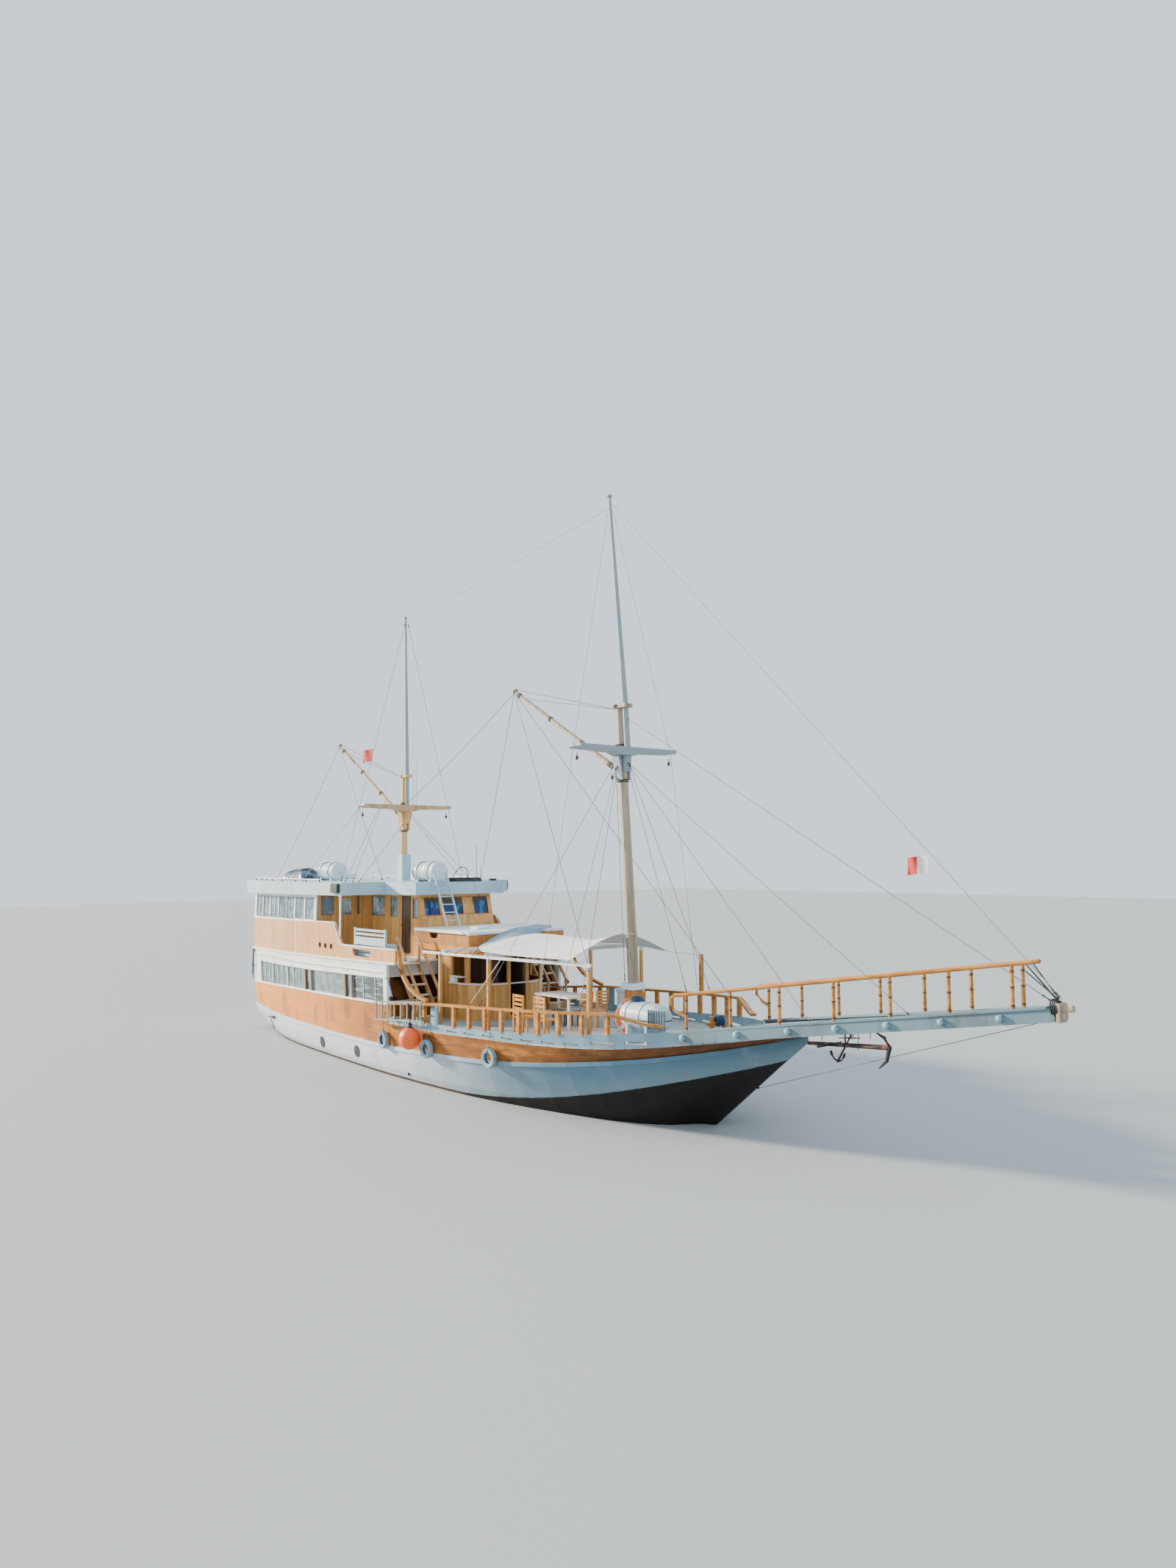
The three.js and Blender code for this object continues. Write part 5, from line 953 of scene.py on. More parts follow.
for name, side in SIDES.items():
    inward = Vector((0, -side, 0))
    panes, beads = Work(), Work()
    for k, (x0, x1) in enumerate(SALOON_WINDOWS):
        foot_z = saloon_heights(x0)[0]
        heights = lambda x: (foot_z, saloon_heights(x)[1])
        corners = pane(panes, saloon_skin, (x0, x1), heights, inward, 0.03)
        curtain(f"saloon_curtain_{name}_{k}", corners, inward, 9, 0.02, SALOON_TIES[k])
        middle = (x0 + x1) / 2
        if x1 - x0 > WIDE_PANE:
            post = upright(saloon_skin, middle, foot_z, saloon_heights(middle)[1], inward, 0.02)
            beads.bar(post, 0.02, 0.028)
        for a, b in ((0, 1), (3, 2)):
            beads.bar([corners[a] - inward * 0.016, corners[b] - inward * 0.016], 0.02, 0.03)
    panes.make("saloon_glass_" + name, clear_glass, "white_paint")
    beads.make("saloon_beads_" + name, trim_white, "white_paint")
panes = Work()
for k, middle in enumerate((-1.35, -0.45, 0.45, 1.35)):
    across = (middle - 0.40, middle + 0.40)
    corners = pane(panes, saloon_skin, across, lambda y: (4.12, 4.87), ASTERN_IN, 0.03)
    curtain(f"saloon_curtain_stern_{k}", corners, ASTERN_IN, 7, 0.02, STERN_TIES[k])
panes.make("saloon_glass_stern", clear_glass, "white_paint")

# Bulkhead, upper cabin and wheelhouse: panes in varnished boards, most with a curtain behind. The glass of
# the wheelhouse's front is tinted blue, with slatted wooden shades at its top. The saloon door has a brass
# knob, and the wheelhouse doors have dark wooden knobs and battens.
blue_glass = glass("blue_glass", (0.004, 0.040, 0.16), (0.02, 0.16, 0.36), 0.80, (1, 1.6, 1.2), 0.5, 0.6)
brass = moulded("brass", (0.55, 0.38, 0.12), (0.25, 0.17, 0.07), 0.25, 0.0, 1.0)
bulkhead_skin = surface("saloon_bulkhead")
cabin_skin = surface("upper_cabin")
wheelhouse_skin = surface("wheelhouse")
panes, casings, blue_panes = Work(), Work(), Work()
framed = []
AHEAD_IN = (-1, 0, 0)
for y0, y1 in ((-2.74, -2.30), (1.56, 2.14), (2.30, 2.74)):
    framed.append((bulkhead_skin, (y0, y1), (4.36, 4.96), AHEAD_IN, panes))
for x0, x1 in ((-3.03, -2.18), (-1.78, -1.34)):
    for side in SIDES.values():
        framed.append((cabin_skin, (x0, x1), (4.34, 4.96), (0, -side, 0), panes))
for side in SIDES.values():
    framed.append((wheelhouse_skin, (-0.44, -0.11), (4.33, 4.93), (0, -side, 0), panes))
for y0, y1 in ((-1.17, -0.64), (-0.56, 0.20), (0.59, 1.13)):
    framed.append((wheelhouse_skin, (y0, y1), (4.42, 4.96), AHEAD_IN, blue_panes))
for k, (faces, across, heights, inward, work) in enumerate(framed):
    corners = pane(work, faces, across, lambda u: heights, inward, 0.022)
    casings.frame(corners, Vector(inward) * -0.020, 0.024, 0.024)
    if work is panes or across[0] > 0.5:
        inner = [corner + Vector(inward) * 0.035 for corner in corners]
        tied = 1 if across[1] - across[0] > 0.6 else None
        curtain(f"cabin_blind_{k}", inner, inward, 6, 0.012, tied)
panes.make("upper_cabin_glass", clear_glass, "white_paint")
blue_panes.make("wheelhouse_glass", blue_glass, "white_paint")
casings.make("upper_cabin_casings", post_varnish, "varnish")
SHADE_TOP, SHADE_SLATS = 4.945, 5
shades = Work()
for y0, y1, drop in ((-1.15, -0.66, 0.12), (-0.54, 0.18, 0.20), (0.61, 1.11, 0.10)):
    ends = []
    for y in (y0, y1):
        top = wall_point(wheelhouse_skin, y, SHADE_TOP, AHEAD_IN, 0.04) + Vector((0.012, 0, 0))
        foot = wall_point(wheelhouse_skin, y, SHADE_TOP - drop, AHEAD_IN, 0.04 + drop)
        ends.append((top, foot + Vector((0.012 + 0.25 * drop, 0, 0))))
    for k in range(SHADE_SLATS):
        part = (k + 0.5) / SHADE_SLATS
        shades.bar([top.lerp(foot, part) for top, foot in ends], 0.010, drop / 5.6)
shades.make("wheelhouse_shades", dark_wood, "dark_wood")

DOOR_PANE = (-3.73, (-2.025, -1.675), (4.365, 4.855))  # its plane, sides, foot and head
door_pane = Work()
x, (y0, y1), (z0, z1) = DOOR_PANE
door_pane.panel([(x, y0, z0), (x, y1, z0), (x, y1, z1), (x, y0, z1)], (0.006, 0, 0))
door_pane.make("saloon_door_glass", clear_glass, "white_paint", "saloon_door")
knob = [(0.003, 0.0), (0.026, 0.0), (0.024, 0.006), (0.010, 0.010),
        (0.010, 0.032), (0.024, 0.042), (0.022, 0.058), (0.003, 0.064)]
KNOB_HEIGHT = 4.10
handle = Work()
handle.turned((-3.705, -1.63, KNOB_HEIGHT), (1, 0, 0), knob, 14)
handle.make("saloon_door_knob", brass, "bronze", "saloon_door")
for name, side in SIDES.items():
    inward = Vector((0, -side, 0))
    handle = Work()
    door_skin = surface("wheelhouse_door_" + name)
    handle.turned(wall_point(door_skin, -1.05, KNOB_HEIGHT, inward, 0), (0, side, 0), knob, 14)
    for z in (3.35, 3.75, 4.55, 4.9):
        rail = [wall_point(door_skin, x, z, inward, 0) - inward * 0.004 for x in (-1.10, -0.60)]
        handle.bar(rail, 0.012, 0.05)
    handle.make("wheelhouse_door_fittings_" + name, dark_wood, "dark_wood", "wheelhouse_door_" + name)

# Steering: a spoked wooden wheel on a pedestal, seen through the wheelhouse's glass and doors.
helm = Work()
HELM = Vector((-0.42, 0.05, 4.08))
HUB = HELM - Vector((0.10, 0, 0))
SPOKES = 8
helm.block((HELM.x - 0.02, HELM.y - 0.14, 3.30), (HELM.x + 0.24, HELM.y + 0.14, 4.05), 0.02)
helm.hoop(HUB, (1, 0, 0), 0.26, 0.018, 32, 8)
boss = [(0.01, 0), (0.05, 0.0), (0.05, 0.05), (0.02, 0.06), (0.02, 0.14), (0.01, 0.14)]
helm.turned(HELM - Vector((0.13, 0, 0)), (1, 0, 0), boss, 14)
for k in range(SPOKES):
    spoke = Vector((0, math.cos(math.tau * k / SPOKES), math.sin(math.tau * k / SPOKES)))
    helm.rod([HUB + spoke * reach for reach in (0.03, 0.20, 0.30, 0.36)], 0.012, 8, [0.8, 1.2, 0.8, 1.3])
helm.make("steering_wheel", post_varnish, "varnish")

# Roof: a low pipe rail with dark feet along both edges aft, the side lamps in their dark boxes, and a slim
# post that carries the starboard corner down to the bulwark, with none seen to port.
ROOF_TOP = 5.43
RAIL_FOOT = [(0.01, 0.0), (0.04, 0.0), (0.035, 0.012), (0.018, 0.02), (0.015, 0.07), (0.01, 0.075)]
roof_skin = surface("roof")
black_iron = moulded("black_iron", (0.022, 0.026, 0.030), (0.06, 0.065, 0.07), 0.45, 0.2, 0.3)
lamp_grey = moulded("lamp_grey", (0.014, 0.030, 0.028), (0.03, 0.045, 0.045), 0.6, 0.05)
for name, side in SIDES.items():
    inward = (0, -side, 0)
    rail, feet = Work(), Work()
    spots = []
    for x in (-9.9, -9.0, -8.4, -7.75, -6.64, -5.4, -4.5, -3.5):
        edge = wall_point(roof_skin, x, 5.40, inward, 0)
        spots.append(Vector((x, edge.y - side * 0.16, ROOF_TOP)))
        feet.turned(spots[-1], (0, 0, 1), RAIL_FOOT, 10)
    rail.rod([spot + Vector((0, 0, 0.078)) for spot in spots], 0.016)
    rail.make("roof_rail_" + name, pipe_white, "white_paint")
    feet.make("roof_rail_feet_" + name, black_iron, "iron")

    lamp = Work()
    edge = wall_point(roof_skin, -1.95, 5.25, inward, 0)
    y = sorted((edge.y + side * 0.005, edge.y + side * 0.10))
    lamp.block((-2.19, y[0], 5.11), (-1.73, y[1], 5.40), 0.012)
    lamp.block((-2.10, y[0] + 0.02, 5.15), (-2.00, y[1] + 0.012 * (side > 0), 5.36), 0.008)
    lamp.make("side_lamp_" + name, lamp_grey, "iron")

ROOF_POST_X = -1.80
post = Work()
post_y = wall_point(bulwark_skin, ROOF_POST_X, 3.50, (0, 1, 0), 0).y + 0.03
post_foot = read(BULWARK_TOP, ROOF_POST_X) + 0.045
post.bar([(ROOF_POST_X, post_y, z) for z in (post_foot, 5.02)], 0.05, 0.055)
post.bar([(ROOF_POST_X, post_y, z) for z in (5.0, 5.085)], 0.10, 0.10)
post.make("roof_post_starboard", trim_white, "white_paint")

# Water drums: plastic barrels lying on the roof in low cradles, with rolled hoops and a blue rim at one end.
blue_plastic = moulded("blue_plastic", (0.03, 0.075, 0.16), (0.06, 0.12, 0.20), 0.4)
drum_white = moulded("drum_white", (0.66, 0.77, 0.84), (0.44, 0.55, 0.62), 0.4, 0.1)
hoops, rims, cradles = Work(), Work(), Work()
for node in ("water_drum_aft", "water_drum_fore"):
    low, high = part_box(node)
    centre = (Vector(low) + Vector(high)) / 2
    long_x = high[0] - low[0] > high[1] - low[1]
    axis = Vector((1, 0, 0)) if long_x else Vector((0, 1, 0))
    half = (high[0] - low[0] if long_x else high[1] - low[1]) / 2
    radius = (high[2] - low[2]) / 2
    for along in (-0.36, -0.12, 0.12, 0.36):
        hoops.hoop(centre + axis * along * half * 1.7, axis, radius, 0.010, 36, 6)
    for end, work in ((-1, rims), (1, hoops)):
        work.hoop(centre + axis * end * (half - 0.01), axis, radius - 0.012, 0.016, 36, 6)
        hoops.turned(centre + axis * end * (half - 0.004), axis * end,
                     [(0.005, 0.0), (0.045, 0.0), (0.045, 0.022), (0.036, 0.026), (0.005, 0.026)], 14)
        cradles.hoop(centre + axis * end * half * 0.55, axis, radius + 0.016, 0.014, 40, 6)
    across = axis.cross(Vector((0, 0, 1)))
    for end in (-1, 1):
        spot = centre + axis * end * half * 0.55
        spot.z = ROOF_TOP + 0.022
        cradles.bar([spot - across * 0.24, spot + across * 0.24], 0.06, 0.04)
hoops.make("drum_hoops", drum_white, "plastic_white")
rims.make("drum_rims", blue_plastic, "tarp")
cradles.make("drum_cradles", grey_rope, "weathered")
dress(drum_white, "water_drum_aft", "water_drum_fore")

# Things on the roof: a dark louvred box over the wheelhouse's front, two white boxes, a curved tube, three
# short aerials and two coils of cable.
gear, lines = Work(), Work()
LOUVRES = 0.11  # height of the louvred box
gear.block((-0.32, -0.18, ROOF_TOP), (0.24, 0.80, ROOF_TOP + LOUVRES - 0.012), 0.01)
for k in range(7):
    x = -0.27 + 0.078 * k
    gear.bar([(x, -0.15, ROOF_TOP + LOUVRES), (x, 0.77, ROOF_TOP + LOUVRES)], 0.045, 0.018)
for x, y, tall in ((0.20, 0.63, 1.17), (-5.60, 0.45, 0.42), (-0.9, 1.5, 0.5)):
    outline = [(0.01, 0), (0.05, 0), (0.05, 0.02), (0.02, 0.035), (0.008, 0.06), (0.006, tall), (0.002, tall)]
    gear.turned((x, y, ROOF_TOP), (0, 0, 1), outline, 8)
arc = [(0.20, 0.30 - 0.55 * k / 8, 5.52 + 0.36 * math.sin(math.pi * (k + 3) / 11.5)) for k in range(9)]
lines.rod([(0.20, 0.30, ROOF_TOP)] + arc, 0.013)
lines.turned((0.20, 0.30, ROOF_TOP), (0, 0, 1), [(0.01, 0), (0.06, 0), (0.05, 0.05), (0.01, 0.06)], 10)
for k in range(3):
    lines.hoop((-2.6, 0.9, ROOF_TOP + 0.018 + 0.022 * k), (0, 0, 1), 0.15 - 0.012 * k, 0.012, 24, 6)
    lines.hoop((-0.05, 1.4, ROOF_TOP + 0.018 + 0.022 * k), (0, 0, 1), 0.13 - 0.010 * k, 0.011, 24, 6)
gear.make("roof_gear", black_iron, "iron")
lines.make("roof_tube_and_cables", rusty_iron, "iron")
boxes = Work()
boxes.block((-3.75, 0.45, ROOF_TOP), (-3.20, 0.85, ROOF_TOP + 0.26), 0.02)
boxes.block((-9.9, 0.7, ROOF_TOP), (-9.2, 1.3, ROOF_TOP + 0.20), 0.03)
boxes.make("roof_boxes", trim_white, "white_paint")

# Covered bundle: spare sails and fenders heaped on the roof under a blue tarpaulin, which hangs in folds over
# the heap and is lashed round it twice.
tarpaulin = Finish("tarpaulin", {"Coat Weight": 0.2})
weave = (tarpaulin.x * 700).math("SINE") * (tarpaulin.y * 700).math("SINE")
tarpaulin.set({
    "Base Color": tarpaulin.mix(tarpaulin.step(tarpaulin.noise(4.5), 0.42, 0.58),
                                (0.008, 0.018, 0.06), (0.09, 0.16, 0.26)),
    "Roughness": tarpaulin.noise(20.0) * 0.25 + 0.45,
    "Normal": tarpaulin.relief(weave * 0.1 + tarpaulin.noise(14.0), 0.008),
})
low, high = [Vector(corner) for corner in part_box("covered_bundle")]
BUNDLE_COLUMNS, BUNDLE_ROWS = 64, 34
middle, size = (low + high) / 2, high - low
points = []
for r in range(BUNDLE_ROWS + 1):
    for k in range(BUNDLE_COLUMNS + 1):
        u, v = 2 * k / BUNDLE_COLUMNS - 1, 2 * r / BUNDLE_ROWS - 1
        far = max(abs(u), abs(v)) ** 1.2
        turn = math.atan2(v, u)
        lump = abs(math.sin(2.6 * u + 0.5)) ** 0.7 * (0.8 + 0.2 * math.cos(1.9 * v))
        lump += 0.20 * math.sin(7.3 * u - 3.2 * v)
        fold = math.sin(turn * 13 + 2.0 * math.sin(turn * 3)) * 0.045 * max(0, far - 0.35)
        height = (1 - far ** 3.2) * (0.46 + 0.50 * lump) + fold * 1.2
        round_off = 1 - 0.10 * (u * v) ** 2 + fold
        points.append((middle.x + u * size.x / 2 * round_off, middle.y + v * size.y / 2 * round_off,
                       low.z + 0.012 + max(0.0, height) * (size.z - 0.012)))
bundle, bundle_area = cloth("bundle_cover", points, BUNDLE_ROWS, BUNDLE_COLUMNS, tarpaulin)
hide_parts("covered_bundle")
bundle_shape = BVHTree.FromPolygons(points, grid_faces(BUNDLE_ROWS, BUNDLE_COLUMNS))
lashing = Work()
for x in (-9.45, -8.55):
    path = []
    for k in range(15):
        y = low[1] + 0.03 + (high[1] - low[1] - 0.06) * k / 14
        hit = bundle_shape.ray_cast(Vector((x, y, 9)), Vector((0, 0, -1)))[0]
        if hit:
            path.append(hit + Vector((0, 0, 0.006)))
    lashing.rod(path, 0.009, 6)
lashing.make("bundle_lashings", black_iron, "iron")

# Gangway: painted braces from the edge of the upper deck down to the after end of each bulwark, with a black
# roller at their feet, iron strap hinges on the gate's wing, and a blue lashing over the gate's rail.
GATE_CAP = [(1.3, 2.10), (3.8, 2.31)]  # height of the rail's cap over the gate
WING_FACE = 3.070
BRACE_IRON = [(0.01, -0.05), (0.05, -0.04), (0.062, -0.01), (0.062, 0.02), (0.045, 0.05), (0.01, 0.055)]
for name, side in SIDES.items():
    brace, irons, lashing = Work(), Work(), Work()
    foot = Vector((1.58, side * 3.09, 2.26))
    brace.bar([(1.03, side * 3.07, 3.18), foot], 0.05, 0.065)
    brace.make("gangway_brace_" + name, blue_white, "blue_white_paint")
    irons.turned(foot + Vector((0, side * 0.04, -0.02)), (0, side, 0), BRACE_IRON, 16)
    for z in (2.20, 1.97):
        hinge = [Vector((x, side * WING_FACE, z)) for x in (3.66, 3.84)]
        irons.bar(hinge, 0.012, 0.035)
        irons.rod([hinge[0] - Vector((0, 0, 0.03)), hinge[0] + Vector((0, 0, 0.03))], 0.012)
    irons.make("gate_irons_" + name, black_iron, "iron")
    spot = Vector((2.56, side * 3.07, read(GATE_CAP, 2.56)))
    for aft in (0.0, 0.022):
        lashing.hoop(spot - Vector((aft, 0, 0.04)), (1, 0, 0), 0.062, 0.013, 16, 6)
    for shift, drop in ((0.0, 0.30), (0.03, 0.22)):
        end = [spot + Vector((shift, side * 0.062, -0.03)),
               spot + Vector((shift + 0.01, side * 0.075, -drop * 0.5)),
               spot + Vector((shift - 0.01, side * 0.06, -drop))]
        lashing.rod(end, 0.014, 6, [1.0, 1.1, 0.7])
    lashing.make("gate_lashing_" + name, blue_rope, "tarp")

# Fore saloon: a white counter strip runs round its walls under the open windows with a small white shelf on
# it, and dark cupboards stand behind. A white lip goes round the top of the boxed roof, and two flat boxes
# lie on the roof.
walls_skin = surface("saloon_walls")
box_skin = surface("saloon_roof")
strip, lip = Work(), Work()
corner_way = Vector((-1, 1, 0)).normalized()


def round_the_front(faces, z, after, out):
    """Points on a wall that has rounded front corners, from the starboard side round to port."""
    half = []
    for x in after:
        half.append((wall_point(faces, x, z, (0, 1, 0), 0), Vector((0, -1, 0))))
    last = wall_point(faces, after[-1], z, (0, 1, 0), 0)
    place, _ = meet(faces, (after[-1] + 0.10, last.y + 0.02, z), corner_way)
    half.append((place, -corner_way))
    for y in (-1.15, -0.6):
        half.append((wall_point(faces, y, z, (-1, 0, 0), 0), Vector((1, 0, 0))))
    half = [place + way * out for place, way in half]
    return half + [Vector((p.x, -p.y, p.z)) for p in reversed(half)]


strip.bar(round_the_front(walls_skin, 2.585, (1.95, 2.5, 2.95), 0.022), 0.06, 0.035)
strip.block((2.10, -1.52, 2.61), (2.30, -1.37, 2.78), 0.01)
strip.block((2.08, -1.54, 2.78), (2.70, -1.36, 2.805), 0.008)
strip.make("saloon_counter", trim_white, "white_paint")
cupboards = Work()
cupboards.block((1.72, -0.62, 1.75), (2.92, -0.40, 3.42), 0.02)
cupboards.block((1.72, 0.46, 1.75), (2.92, 0.70, 3.42), 0.02)
cupboards.block((1.62, -0.40, 1.75), (1.84, 0.46, 3.42), 0.02)
for x in (2.0, 2.3, 2.6):
    cupboards.bar([(x, -0.63, 2.45), (x, -0.63, 3.35)], 0.03, 0.02)
cupboards.make("saloon_cupboards", dark_wood, "dark_wood")
lip.bar(round_the_front(box_skin, 4.05, (0.45, 1.6, 2.95), 0.012), 0.035, 0.07)
lip.block((2.18, -0.88, 4.09), (2.52, -0.42, 4.17), 0.012)
lip.block((1.35, 0.95, 4.09), (1.75, 1.35, 4.16), 0.012)
lip.make("saloon_roof_lip", trim_white, "white_paint")

# Foredeck furniture: two more slatted chairs beyond the table, two dark stools under it, and a white locker
# to port of the mast.
DECK_HEIGHT = [(4.0, 1.59), (5.8, 1.65), (7.7, 1.71), (9.8, 1.81)]
SEAT, BACK = 0.43, Vector((0.06, 0, 1.0))  # a chair's seat height, and where its back ends over its foot
chairs, stools, locker = Work(), Work(), Work()
for x, y in ((6.80, -0.47), (6.60, 0.22)):
    deck = read(DECK_HEIGHT, x)
    for along in (-0.19, 0.19):
        for over in (-0.19, 0.19):
            foot = Vector((x + along, y + over, deck))
            leg = [foot, foot + Vector((0, 0, SEAT))]
            if along > 0:
                leg.append(foot + BACK)
            chairs.bar(leg, 0.036, 0.036)
    for k in range(5):
        chairs.bar([(x - 0.2 + 0.09 * k, y + over, deck + 0.445) for over in (-0.21, 0.21)], 0.07, 0.018)
    for k in range(6):
        z = deck + 0.52 + 0.085 * k
        chairs.bar([(x + 0.19 + 0.1 * (z - deck - SEAT), y + over, z) for over in (-0.19, 0.19)], 0.018, 0.05)
chairs.make("chairs_far", chair_varnish, "varnish")
for x in (5.42, 5.92):
    deck = read(DECK_HEIGHT, x)
    stools.block((x - 0.17, -0.28, deck + 0.34), (x + 0.17, 0.06, deck + 0.42), 0.02)
    for along in (-0.13, 0.13):
        for over in (-0.24, 0.02):
            stools.bar([(x + along, over, deck), (x + along * 0.9, over, deck + 0.35)], 0.035, 0.035)
stools.make("stools", dark_wood, "dark_wood")
locker.block((6.92, 0.62, 1.69), (7.48, 1.10, 2.58), 0.03)
locker.block((6.90, 0.60, 2.58), (7.50, 1.12, 2.70), 0.03)
locker.make("deck_locker", drum_white, "plastic_white")

# Stairs: each step has a tread painted white.
stair_treads = Work()
for side in SIDES.values():
    for k in range(6):
        part = (k + 0.55) / 6
        x, z = 1.01 + part * 1.21, 3.24 - part * 1.668
        stair_treads.bar([(x, side * 1.99, z + 0.035), (x, side * 2.55, z + 0.035)], 0.17, 0.012)
stair_treads.make("stair_treads", trim_white, "white_paint")

# Life raft: a moulded canister in two halves, with a dark gasket round the joint and two straps, standing
# in a slatted cradle. A coil of blue rope lies on top.
raft_shell = moulded("raft_shell", (0.50, 0.61, 0.69), (0.26, 0.40, 0.52), 0.4, 0.2)
dress(raft_shell, "life_raft")
RAFT = Vector((10.02, -1.13, 2.44))
RAFT_OUTLINE = [(-0.675, 0.0), (-0.675, 0.19), (-0.605, 0.272), (-0.475, 0.32),
                (0.475, 0.32), (0.605, 0.272), (0.675, 0.19), (0.675, 0.0)]
gasket, cradle, coil = Work(), Work(), Work()
loop = [RAFT + Vector((x, y, -0.05)) for x, y in RAFT_OUTLINE]
loop += [RAFT + Vector((x, -y, -0.05)) for x, y in RAFT_OUTLINE[-2:0:-1]]
gasket.rod(loop, 0.013, 6, closed=True)
for x in (-0.36, 0.12):
    gasket.hoop(RAFT + Vector((x, 0, 0)), (1, 0, 0), 0.322, 0.008, 32, 6)
gasket.make("raft_gasket", black_iron, "iron")
for k in range(7):
    x = 10.50 + 0.085 * k
    cradle.bar([(x, -1.462, 2.24), (x, -1.458, 2.66)], 0.06, 0.012)
for z in (2.30, 2.58):
    cradle.bar([(10.46, -1.452, z), (11.05, -1.452, z)], 0.012, 0.03)
cradle.make("raft_slats", varnish("grey_slats", "z", (0.22, 0.31, 0.38), (0.12, 0.16, 0.19)), "weathered")
for k in range(4):
    coil.hoop((9.72, -1.10, 2.775 + 0.024 * k), (0.08, 0.05, 1), 0.15 - 0.018 * k, 0.018, 24, 6)
    coil.hoop((9.72, -1.10, 2.775 + 0.024 * k), (-0.06, 0.05, 1), 0.09, 0.018, 20, 6)
coil.make("raft_rope_coil", blue_rope, "tarp")

# Life ring: orange cork with four white bands and a grab line that bows out between them.
ring_cork = moulded("ring_cork", (0.90, 0.20, 0.06), (0.62, 0.17, 0.08), 0.55, 0.05)
dress(ring_cork, "life_ring")
RING, RING_RADIUS, RING_TUBE = Vector((8.9, -0.7, 2.29)), 0.30, 0.075
BAND = RING_TUBE + 0.004
bands, grab = Work(), Work()
for k in range(4):
    turns = [math.tau * (k / 4 + 0.125) + math.radians(a) for a in (-9, -3, 3, 9)]
    bands.rod([RING + Vector((0, math.cos(t), math.sin(t))) * RING_RADIUS for t in turns], BAND, 14)
    for j in range(4):
        turns = [math.tau * (k + 0.5 + part / 4) / 4 for part in (j, j + 1)]
        radii = [RING_RADIUS + RING_TUBE + 0.012 + 0.028 * math.sin(math.pi * part / 4)
                 for part in (j, j + 1)]
        line = [RING + Vector((0.01, math.cos(t) * r, math.sin(t) * r)) for t, r in zip(turns, radii)]
        grab.rod(line, 0.006, 6)
bands.make("ring_bands", drum_white, "plastic_white")
grab.make("ring_grab_line", cloth_white, "canvas")

# Buoy: an inflated fender ball of red-orange vinyl with a moulded black neck, hung from the ladder's rail.
buoy_vinyl = moulded("buoy_vinyl", (0.96, 0.14, 0.022), (0.78, 0.11, 0.025), 0.35, 0.15)
BUOY, BUOY_RADIUS = Vector((3.08, -3.37, 1.33)), 0.29
ball = Work()
profile = [(0.004, -1.0)] + [(math.cos(math.radians(a)), math.sin(math.radians(a)))
                             for a in range(-84, 73, 6)]
ball_outline = [(max(0.004, r * BUOY_RADIUS), a * BUOY_RADIUS * (1.08 if a > 0 else 1.0)) for r, a in profile]
ball.turned(BUOY, (0, 0, 1), ball_outline, 48)
buoy = ball.make("buoy_ball", buoy_vinyl, "buoy_red")
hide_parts("buoy")
neck = Work()
neck_outline = [(0.105, 0.275), (0.10, 0.30), (0.05, 0.325), (0.042, 0.37), (0.055, 0.385), (0.055, 0.41),
                (0.01, 0.415)]
neck.turned(BUOY, (0, 0, 1), neck_outline, 24)
neck.hoop(BUOY + Vector((0, 0, 0.40)), (1, 0, 0), 0.034, 0.010, 16, 6)
tail = [BUOY + Vector(spot) for spot in ((0, 0, 0.42), (0, 0.02, 0.62), (-0.01, 0.10, 0.86))]
neck.rod(tail, 0.010, 6)
neck.make("buoy_neck", black_iron, "iron")

# Awning: white canvas stretched from the side beams up to a line on the mast, its port fore corner tied out
# to a tall pole, and a blue-grey sheet that covers the gap to the boxed roof, whose blue-grey is painted
# shade. The edges are roped. The frame under them is crossed by bamboo poles.
canvas = Finish("awning_canvas", {"Sheen Weight": 0.1})
thread = (canvas.x * 900).math("SINE") * (canvas.y * 900).math("SINE")
mildew = canvas.step(canvas.noise(1.6, (1, 1, 1), 5.0), 0.52, 0.76)
canvas.set({
    "Base Color": canvas.mix(mildew * 0.3, (0.97, 0.97, 0.97), (0.84, 0.85, 0.86)),
    "Roughness": canvas.noise(40.0) * 0.1 + 0.8,
    "Normal": canvas.relief(thread * 0.15 + canvas.noise(2.6, (0.4, 1, 1), 3.0), 0.012),
})
# Painted shade: this sheet's blue-grey stands for the shade on the canvas between the awning and the boxed
# roof.
shaded_canvas = Finish("shaded_canvas", {"Sheen Weight": 0.1})
shaded_canvas.set({
    "Base Color": shaded_canvas.mix(shaded_canvas.noise(2.2, (1, 1, 1), 5.0),
                                 (0.13, 0.25, 0.36), (0.24, 0.37, 0.46)),
    "Roughness": shaded_canvas.noise(40.0) * 0.1 + 0.75,
    "Normal": shaded_canvas.relief(shaded_canvas.noise(3.5, (0.4, 1, 1), 3.0), 0.02),
})


def curve_through(points, t):
    """A point at t, from 0 to 1, of a smooth curve through the points (Catmull-Rom)."""
    place = min(t, 0.99999) * (len(points) - 1)
    k = int(place)
    u = place - k
    a, b, c, d = (Vector(points[min(max(k + i, 0), len(points) - 1)]) for i in (-1, 0, 1, 2))
    return 0.5 * (2 * b + (c - a) * u + (2 * a - 5 * b + 4 * c - d) * u * u
                  + (3 * b - a - 3 * c + d) * u ** 3)


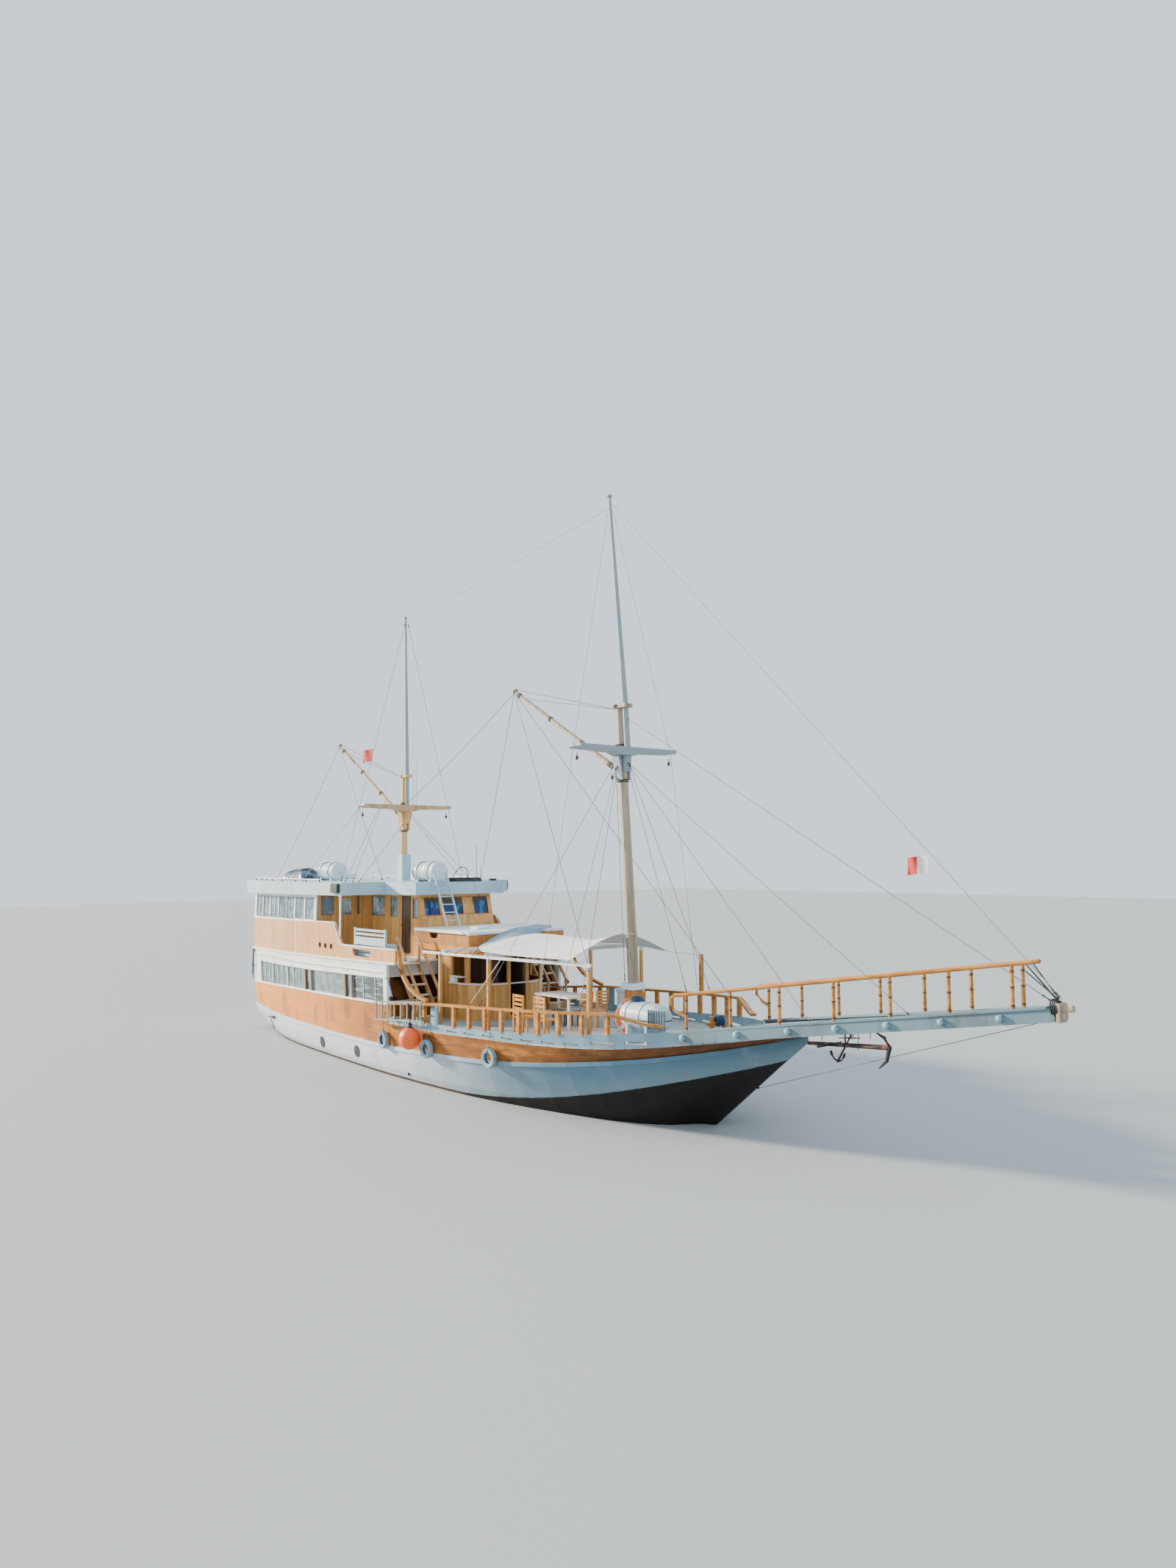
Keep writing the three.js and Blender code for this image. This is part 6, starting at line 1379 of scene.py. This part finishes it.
def stretched_cloth(name, lattice, finish, creases, columns=72, rows=48):
    """A roped cloth through rows of points. A crease is (along, across, way, length, width, height)."""
    points = []
    for r in range(rows + 1):
        v = r / rows
        line = [curve_through(row, v) for row in lattice]
        for k in range(columns + 1):
            u = k / columns
            lift = 0.0
            for u0, v0, way, length, width, height in creases:
                du, dv = u - u0, v - v0
                along = du * math.cos(way) + dv * math.sin(way)
                beside = dv * math.cos(way) - du * math.sin(way)
                reach = min(1.0, max(0.0, along / length))
                spread = width * (0.25 + reach)
                if along > 0:
                    swell = math.sin(math.pi * min(1.0, reach + 0.15))
                    lift += height * math.exp(-(beside / spread) ** 2) * swell
            points.append(curve_through(line, u) + Vector((0, 0, lift)))
    piece, area = cloth(name, points, rows, columns, finish)
    row = columns + 1
    edge = list(range(row)) + [(r + 1) * row - 1 for r in range(1, rows + 1)]
    edge += [rows * row + k for k in range(columns - 1, -1, -1)]
    edge += [r * row for r in range(rows - 1, 0, -1)]
    hem = Work()
    hem.rod([points[k] for k in edge], 0.009, 6, closed=True)
    return piece, hem.make(name + "_hem", finish, "canvas"), area


def fan(corner, first, step, length, width, height, count):
    """Creases that spread from a place in a cloth, one down and the next up; ways are in half turns."""
    return [(*corner, math.pi * (first + step * k), length, width, height * (1 if k % 2 else -1))
            for k in range(count)]


AWNING = [
    [(4.60, -2.15, 3.775), (4.05, -0.75, 3.93), (3.52, 0.60, 3.97)],
    [(5.10, -2.42, 3.728), (4.45, -0.15, 4.03), (4.35, 1.85, 3.715)],
    [(5.60, -2.48, 3.712), (5.60, -0.05, 3.93), (5.60, 2.10, 3.71)],
    [(7.20, -2.50, 3.712), (6.80, 0.00, 3.96), (6.60, 2.05, 3.66)],
    [(8.81, -2.40, 3.735), (7.96, -0.05, 4.19), (7.50, 2.00, 3.60)],
]
creases = fan((1.0, 0.5), 0.86, 0.07, 0.75, 0.025, 0.022, 5)
creases += fan((1.0, 0.0), 0.70, 0.08, 0.6, 0.020, 0.016, 4)
creases += fan((0.0, 0.0), 0.10, 0.09, 0.7, 0.022, 0.018, 4)
creases += [(0.35, 0.0, math.pi * 0.42, 0.6, 0.03, 0.022), (0.62, 0.0, math.pi * 0.56, 0.5, 0.03, 0.018)]
awning, awning_hem, awning_area = stretched_cloth("awning", AWNING, canvas, creases)
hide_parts("awning_cloth")

SHADED_AWNING = [
    [(3.50, -1.42, 3.712), (3.44, -0.75, 3.98), (3.30, -0.15, 4.125), (2.75, 0.70, 4.125),
     (2.05, 1.55, 4.120)],
    [(3.80, -1.62, 3.725), (3.60, -0.95, 3.93), (3.46, -0.25, 4.060), (3.38, 0.60, 4.110),
     (2.90, 1.50, 4.125)],
    [(4.66, -2.05, 3.735), (4.28, -1.20, 3.86), (3.98, -0.45, 3.930), (3.62, 0.45, 3.975),
     (3.30, 1.12, 4.120)],
]
creases = fan((0.0, 0.0), 0.12, 0.1, 0.8, 0.03, 0.012, 4)
shaded_cloth, shaded_hem, shaded_area = stretched_cloth("awning_old", SHADED_AWNING, shaded_canvas, creases, 24, 60)

white_cord = rope("white_cord", (0.62, 0.60, 0.54), (0.40, 0.38, 0.33), 300, 0.0008, mottle=12.0)
SAG_STEPS = 14


def taut(work, start, end, radius=0.009, sag=0.0, steps=1):
    """A line between two points; sag is how far its middle hangs below the straight."""
    start, end = Vector(start), Vector(end)
    steps = max(steps, SAG_STEPS if sag else 1)
    path = []
    for k in range(steps + 1):
        t = k / steps
        path.append(start.lerp(end, t) - Vector((0, 0, 4 * sag * t * (1 - t))))
    work.rod(path, radius, 6)


TIE, MAST_TIE_HEIGHTS = 0.008, (4.20, 4.225)
ties = Work()
taut(ties, (7.50, 2.00, 3.60), (8.05, 2.636, 3.50), TIE)
taut(ties, (7.96, -0.05, 4.19), (8.15, -0.02, 4.20), TIE)
for z in MAST_TIE_HEIGHTS:
    ties.hoop((8.255, 0, z), (0.07, 0, 1), 0.158, 0.011, 24, 6)
taut(ties, (8.81, -2.40, 3.735), (9.25, -2.20, 3.62), TIE)
for x in (5.0, 5.6, 6.2, 6.8, 7.4, 8.0, 8.5):
    y = -2.40 - 0.08 * math.sin(math.pi * min(1.0, (x - 4.6) / 4.2))
    taut(ties, (x, y, 3.725), (x + 0.04, read([(5.7, -2.6), (9.25, -2.19)], max(x, 5.7)), 3.625), 0.006)
taut(ties, (8.14, -0.16, 4.10), (8.37, -0.15, 3.62))
taut(ties, (8.37, -0.15, 3.62), (8.42, -0.17, 3.02))
ties.make("awning_ties", white_cord, "canvas")

bamboo = varnish("bamboo", "y", (0.72, 0.52, 0.32), (0.50, 0.32, 0.17))
poles = Work()
POLES = [((3.68, -2.62), (2.95, -1.72)), ((4.11, -2.60), (3.25, -1.55)), ((4.59, -2.60), (3.69, -1.20)),
         ((5.25, -2.60), (4.21, -1.10)), ((5.62, -2.58), (4.71, -1.30)), ((4.95, -2.62), (3.40, -1.30))]
for (x0, y0), (x1, y1) in POLES:
    z0 = read([(2.45, 3.56), (5.7, 3.60), (9.33, 3.62)], x0) + 0.048
    z1 = 3.705 if x1 < 3.7 else 3.66
    middle = ((x0 + x1) / 2, (y0 + y1) / 2, (z0 + z1) / 2 + 0.012)
    poles.rod([(x0 + 0.06, y0 - 0.06, z0 - 0.003), middle, (x1, y1, z1)], 0.017, 8, [1.1, 1.0, 0.8])
taut(poles, (6.26, -2.62, 3.565), (5.06, -2.72, 2.40), 0.014)
poles.make("awning_poles", bamboo, "varnish")
for k, (x, y) in enumerate(((3.4, -2.62), (5.7, -2.60), (9.25, -2.19))):
    binding = Work()
    for turn_height in (3.50, 3.53, 3.56):
        binding.hoop((x, y, turn_height), (0, 0, 1), 0.052, 0.007, 18, 6)
    binding.make(f"awning_post_binding_{k}", grey_rope, "wire")

# Bow platform: the cross logs end in rounded painted knobs outside the side beams, and the rail posts are
# bound with dark cord where the rails are tied to them. Low wooden bitts with a heap of blue rope stand
# behind it.
PLATFORM_AFT, PLATFORM_TIP = Vector((11.45, 1.40, 2.25)), Vector((19.40, 0.09, 3.455))
CROSS_LOGS = (0.015, 0.19, 0.345, 0.48, 0.615, 0.75, 0.885)
RAIL_POSTS = (0.02, 0.165, 0.315, 0.47, 0.62, 0.765, 0.91)
KNOB = ((0.95, -0.052), (1.04, -0.02), (1.0, 0.006), (0.80, 0.020), (0.45, 0.028), (0.04, 0.031))
knobs, bindings = Work(), Work()
for side in SIDES.values():
    for t in CROSS_LOGS:
        place = PLATFORM_AFT.lerp(PLATFORM_TIP, t)
        end = Vector((place.x, side * (place.y + 0.088), place.z - 0.115))
        size = 0.070 - 0.012 * t
        knobs.turned(end, (0, side, 0), [(size * radius, along) for radius, along in KNOB], 18)
        knobs.hoop(end - Vector((0, side * 0.05, 0)), (0, side, 0), size, 0.012, 22, 6)
    for t in RAIL_POSTS:
        place = PLATFORM_AFT.lerp(PLATFORM_TIP, t)
        spot = Vector((place.x, side * (place.y - 0.025), place.z))
        for height in (0.08, 0.10, 0.40, 0.42, 0.68, 0.70):
            bindings.hoop(spot + Vector((0, 0, height)), (0, 0, 1), 0.037, 0.008, 14, 6)
knobs.make("platform_log_ends", blue_white, "white_paint")
bindings.make("rail_bindings", dark_wood, "dark_wood")
deck_skin = surface("fore_deck")
BITTS = Vector((11.15, 0.0, meet(deck_skin, (11.15, 0.0, 0), (0, 0, -1))[0].z))
BITT_HEIGHT, CROSS_HEIGHT = 0.50, 0.33
bitts, heap = Work(), Work()
for y in (-0.10, 0.30):
    bitts.bar([BITTS + Vector((0, y, 0)), BITTS + Vector((0, y, BITT_HEIGHT))], 0.09, 0.09)
bitts.bar([BITTS + Vector((0, y, CROSS_HEIGHT)) for y in (-0.24, 0.44)], 0.07, 0.07)
bitts.make("mooring_bitts", post_varnish, "varnish")
for k in range(6):
    centre = BITTS + Vector((0.02 * (k % 3) - 0.02, 0.02 + 0.036 * k, 0.37 + 0.012 * (k % 2)))
    heap.hoop(centre, (0.10 * (k % 2), 1, 0.06 * k - 0.15), 0.085 + 0.008 * (k % 3), 0.018, 24, 7)
for k in range(3):
    centre = BITTS + Vector((0.30, 0.10, 0.022 + 0.034 * k))
    heap.hoop(centre, (0.03 * k, 0.02, 1), 0.17 - 0.02 * k, 0.018, 26, 7)
heap.make("mooring_rope", blue_rope, "tarp")

# A second, smaller anchor of rusty iron hangs under the platform beside the big one, and a few ends of cord.
dress(rusty_iron, "anchor")
spare = Work()
ring_at = Vector((15.10, -0.10, 2.52))
crown_at = Vector((14.93, -0.34, 1.98))
FLUKE = 0.20  # radius of the arms
spare.hoop(ring_at, (0, 1, 0), 0.05, 0.010, 18, 6)
spare.rod([ring_at, crown_at], 0.020, 8, [0.8, 1.2])
stock_way = Vector((0.7, 0.7, 0.0))
spare.rod([ring_at.lerp(crown_at, 0.15) + stock_way * s for s in (-0.22, 0.0, 0.22)], 0.013, 8,
          [0.7, 1.2, 0.7])
for way in (-1, 1):
    arm = [crown_at + Vector((way * FLUKE * math.sin(a), -way * 0.03, FLUKE * (1 - math.cos(a))))
           for a in (0, 0.5, 1.0, 1.4)]
    spare.rod(arm, 0.018, 8, [1.2, 1.0, 0.8, 0.3])
    spare.bar([arm[2], arm[3] + Vector((0, 0, 0.02))], 0.07, 0.012)
spare.rod([(15.10, -0.10, 2.56), (15.12, -0.06, 2.70)], 0.010, 6)
spare.make("spare_anchor", rusty_iron, "iron")
ends = Work()
for x, y, top, drop in ((14.55, -0.35, 2.62, 0.28), (15.42, -0.30, 2.76, 0.50), (15.30, 0.25, 2.74, 0.34)):
    ends.rod([(x, y, top), (x + 0.01, y - 0.01, top - drop * 0.5), (x - 0.015, y, top - drop)], 0.009, 6)
    ends.hoop((x, y, top), (1, 0, 0), 0.03, 0.009, 12, 6)
ends.make("platform_cord_ends", grey_rope, "wire")

# Masts: the lower masts are square timbers with the corners off, grey-brown and full of shakes and knots; the
# after one is varnished. The topmasts are painted blue-grey where they are not bare. Cheeks under each
# crosstree carry it, and iron bands hold the doubling.


def weathered_spar(name, light, dark, knots):
    spar = Finish(name, {"Coat Weight": 0.1, "Coat Roughness": 0.5})
    wood = timber(spar, light, dark, "z", 7.0)
    knot = spar.step(spar.noise(1.5, (1, 1, 0.5), 2.0), 0.62, 0.72)
    shakes = spar.step(spar.noise(30.0, (1, 1, 0.03)), 0.60, 0.72)
    wood = spar.mix(knot * 0.75, wood, knots)
    spar.set({
        "Base Color": spar.mix(shakes * 0.5, wood, tuple(0.4 * c for c in dark)),
        "Roughness": spar.noise(8.0) * 0.25 + 0.5,
        "Normal": spar.relief(spar.noise(30.0, (1, 1, 0.03)) - shakes, 0.003),
    })
    return spar


bare_spar = weathered_spar("bare_spar", (0.44, 0.36, 0.26), (0.27, 0.20, 0.13), (0.15, 0.075, 0.04))
grey_spar = weathered_spar("grey_spar", (0.24, 0.34, 0.42), (0.32, 0.34, 0.33), (0.44, 0.33, 0.22))
tan_spar = weathered_spar("tan_spar", (0.62, 0.42, 0.22), (0.42, 0.25, 0.11), (0.20, 0.11, 0.06))
dress(bare_spar, "main_mast", "main_gaff", "bowsprit")
dress(grey_spar, "main_topmast", "aft_topmast", "main_crosstree")
dress(tan_spar, "aft_gaff", "aft_crosstree")
MASTS = {
    "main": {"foot": (8.335, 2.99), "head": (7.862, 10.05), "half": 0.14, "tree": 8.72, "paint": grey_spar},
    "aft": {"foot": (-3.25, 6.30), "head": (-3.25, 8.95), "half": 0.12, "tree": 7.73, "paint": spar_varnish},
}
for name, mast in MASTS.items():
    (x0, z0), (x1, z1) = mast["foot"], mast["head"]
    cheeks, mast_irons = Work(), Work()

    def mast_centre(z):
        return Vector((x0 + (x1 - x0) * (z - z0) / (z1 - z0), 0, z))

    tree = mast["tree"]
    for side in SIDES.values():
        cheeks.skin([[mast_centre(tree - drop) + Vector((a, side * (mast["half"] - 0.03 + b * out), 0))
                      for a, b in ((-0.13, 0), (0.13, 0), (0.13, 1), (-0.13, 1))]
                     for drop, out in ((0.62, 0.035), (0.30, 0.065), (0.004, 0.11))])
    cheeks.skin([[mast_centre(tree - drop) + Vector((mast["half"] + out * a - 0.02, b, 0))
                  for a, b in ((0, -0.09), (1, -0.09), (1, 0.09), (0, 0.09))]
                 for drop, out in ((0.40, 0.04), (0.16, 0.12), (0.004, 0.15))])
    cheeks.make(name + "_mast_cheeks", mast["paint"], "mast_grey")
    for z in (z1 - 0.06, tree - 0.66, tree + 0.24):
        for above in (0.0, 0.045):
            centre = mast_centre(z) + Vector((0, 0, above))
            mast_irons.hoop(centre, (0, 0, 1), mast["half"] + 0.012, 0.014, 28, 6)
    mast_irons.make(name + "_mast_bands", black_iron, "iron")

# Gaffs: cord bindings lie round each spar, and two lifts run from the masthead to it. They swing with it.
GAFFS = {
    "main": {"axis": (7.73, 8.4), "peak": (3.14, 0.0, 11.01), "bail": (7.70, 0.0, 9.96)},
    "aft": {"axis": (-3.48, 7.6), "peak": (-8.13, 0.0, 10.39), "bail": (-3.44, 0.0, 8.90)},
}
for name, gaff in GAFFS.items():
    bindings, lifts = Work(), Work()
    axis = Vector((gaff["axis"][0], 0, gaff["axis"][1]))
    peak, bail = Vector(gaff["peak"]), Vector(gaff["bail"])
    way = (peak - axis).normalized()
    for along in (0.22, 0.27, 0.32, 1.6, 1.64, 3.2, 3.24, 4.9, 4.95):
        bindings.hoop(axis + way * along, way, 0.066, 0.012, 18, 6)
    bindings.hoop(peak - way * 0.08, way, 0.055, 0.012, 18, 6)
    bindings.make(name + "_gaff_bindings", grey_rope, "wire", name + "_gaff")
    for shift, reach in ((0.02, 0.02), (-0.02, 0.75)):
        taut(lifts, bail + Vector((0, shift, 0)), peak - way * reach + Vector((0, shift, 0.05)))
    block = [(0.005, 0.0), (0.03, 0.02), (0.036, 0.06), (0.03, 0.10), (0.005, 0.12)]
    lifts.turned(peak - way * 0.05 + Vector((0, 0.02, 0.055)), (bail - peak).normalized(), block, 10)
    lifts.make(name + "_gaff_lifts", grey_rope, "wire", name + "_gaff")

# Standing rigging: wire stays and shrouds, each with a rusty thimble at its head and a screw at its foot.
wire_rope = Finish("wire_rope", {"Metallic": 0.6})
wire_rope.set({
    "Base Color": wire_rope.mix(wire_rope.noise(6.0), (0.34, 0.35, 0.36), (0.20, 0.19, 0.18)),
    "Roughness": wire_rope.noise(20.0) * 0.2 + 0.45,
    "Normal": wire_rope.relief((wire_rope.z * 500).math("SINE"), 0.001),
})
dress(wire_rope, "forestay", "triatic_stay", "main_shroud_starboard", "main_shroud_port")
STEM_BOBSTAY = meet(hull_skin, (0, 0, 1.0), (-1, 0, 0))[0] + Vector((0.01, 0, 0))
STAYS = [
    ((8.10, 0.0, 9.72), (19.30, 0.0, 3.56)), ((8.17, 0.0, 8.55), (16.50, 0.0, 2.96)),
    ((8.17, 0.04, 8.50), (14.05, 0.0, 2.52)), (tuple(STEM_BOBSTAY), (19.44, 0.0, 3.28)),
    ((7.92, -0.16, 8.45), (8.56, -2.60, 2.54)), ((7.98, -0.16, 8.50), (9.19, -2.42, 2.57)),
    ((7.80, -0.15, 8.48), (5.74, -2.92, 2.40)), ((8.00, 0.16, 8.45), (7.36, 2.76, 2.48)),
    ((8.05, 0.16, 8.50), (8.43, 2.62, 2.53)), ((7.84, -0.10, 8.40), (8.17, -0.15, 3.02)),
]
AFT_STAYS = [
    ((-3.16, -0.06, 14.10), (-2.10, -2.86, 5.44)), ((-3.16, 0.06, 14.10), (-4.10, 2.86, 5.44)),
    ((-3.35, -1.55, 7.90), (-5.35, -2.66, 5.44)), ((-3.10, -1.00, 7.90), (-1.85, -2.84, 5.44)),
    ((-3.05, -0.95, 7.90), (-1.45, -2.80, 5.44)), ((-3.10, -0.13, 7.30), (-1.20, -2.72, 5.44)),
    ((-3.12, 0.13, 7.70), (-3.55, 2.82, 5.44)), ((-3.12, 0.13, 7.60), (-4.05, 2.80, 5.44)),
]
STAY_RADIUS = 0.0085
SPINDLE = [(0.004, 0.0), (0.016, 0.012), (0.018, 0.03), (0.010, 0.05), (0.010, 0.13), (0.016, 0.15),
           (0.014, 0.17), (0.004, 0.18)]
THIMBLE = [(0.004, 0.0), (0.014, 0.02), (0.016, 0.09), (0.004, 0.12)]
standing, lanyards = Work(), Work()
for top, foot in STAYS + AFT_STAYS:
    taut(standing, top, foot, STAY_RADIUS)
    up_wire = (Vector(top) - Vector(foot)).normalized()
    lanyards.turned(Vector(foot) + up_wire * 0.01, up_wire, SPINDLE, 10)
    lanyards.turned(Vector(top) - up_wire * 0.14, up_wire, THIMBLE, 8)
standing.make("standing_rigging", wire_rope, "wire")
lanyards.make("rigging_lanyards", rusty_iron, "iron")

# Lashings at the platform's tip: dark ropes from the end of each bow rail down to the bowsprit's cap.
tip = Work()
for y0, y1, z0 in ((-0.12, -0.05, 4.20), (0.12, 0.05, 4.20), (-0.10, 0.02, 4.05), (0.10, -0.02, 4.05)):
    taut(tip, (18.90, y0, z0), (19.42, y1, 3.60), 0.011)
for k in range(4):
    tip.hoop((19.36 + 0.03 * k, 0, 3.44), (1, 0, 0.15), 0.155 - 0.006 * k, 0.013, 26, 6)
tip.rod([(19.42, 0.0, 3.58), (19.46, -0.02, 3.66), (19.40, -0.03, 3.72), (19.33, 0.0, 3.68)], 0.012, 6)
tip.make("tip_lashings", black_iron, "iron")

# Running lines: guys from the gaffs' peaks down to the deck and roof.
GUYS = {
    "main": [((-2.98, 0.0, 8.05), 0.10), ((0.27, 0.72, 5.46), 0.04), ((9.75, -2.26, 2.62), 0.0),
             ((9.30, 2.40, 2.59), 0.0)],
    "aft": [((-10.38, -1.40, 5.45), 0.10), ((-5.60, 0.45, 5.47), 0.02)],
}
for name, guys in GUYS.items():
    peak = Vector(GAFFS[name]["peak"])
    for k, (foot, sag) in enumerate(guys):
        line = Work()
        taut(line, peak + Vector((0.03, 0, -0.05)), foot, 0.008, sag, 24)
        guy = line.make(f"{name}_guy_{k}", grey_rope, "wire")
        guy.parent = None
        name + "_gaff"
        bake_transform(guy)

# Aerials: whip rods stand on the after crosstree, and a pulley hangs from each end of both crosstrees and
# from each side of the main mast under them.
whips, pulleys = Work(), Work()
for y, top in ((0.30, 11.23), (0.41, 9.79), (-0.75, 8.9)):
    whips.rod([(-3.17, y, 7.93), (-3.17, y, 8.25), (-3.17, y, top)], 0.012, 6, [1.6, 1.2, 0.6])
whips.make("whip_aerials", pipe_white, "white_paint")
PULLEYS = [(8.05, -1.55, 8.72), (8.05, 1.55, 8.72), (-3.17, -1.58, 7.72), (-3.17, 1.58, 7.72),
           (7.80, -0.2, 8.3), (7.83, 0.2, 8.3)]
pulley = [(0.004, 0.0), (0.03, 0.015), (0.042, 0.06), (0.03, 0.105), (0.004, 0.12)]
for x, y, z in PULLEYS:
    pulleys.rod([(x, y, z + 0.01), (x, y, z - 0.08)], 0.009, 6)
    pulleys.turned((x, y, z - 0.07), (0, 0, -1), pulley, 12)
pulleys.make("rigging_blocks", dark_wood, "dark_wood")

# Pennants: a small red and white flag on the forestay and a red one on the after shroud, of thin bunting.


def pennant(name, corner, fly, wide, tall, cut, first, second):
    """A flag that flies from a corner, in one colour up to cut of its width and in another beyond."""
    bunting = Finish(name + "_bunting", {"Sheen Weight": 0.2})
    fly = Vector(fly).normalized()
    across = ((bunting.x - corner[0]) * fly.x + (bunting.y - corner[1]) * fly.y) / wide
    bunting.set({
        "Base Color": bunting.mix(bunting.step(across, cut - 0.02, cut + 0.02), first, second),
        "Roughness": bunting.noise(30.0) * 0.1 + 0.75,
        "Normal": bunting.relief((bunting.z * 1500).math("SINE"), 0.0004),
    })
    aside = fly.cross(Vector((0, 0, 1)))
    columns, rows = 20, 12
    points = []
    for r in range(rows + 1):
        for k in range(columns + 1):
            u, v = k / columns, r / rows
            wave = aside * (0.05 * u * math.sin(7.0 * u + 1.8 * v))
            points.append(Vector(corner) + fly * (wide * u) + wave
                          - Vector((0, 0, tall * v + 0.10 * wide * u)))
    flag, _ = cloth(name, points, rows, columns, bunting)


RED, BUNTING_WHITE = (0.62, 0.03, 0.03), (0.84, 0.84, 0.82)
pennant("forestay_pennant", (16.92, 0.0, 6.10), (-1.0, -0.25, 0), 0.42, 0.34, 0.5, BUNTING_WHITE, RED)
pennant("aft_pennant", (-2.62, -1.52, 9.72), (-1.0, -0.2, 0), 0.55, 0.40, 2.0, RED, RED)

# The box of everything that is shown.
low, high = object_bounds()
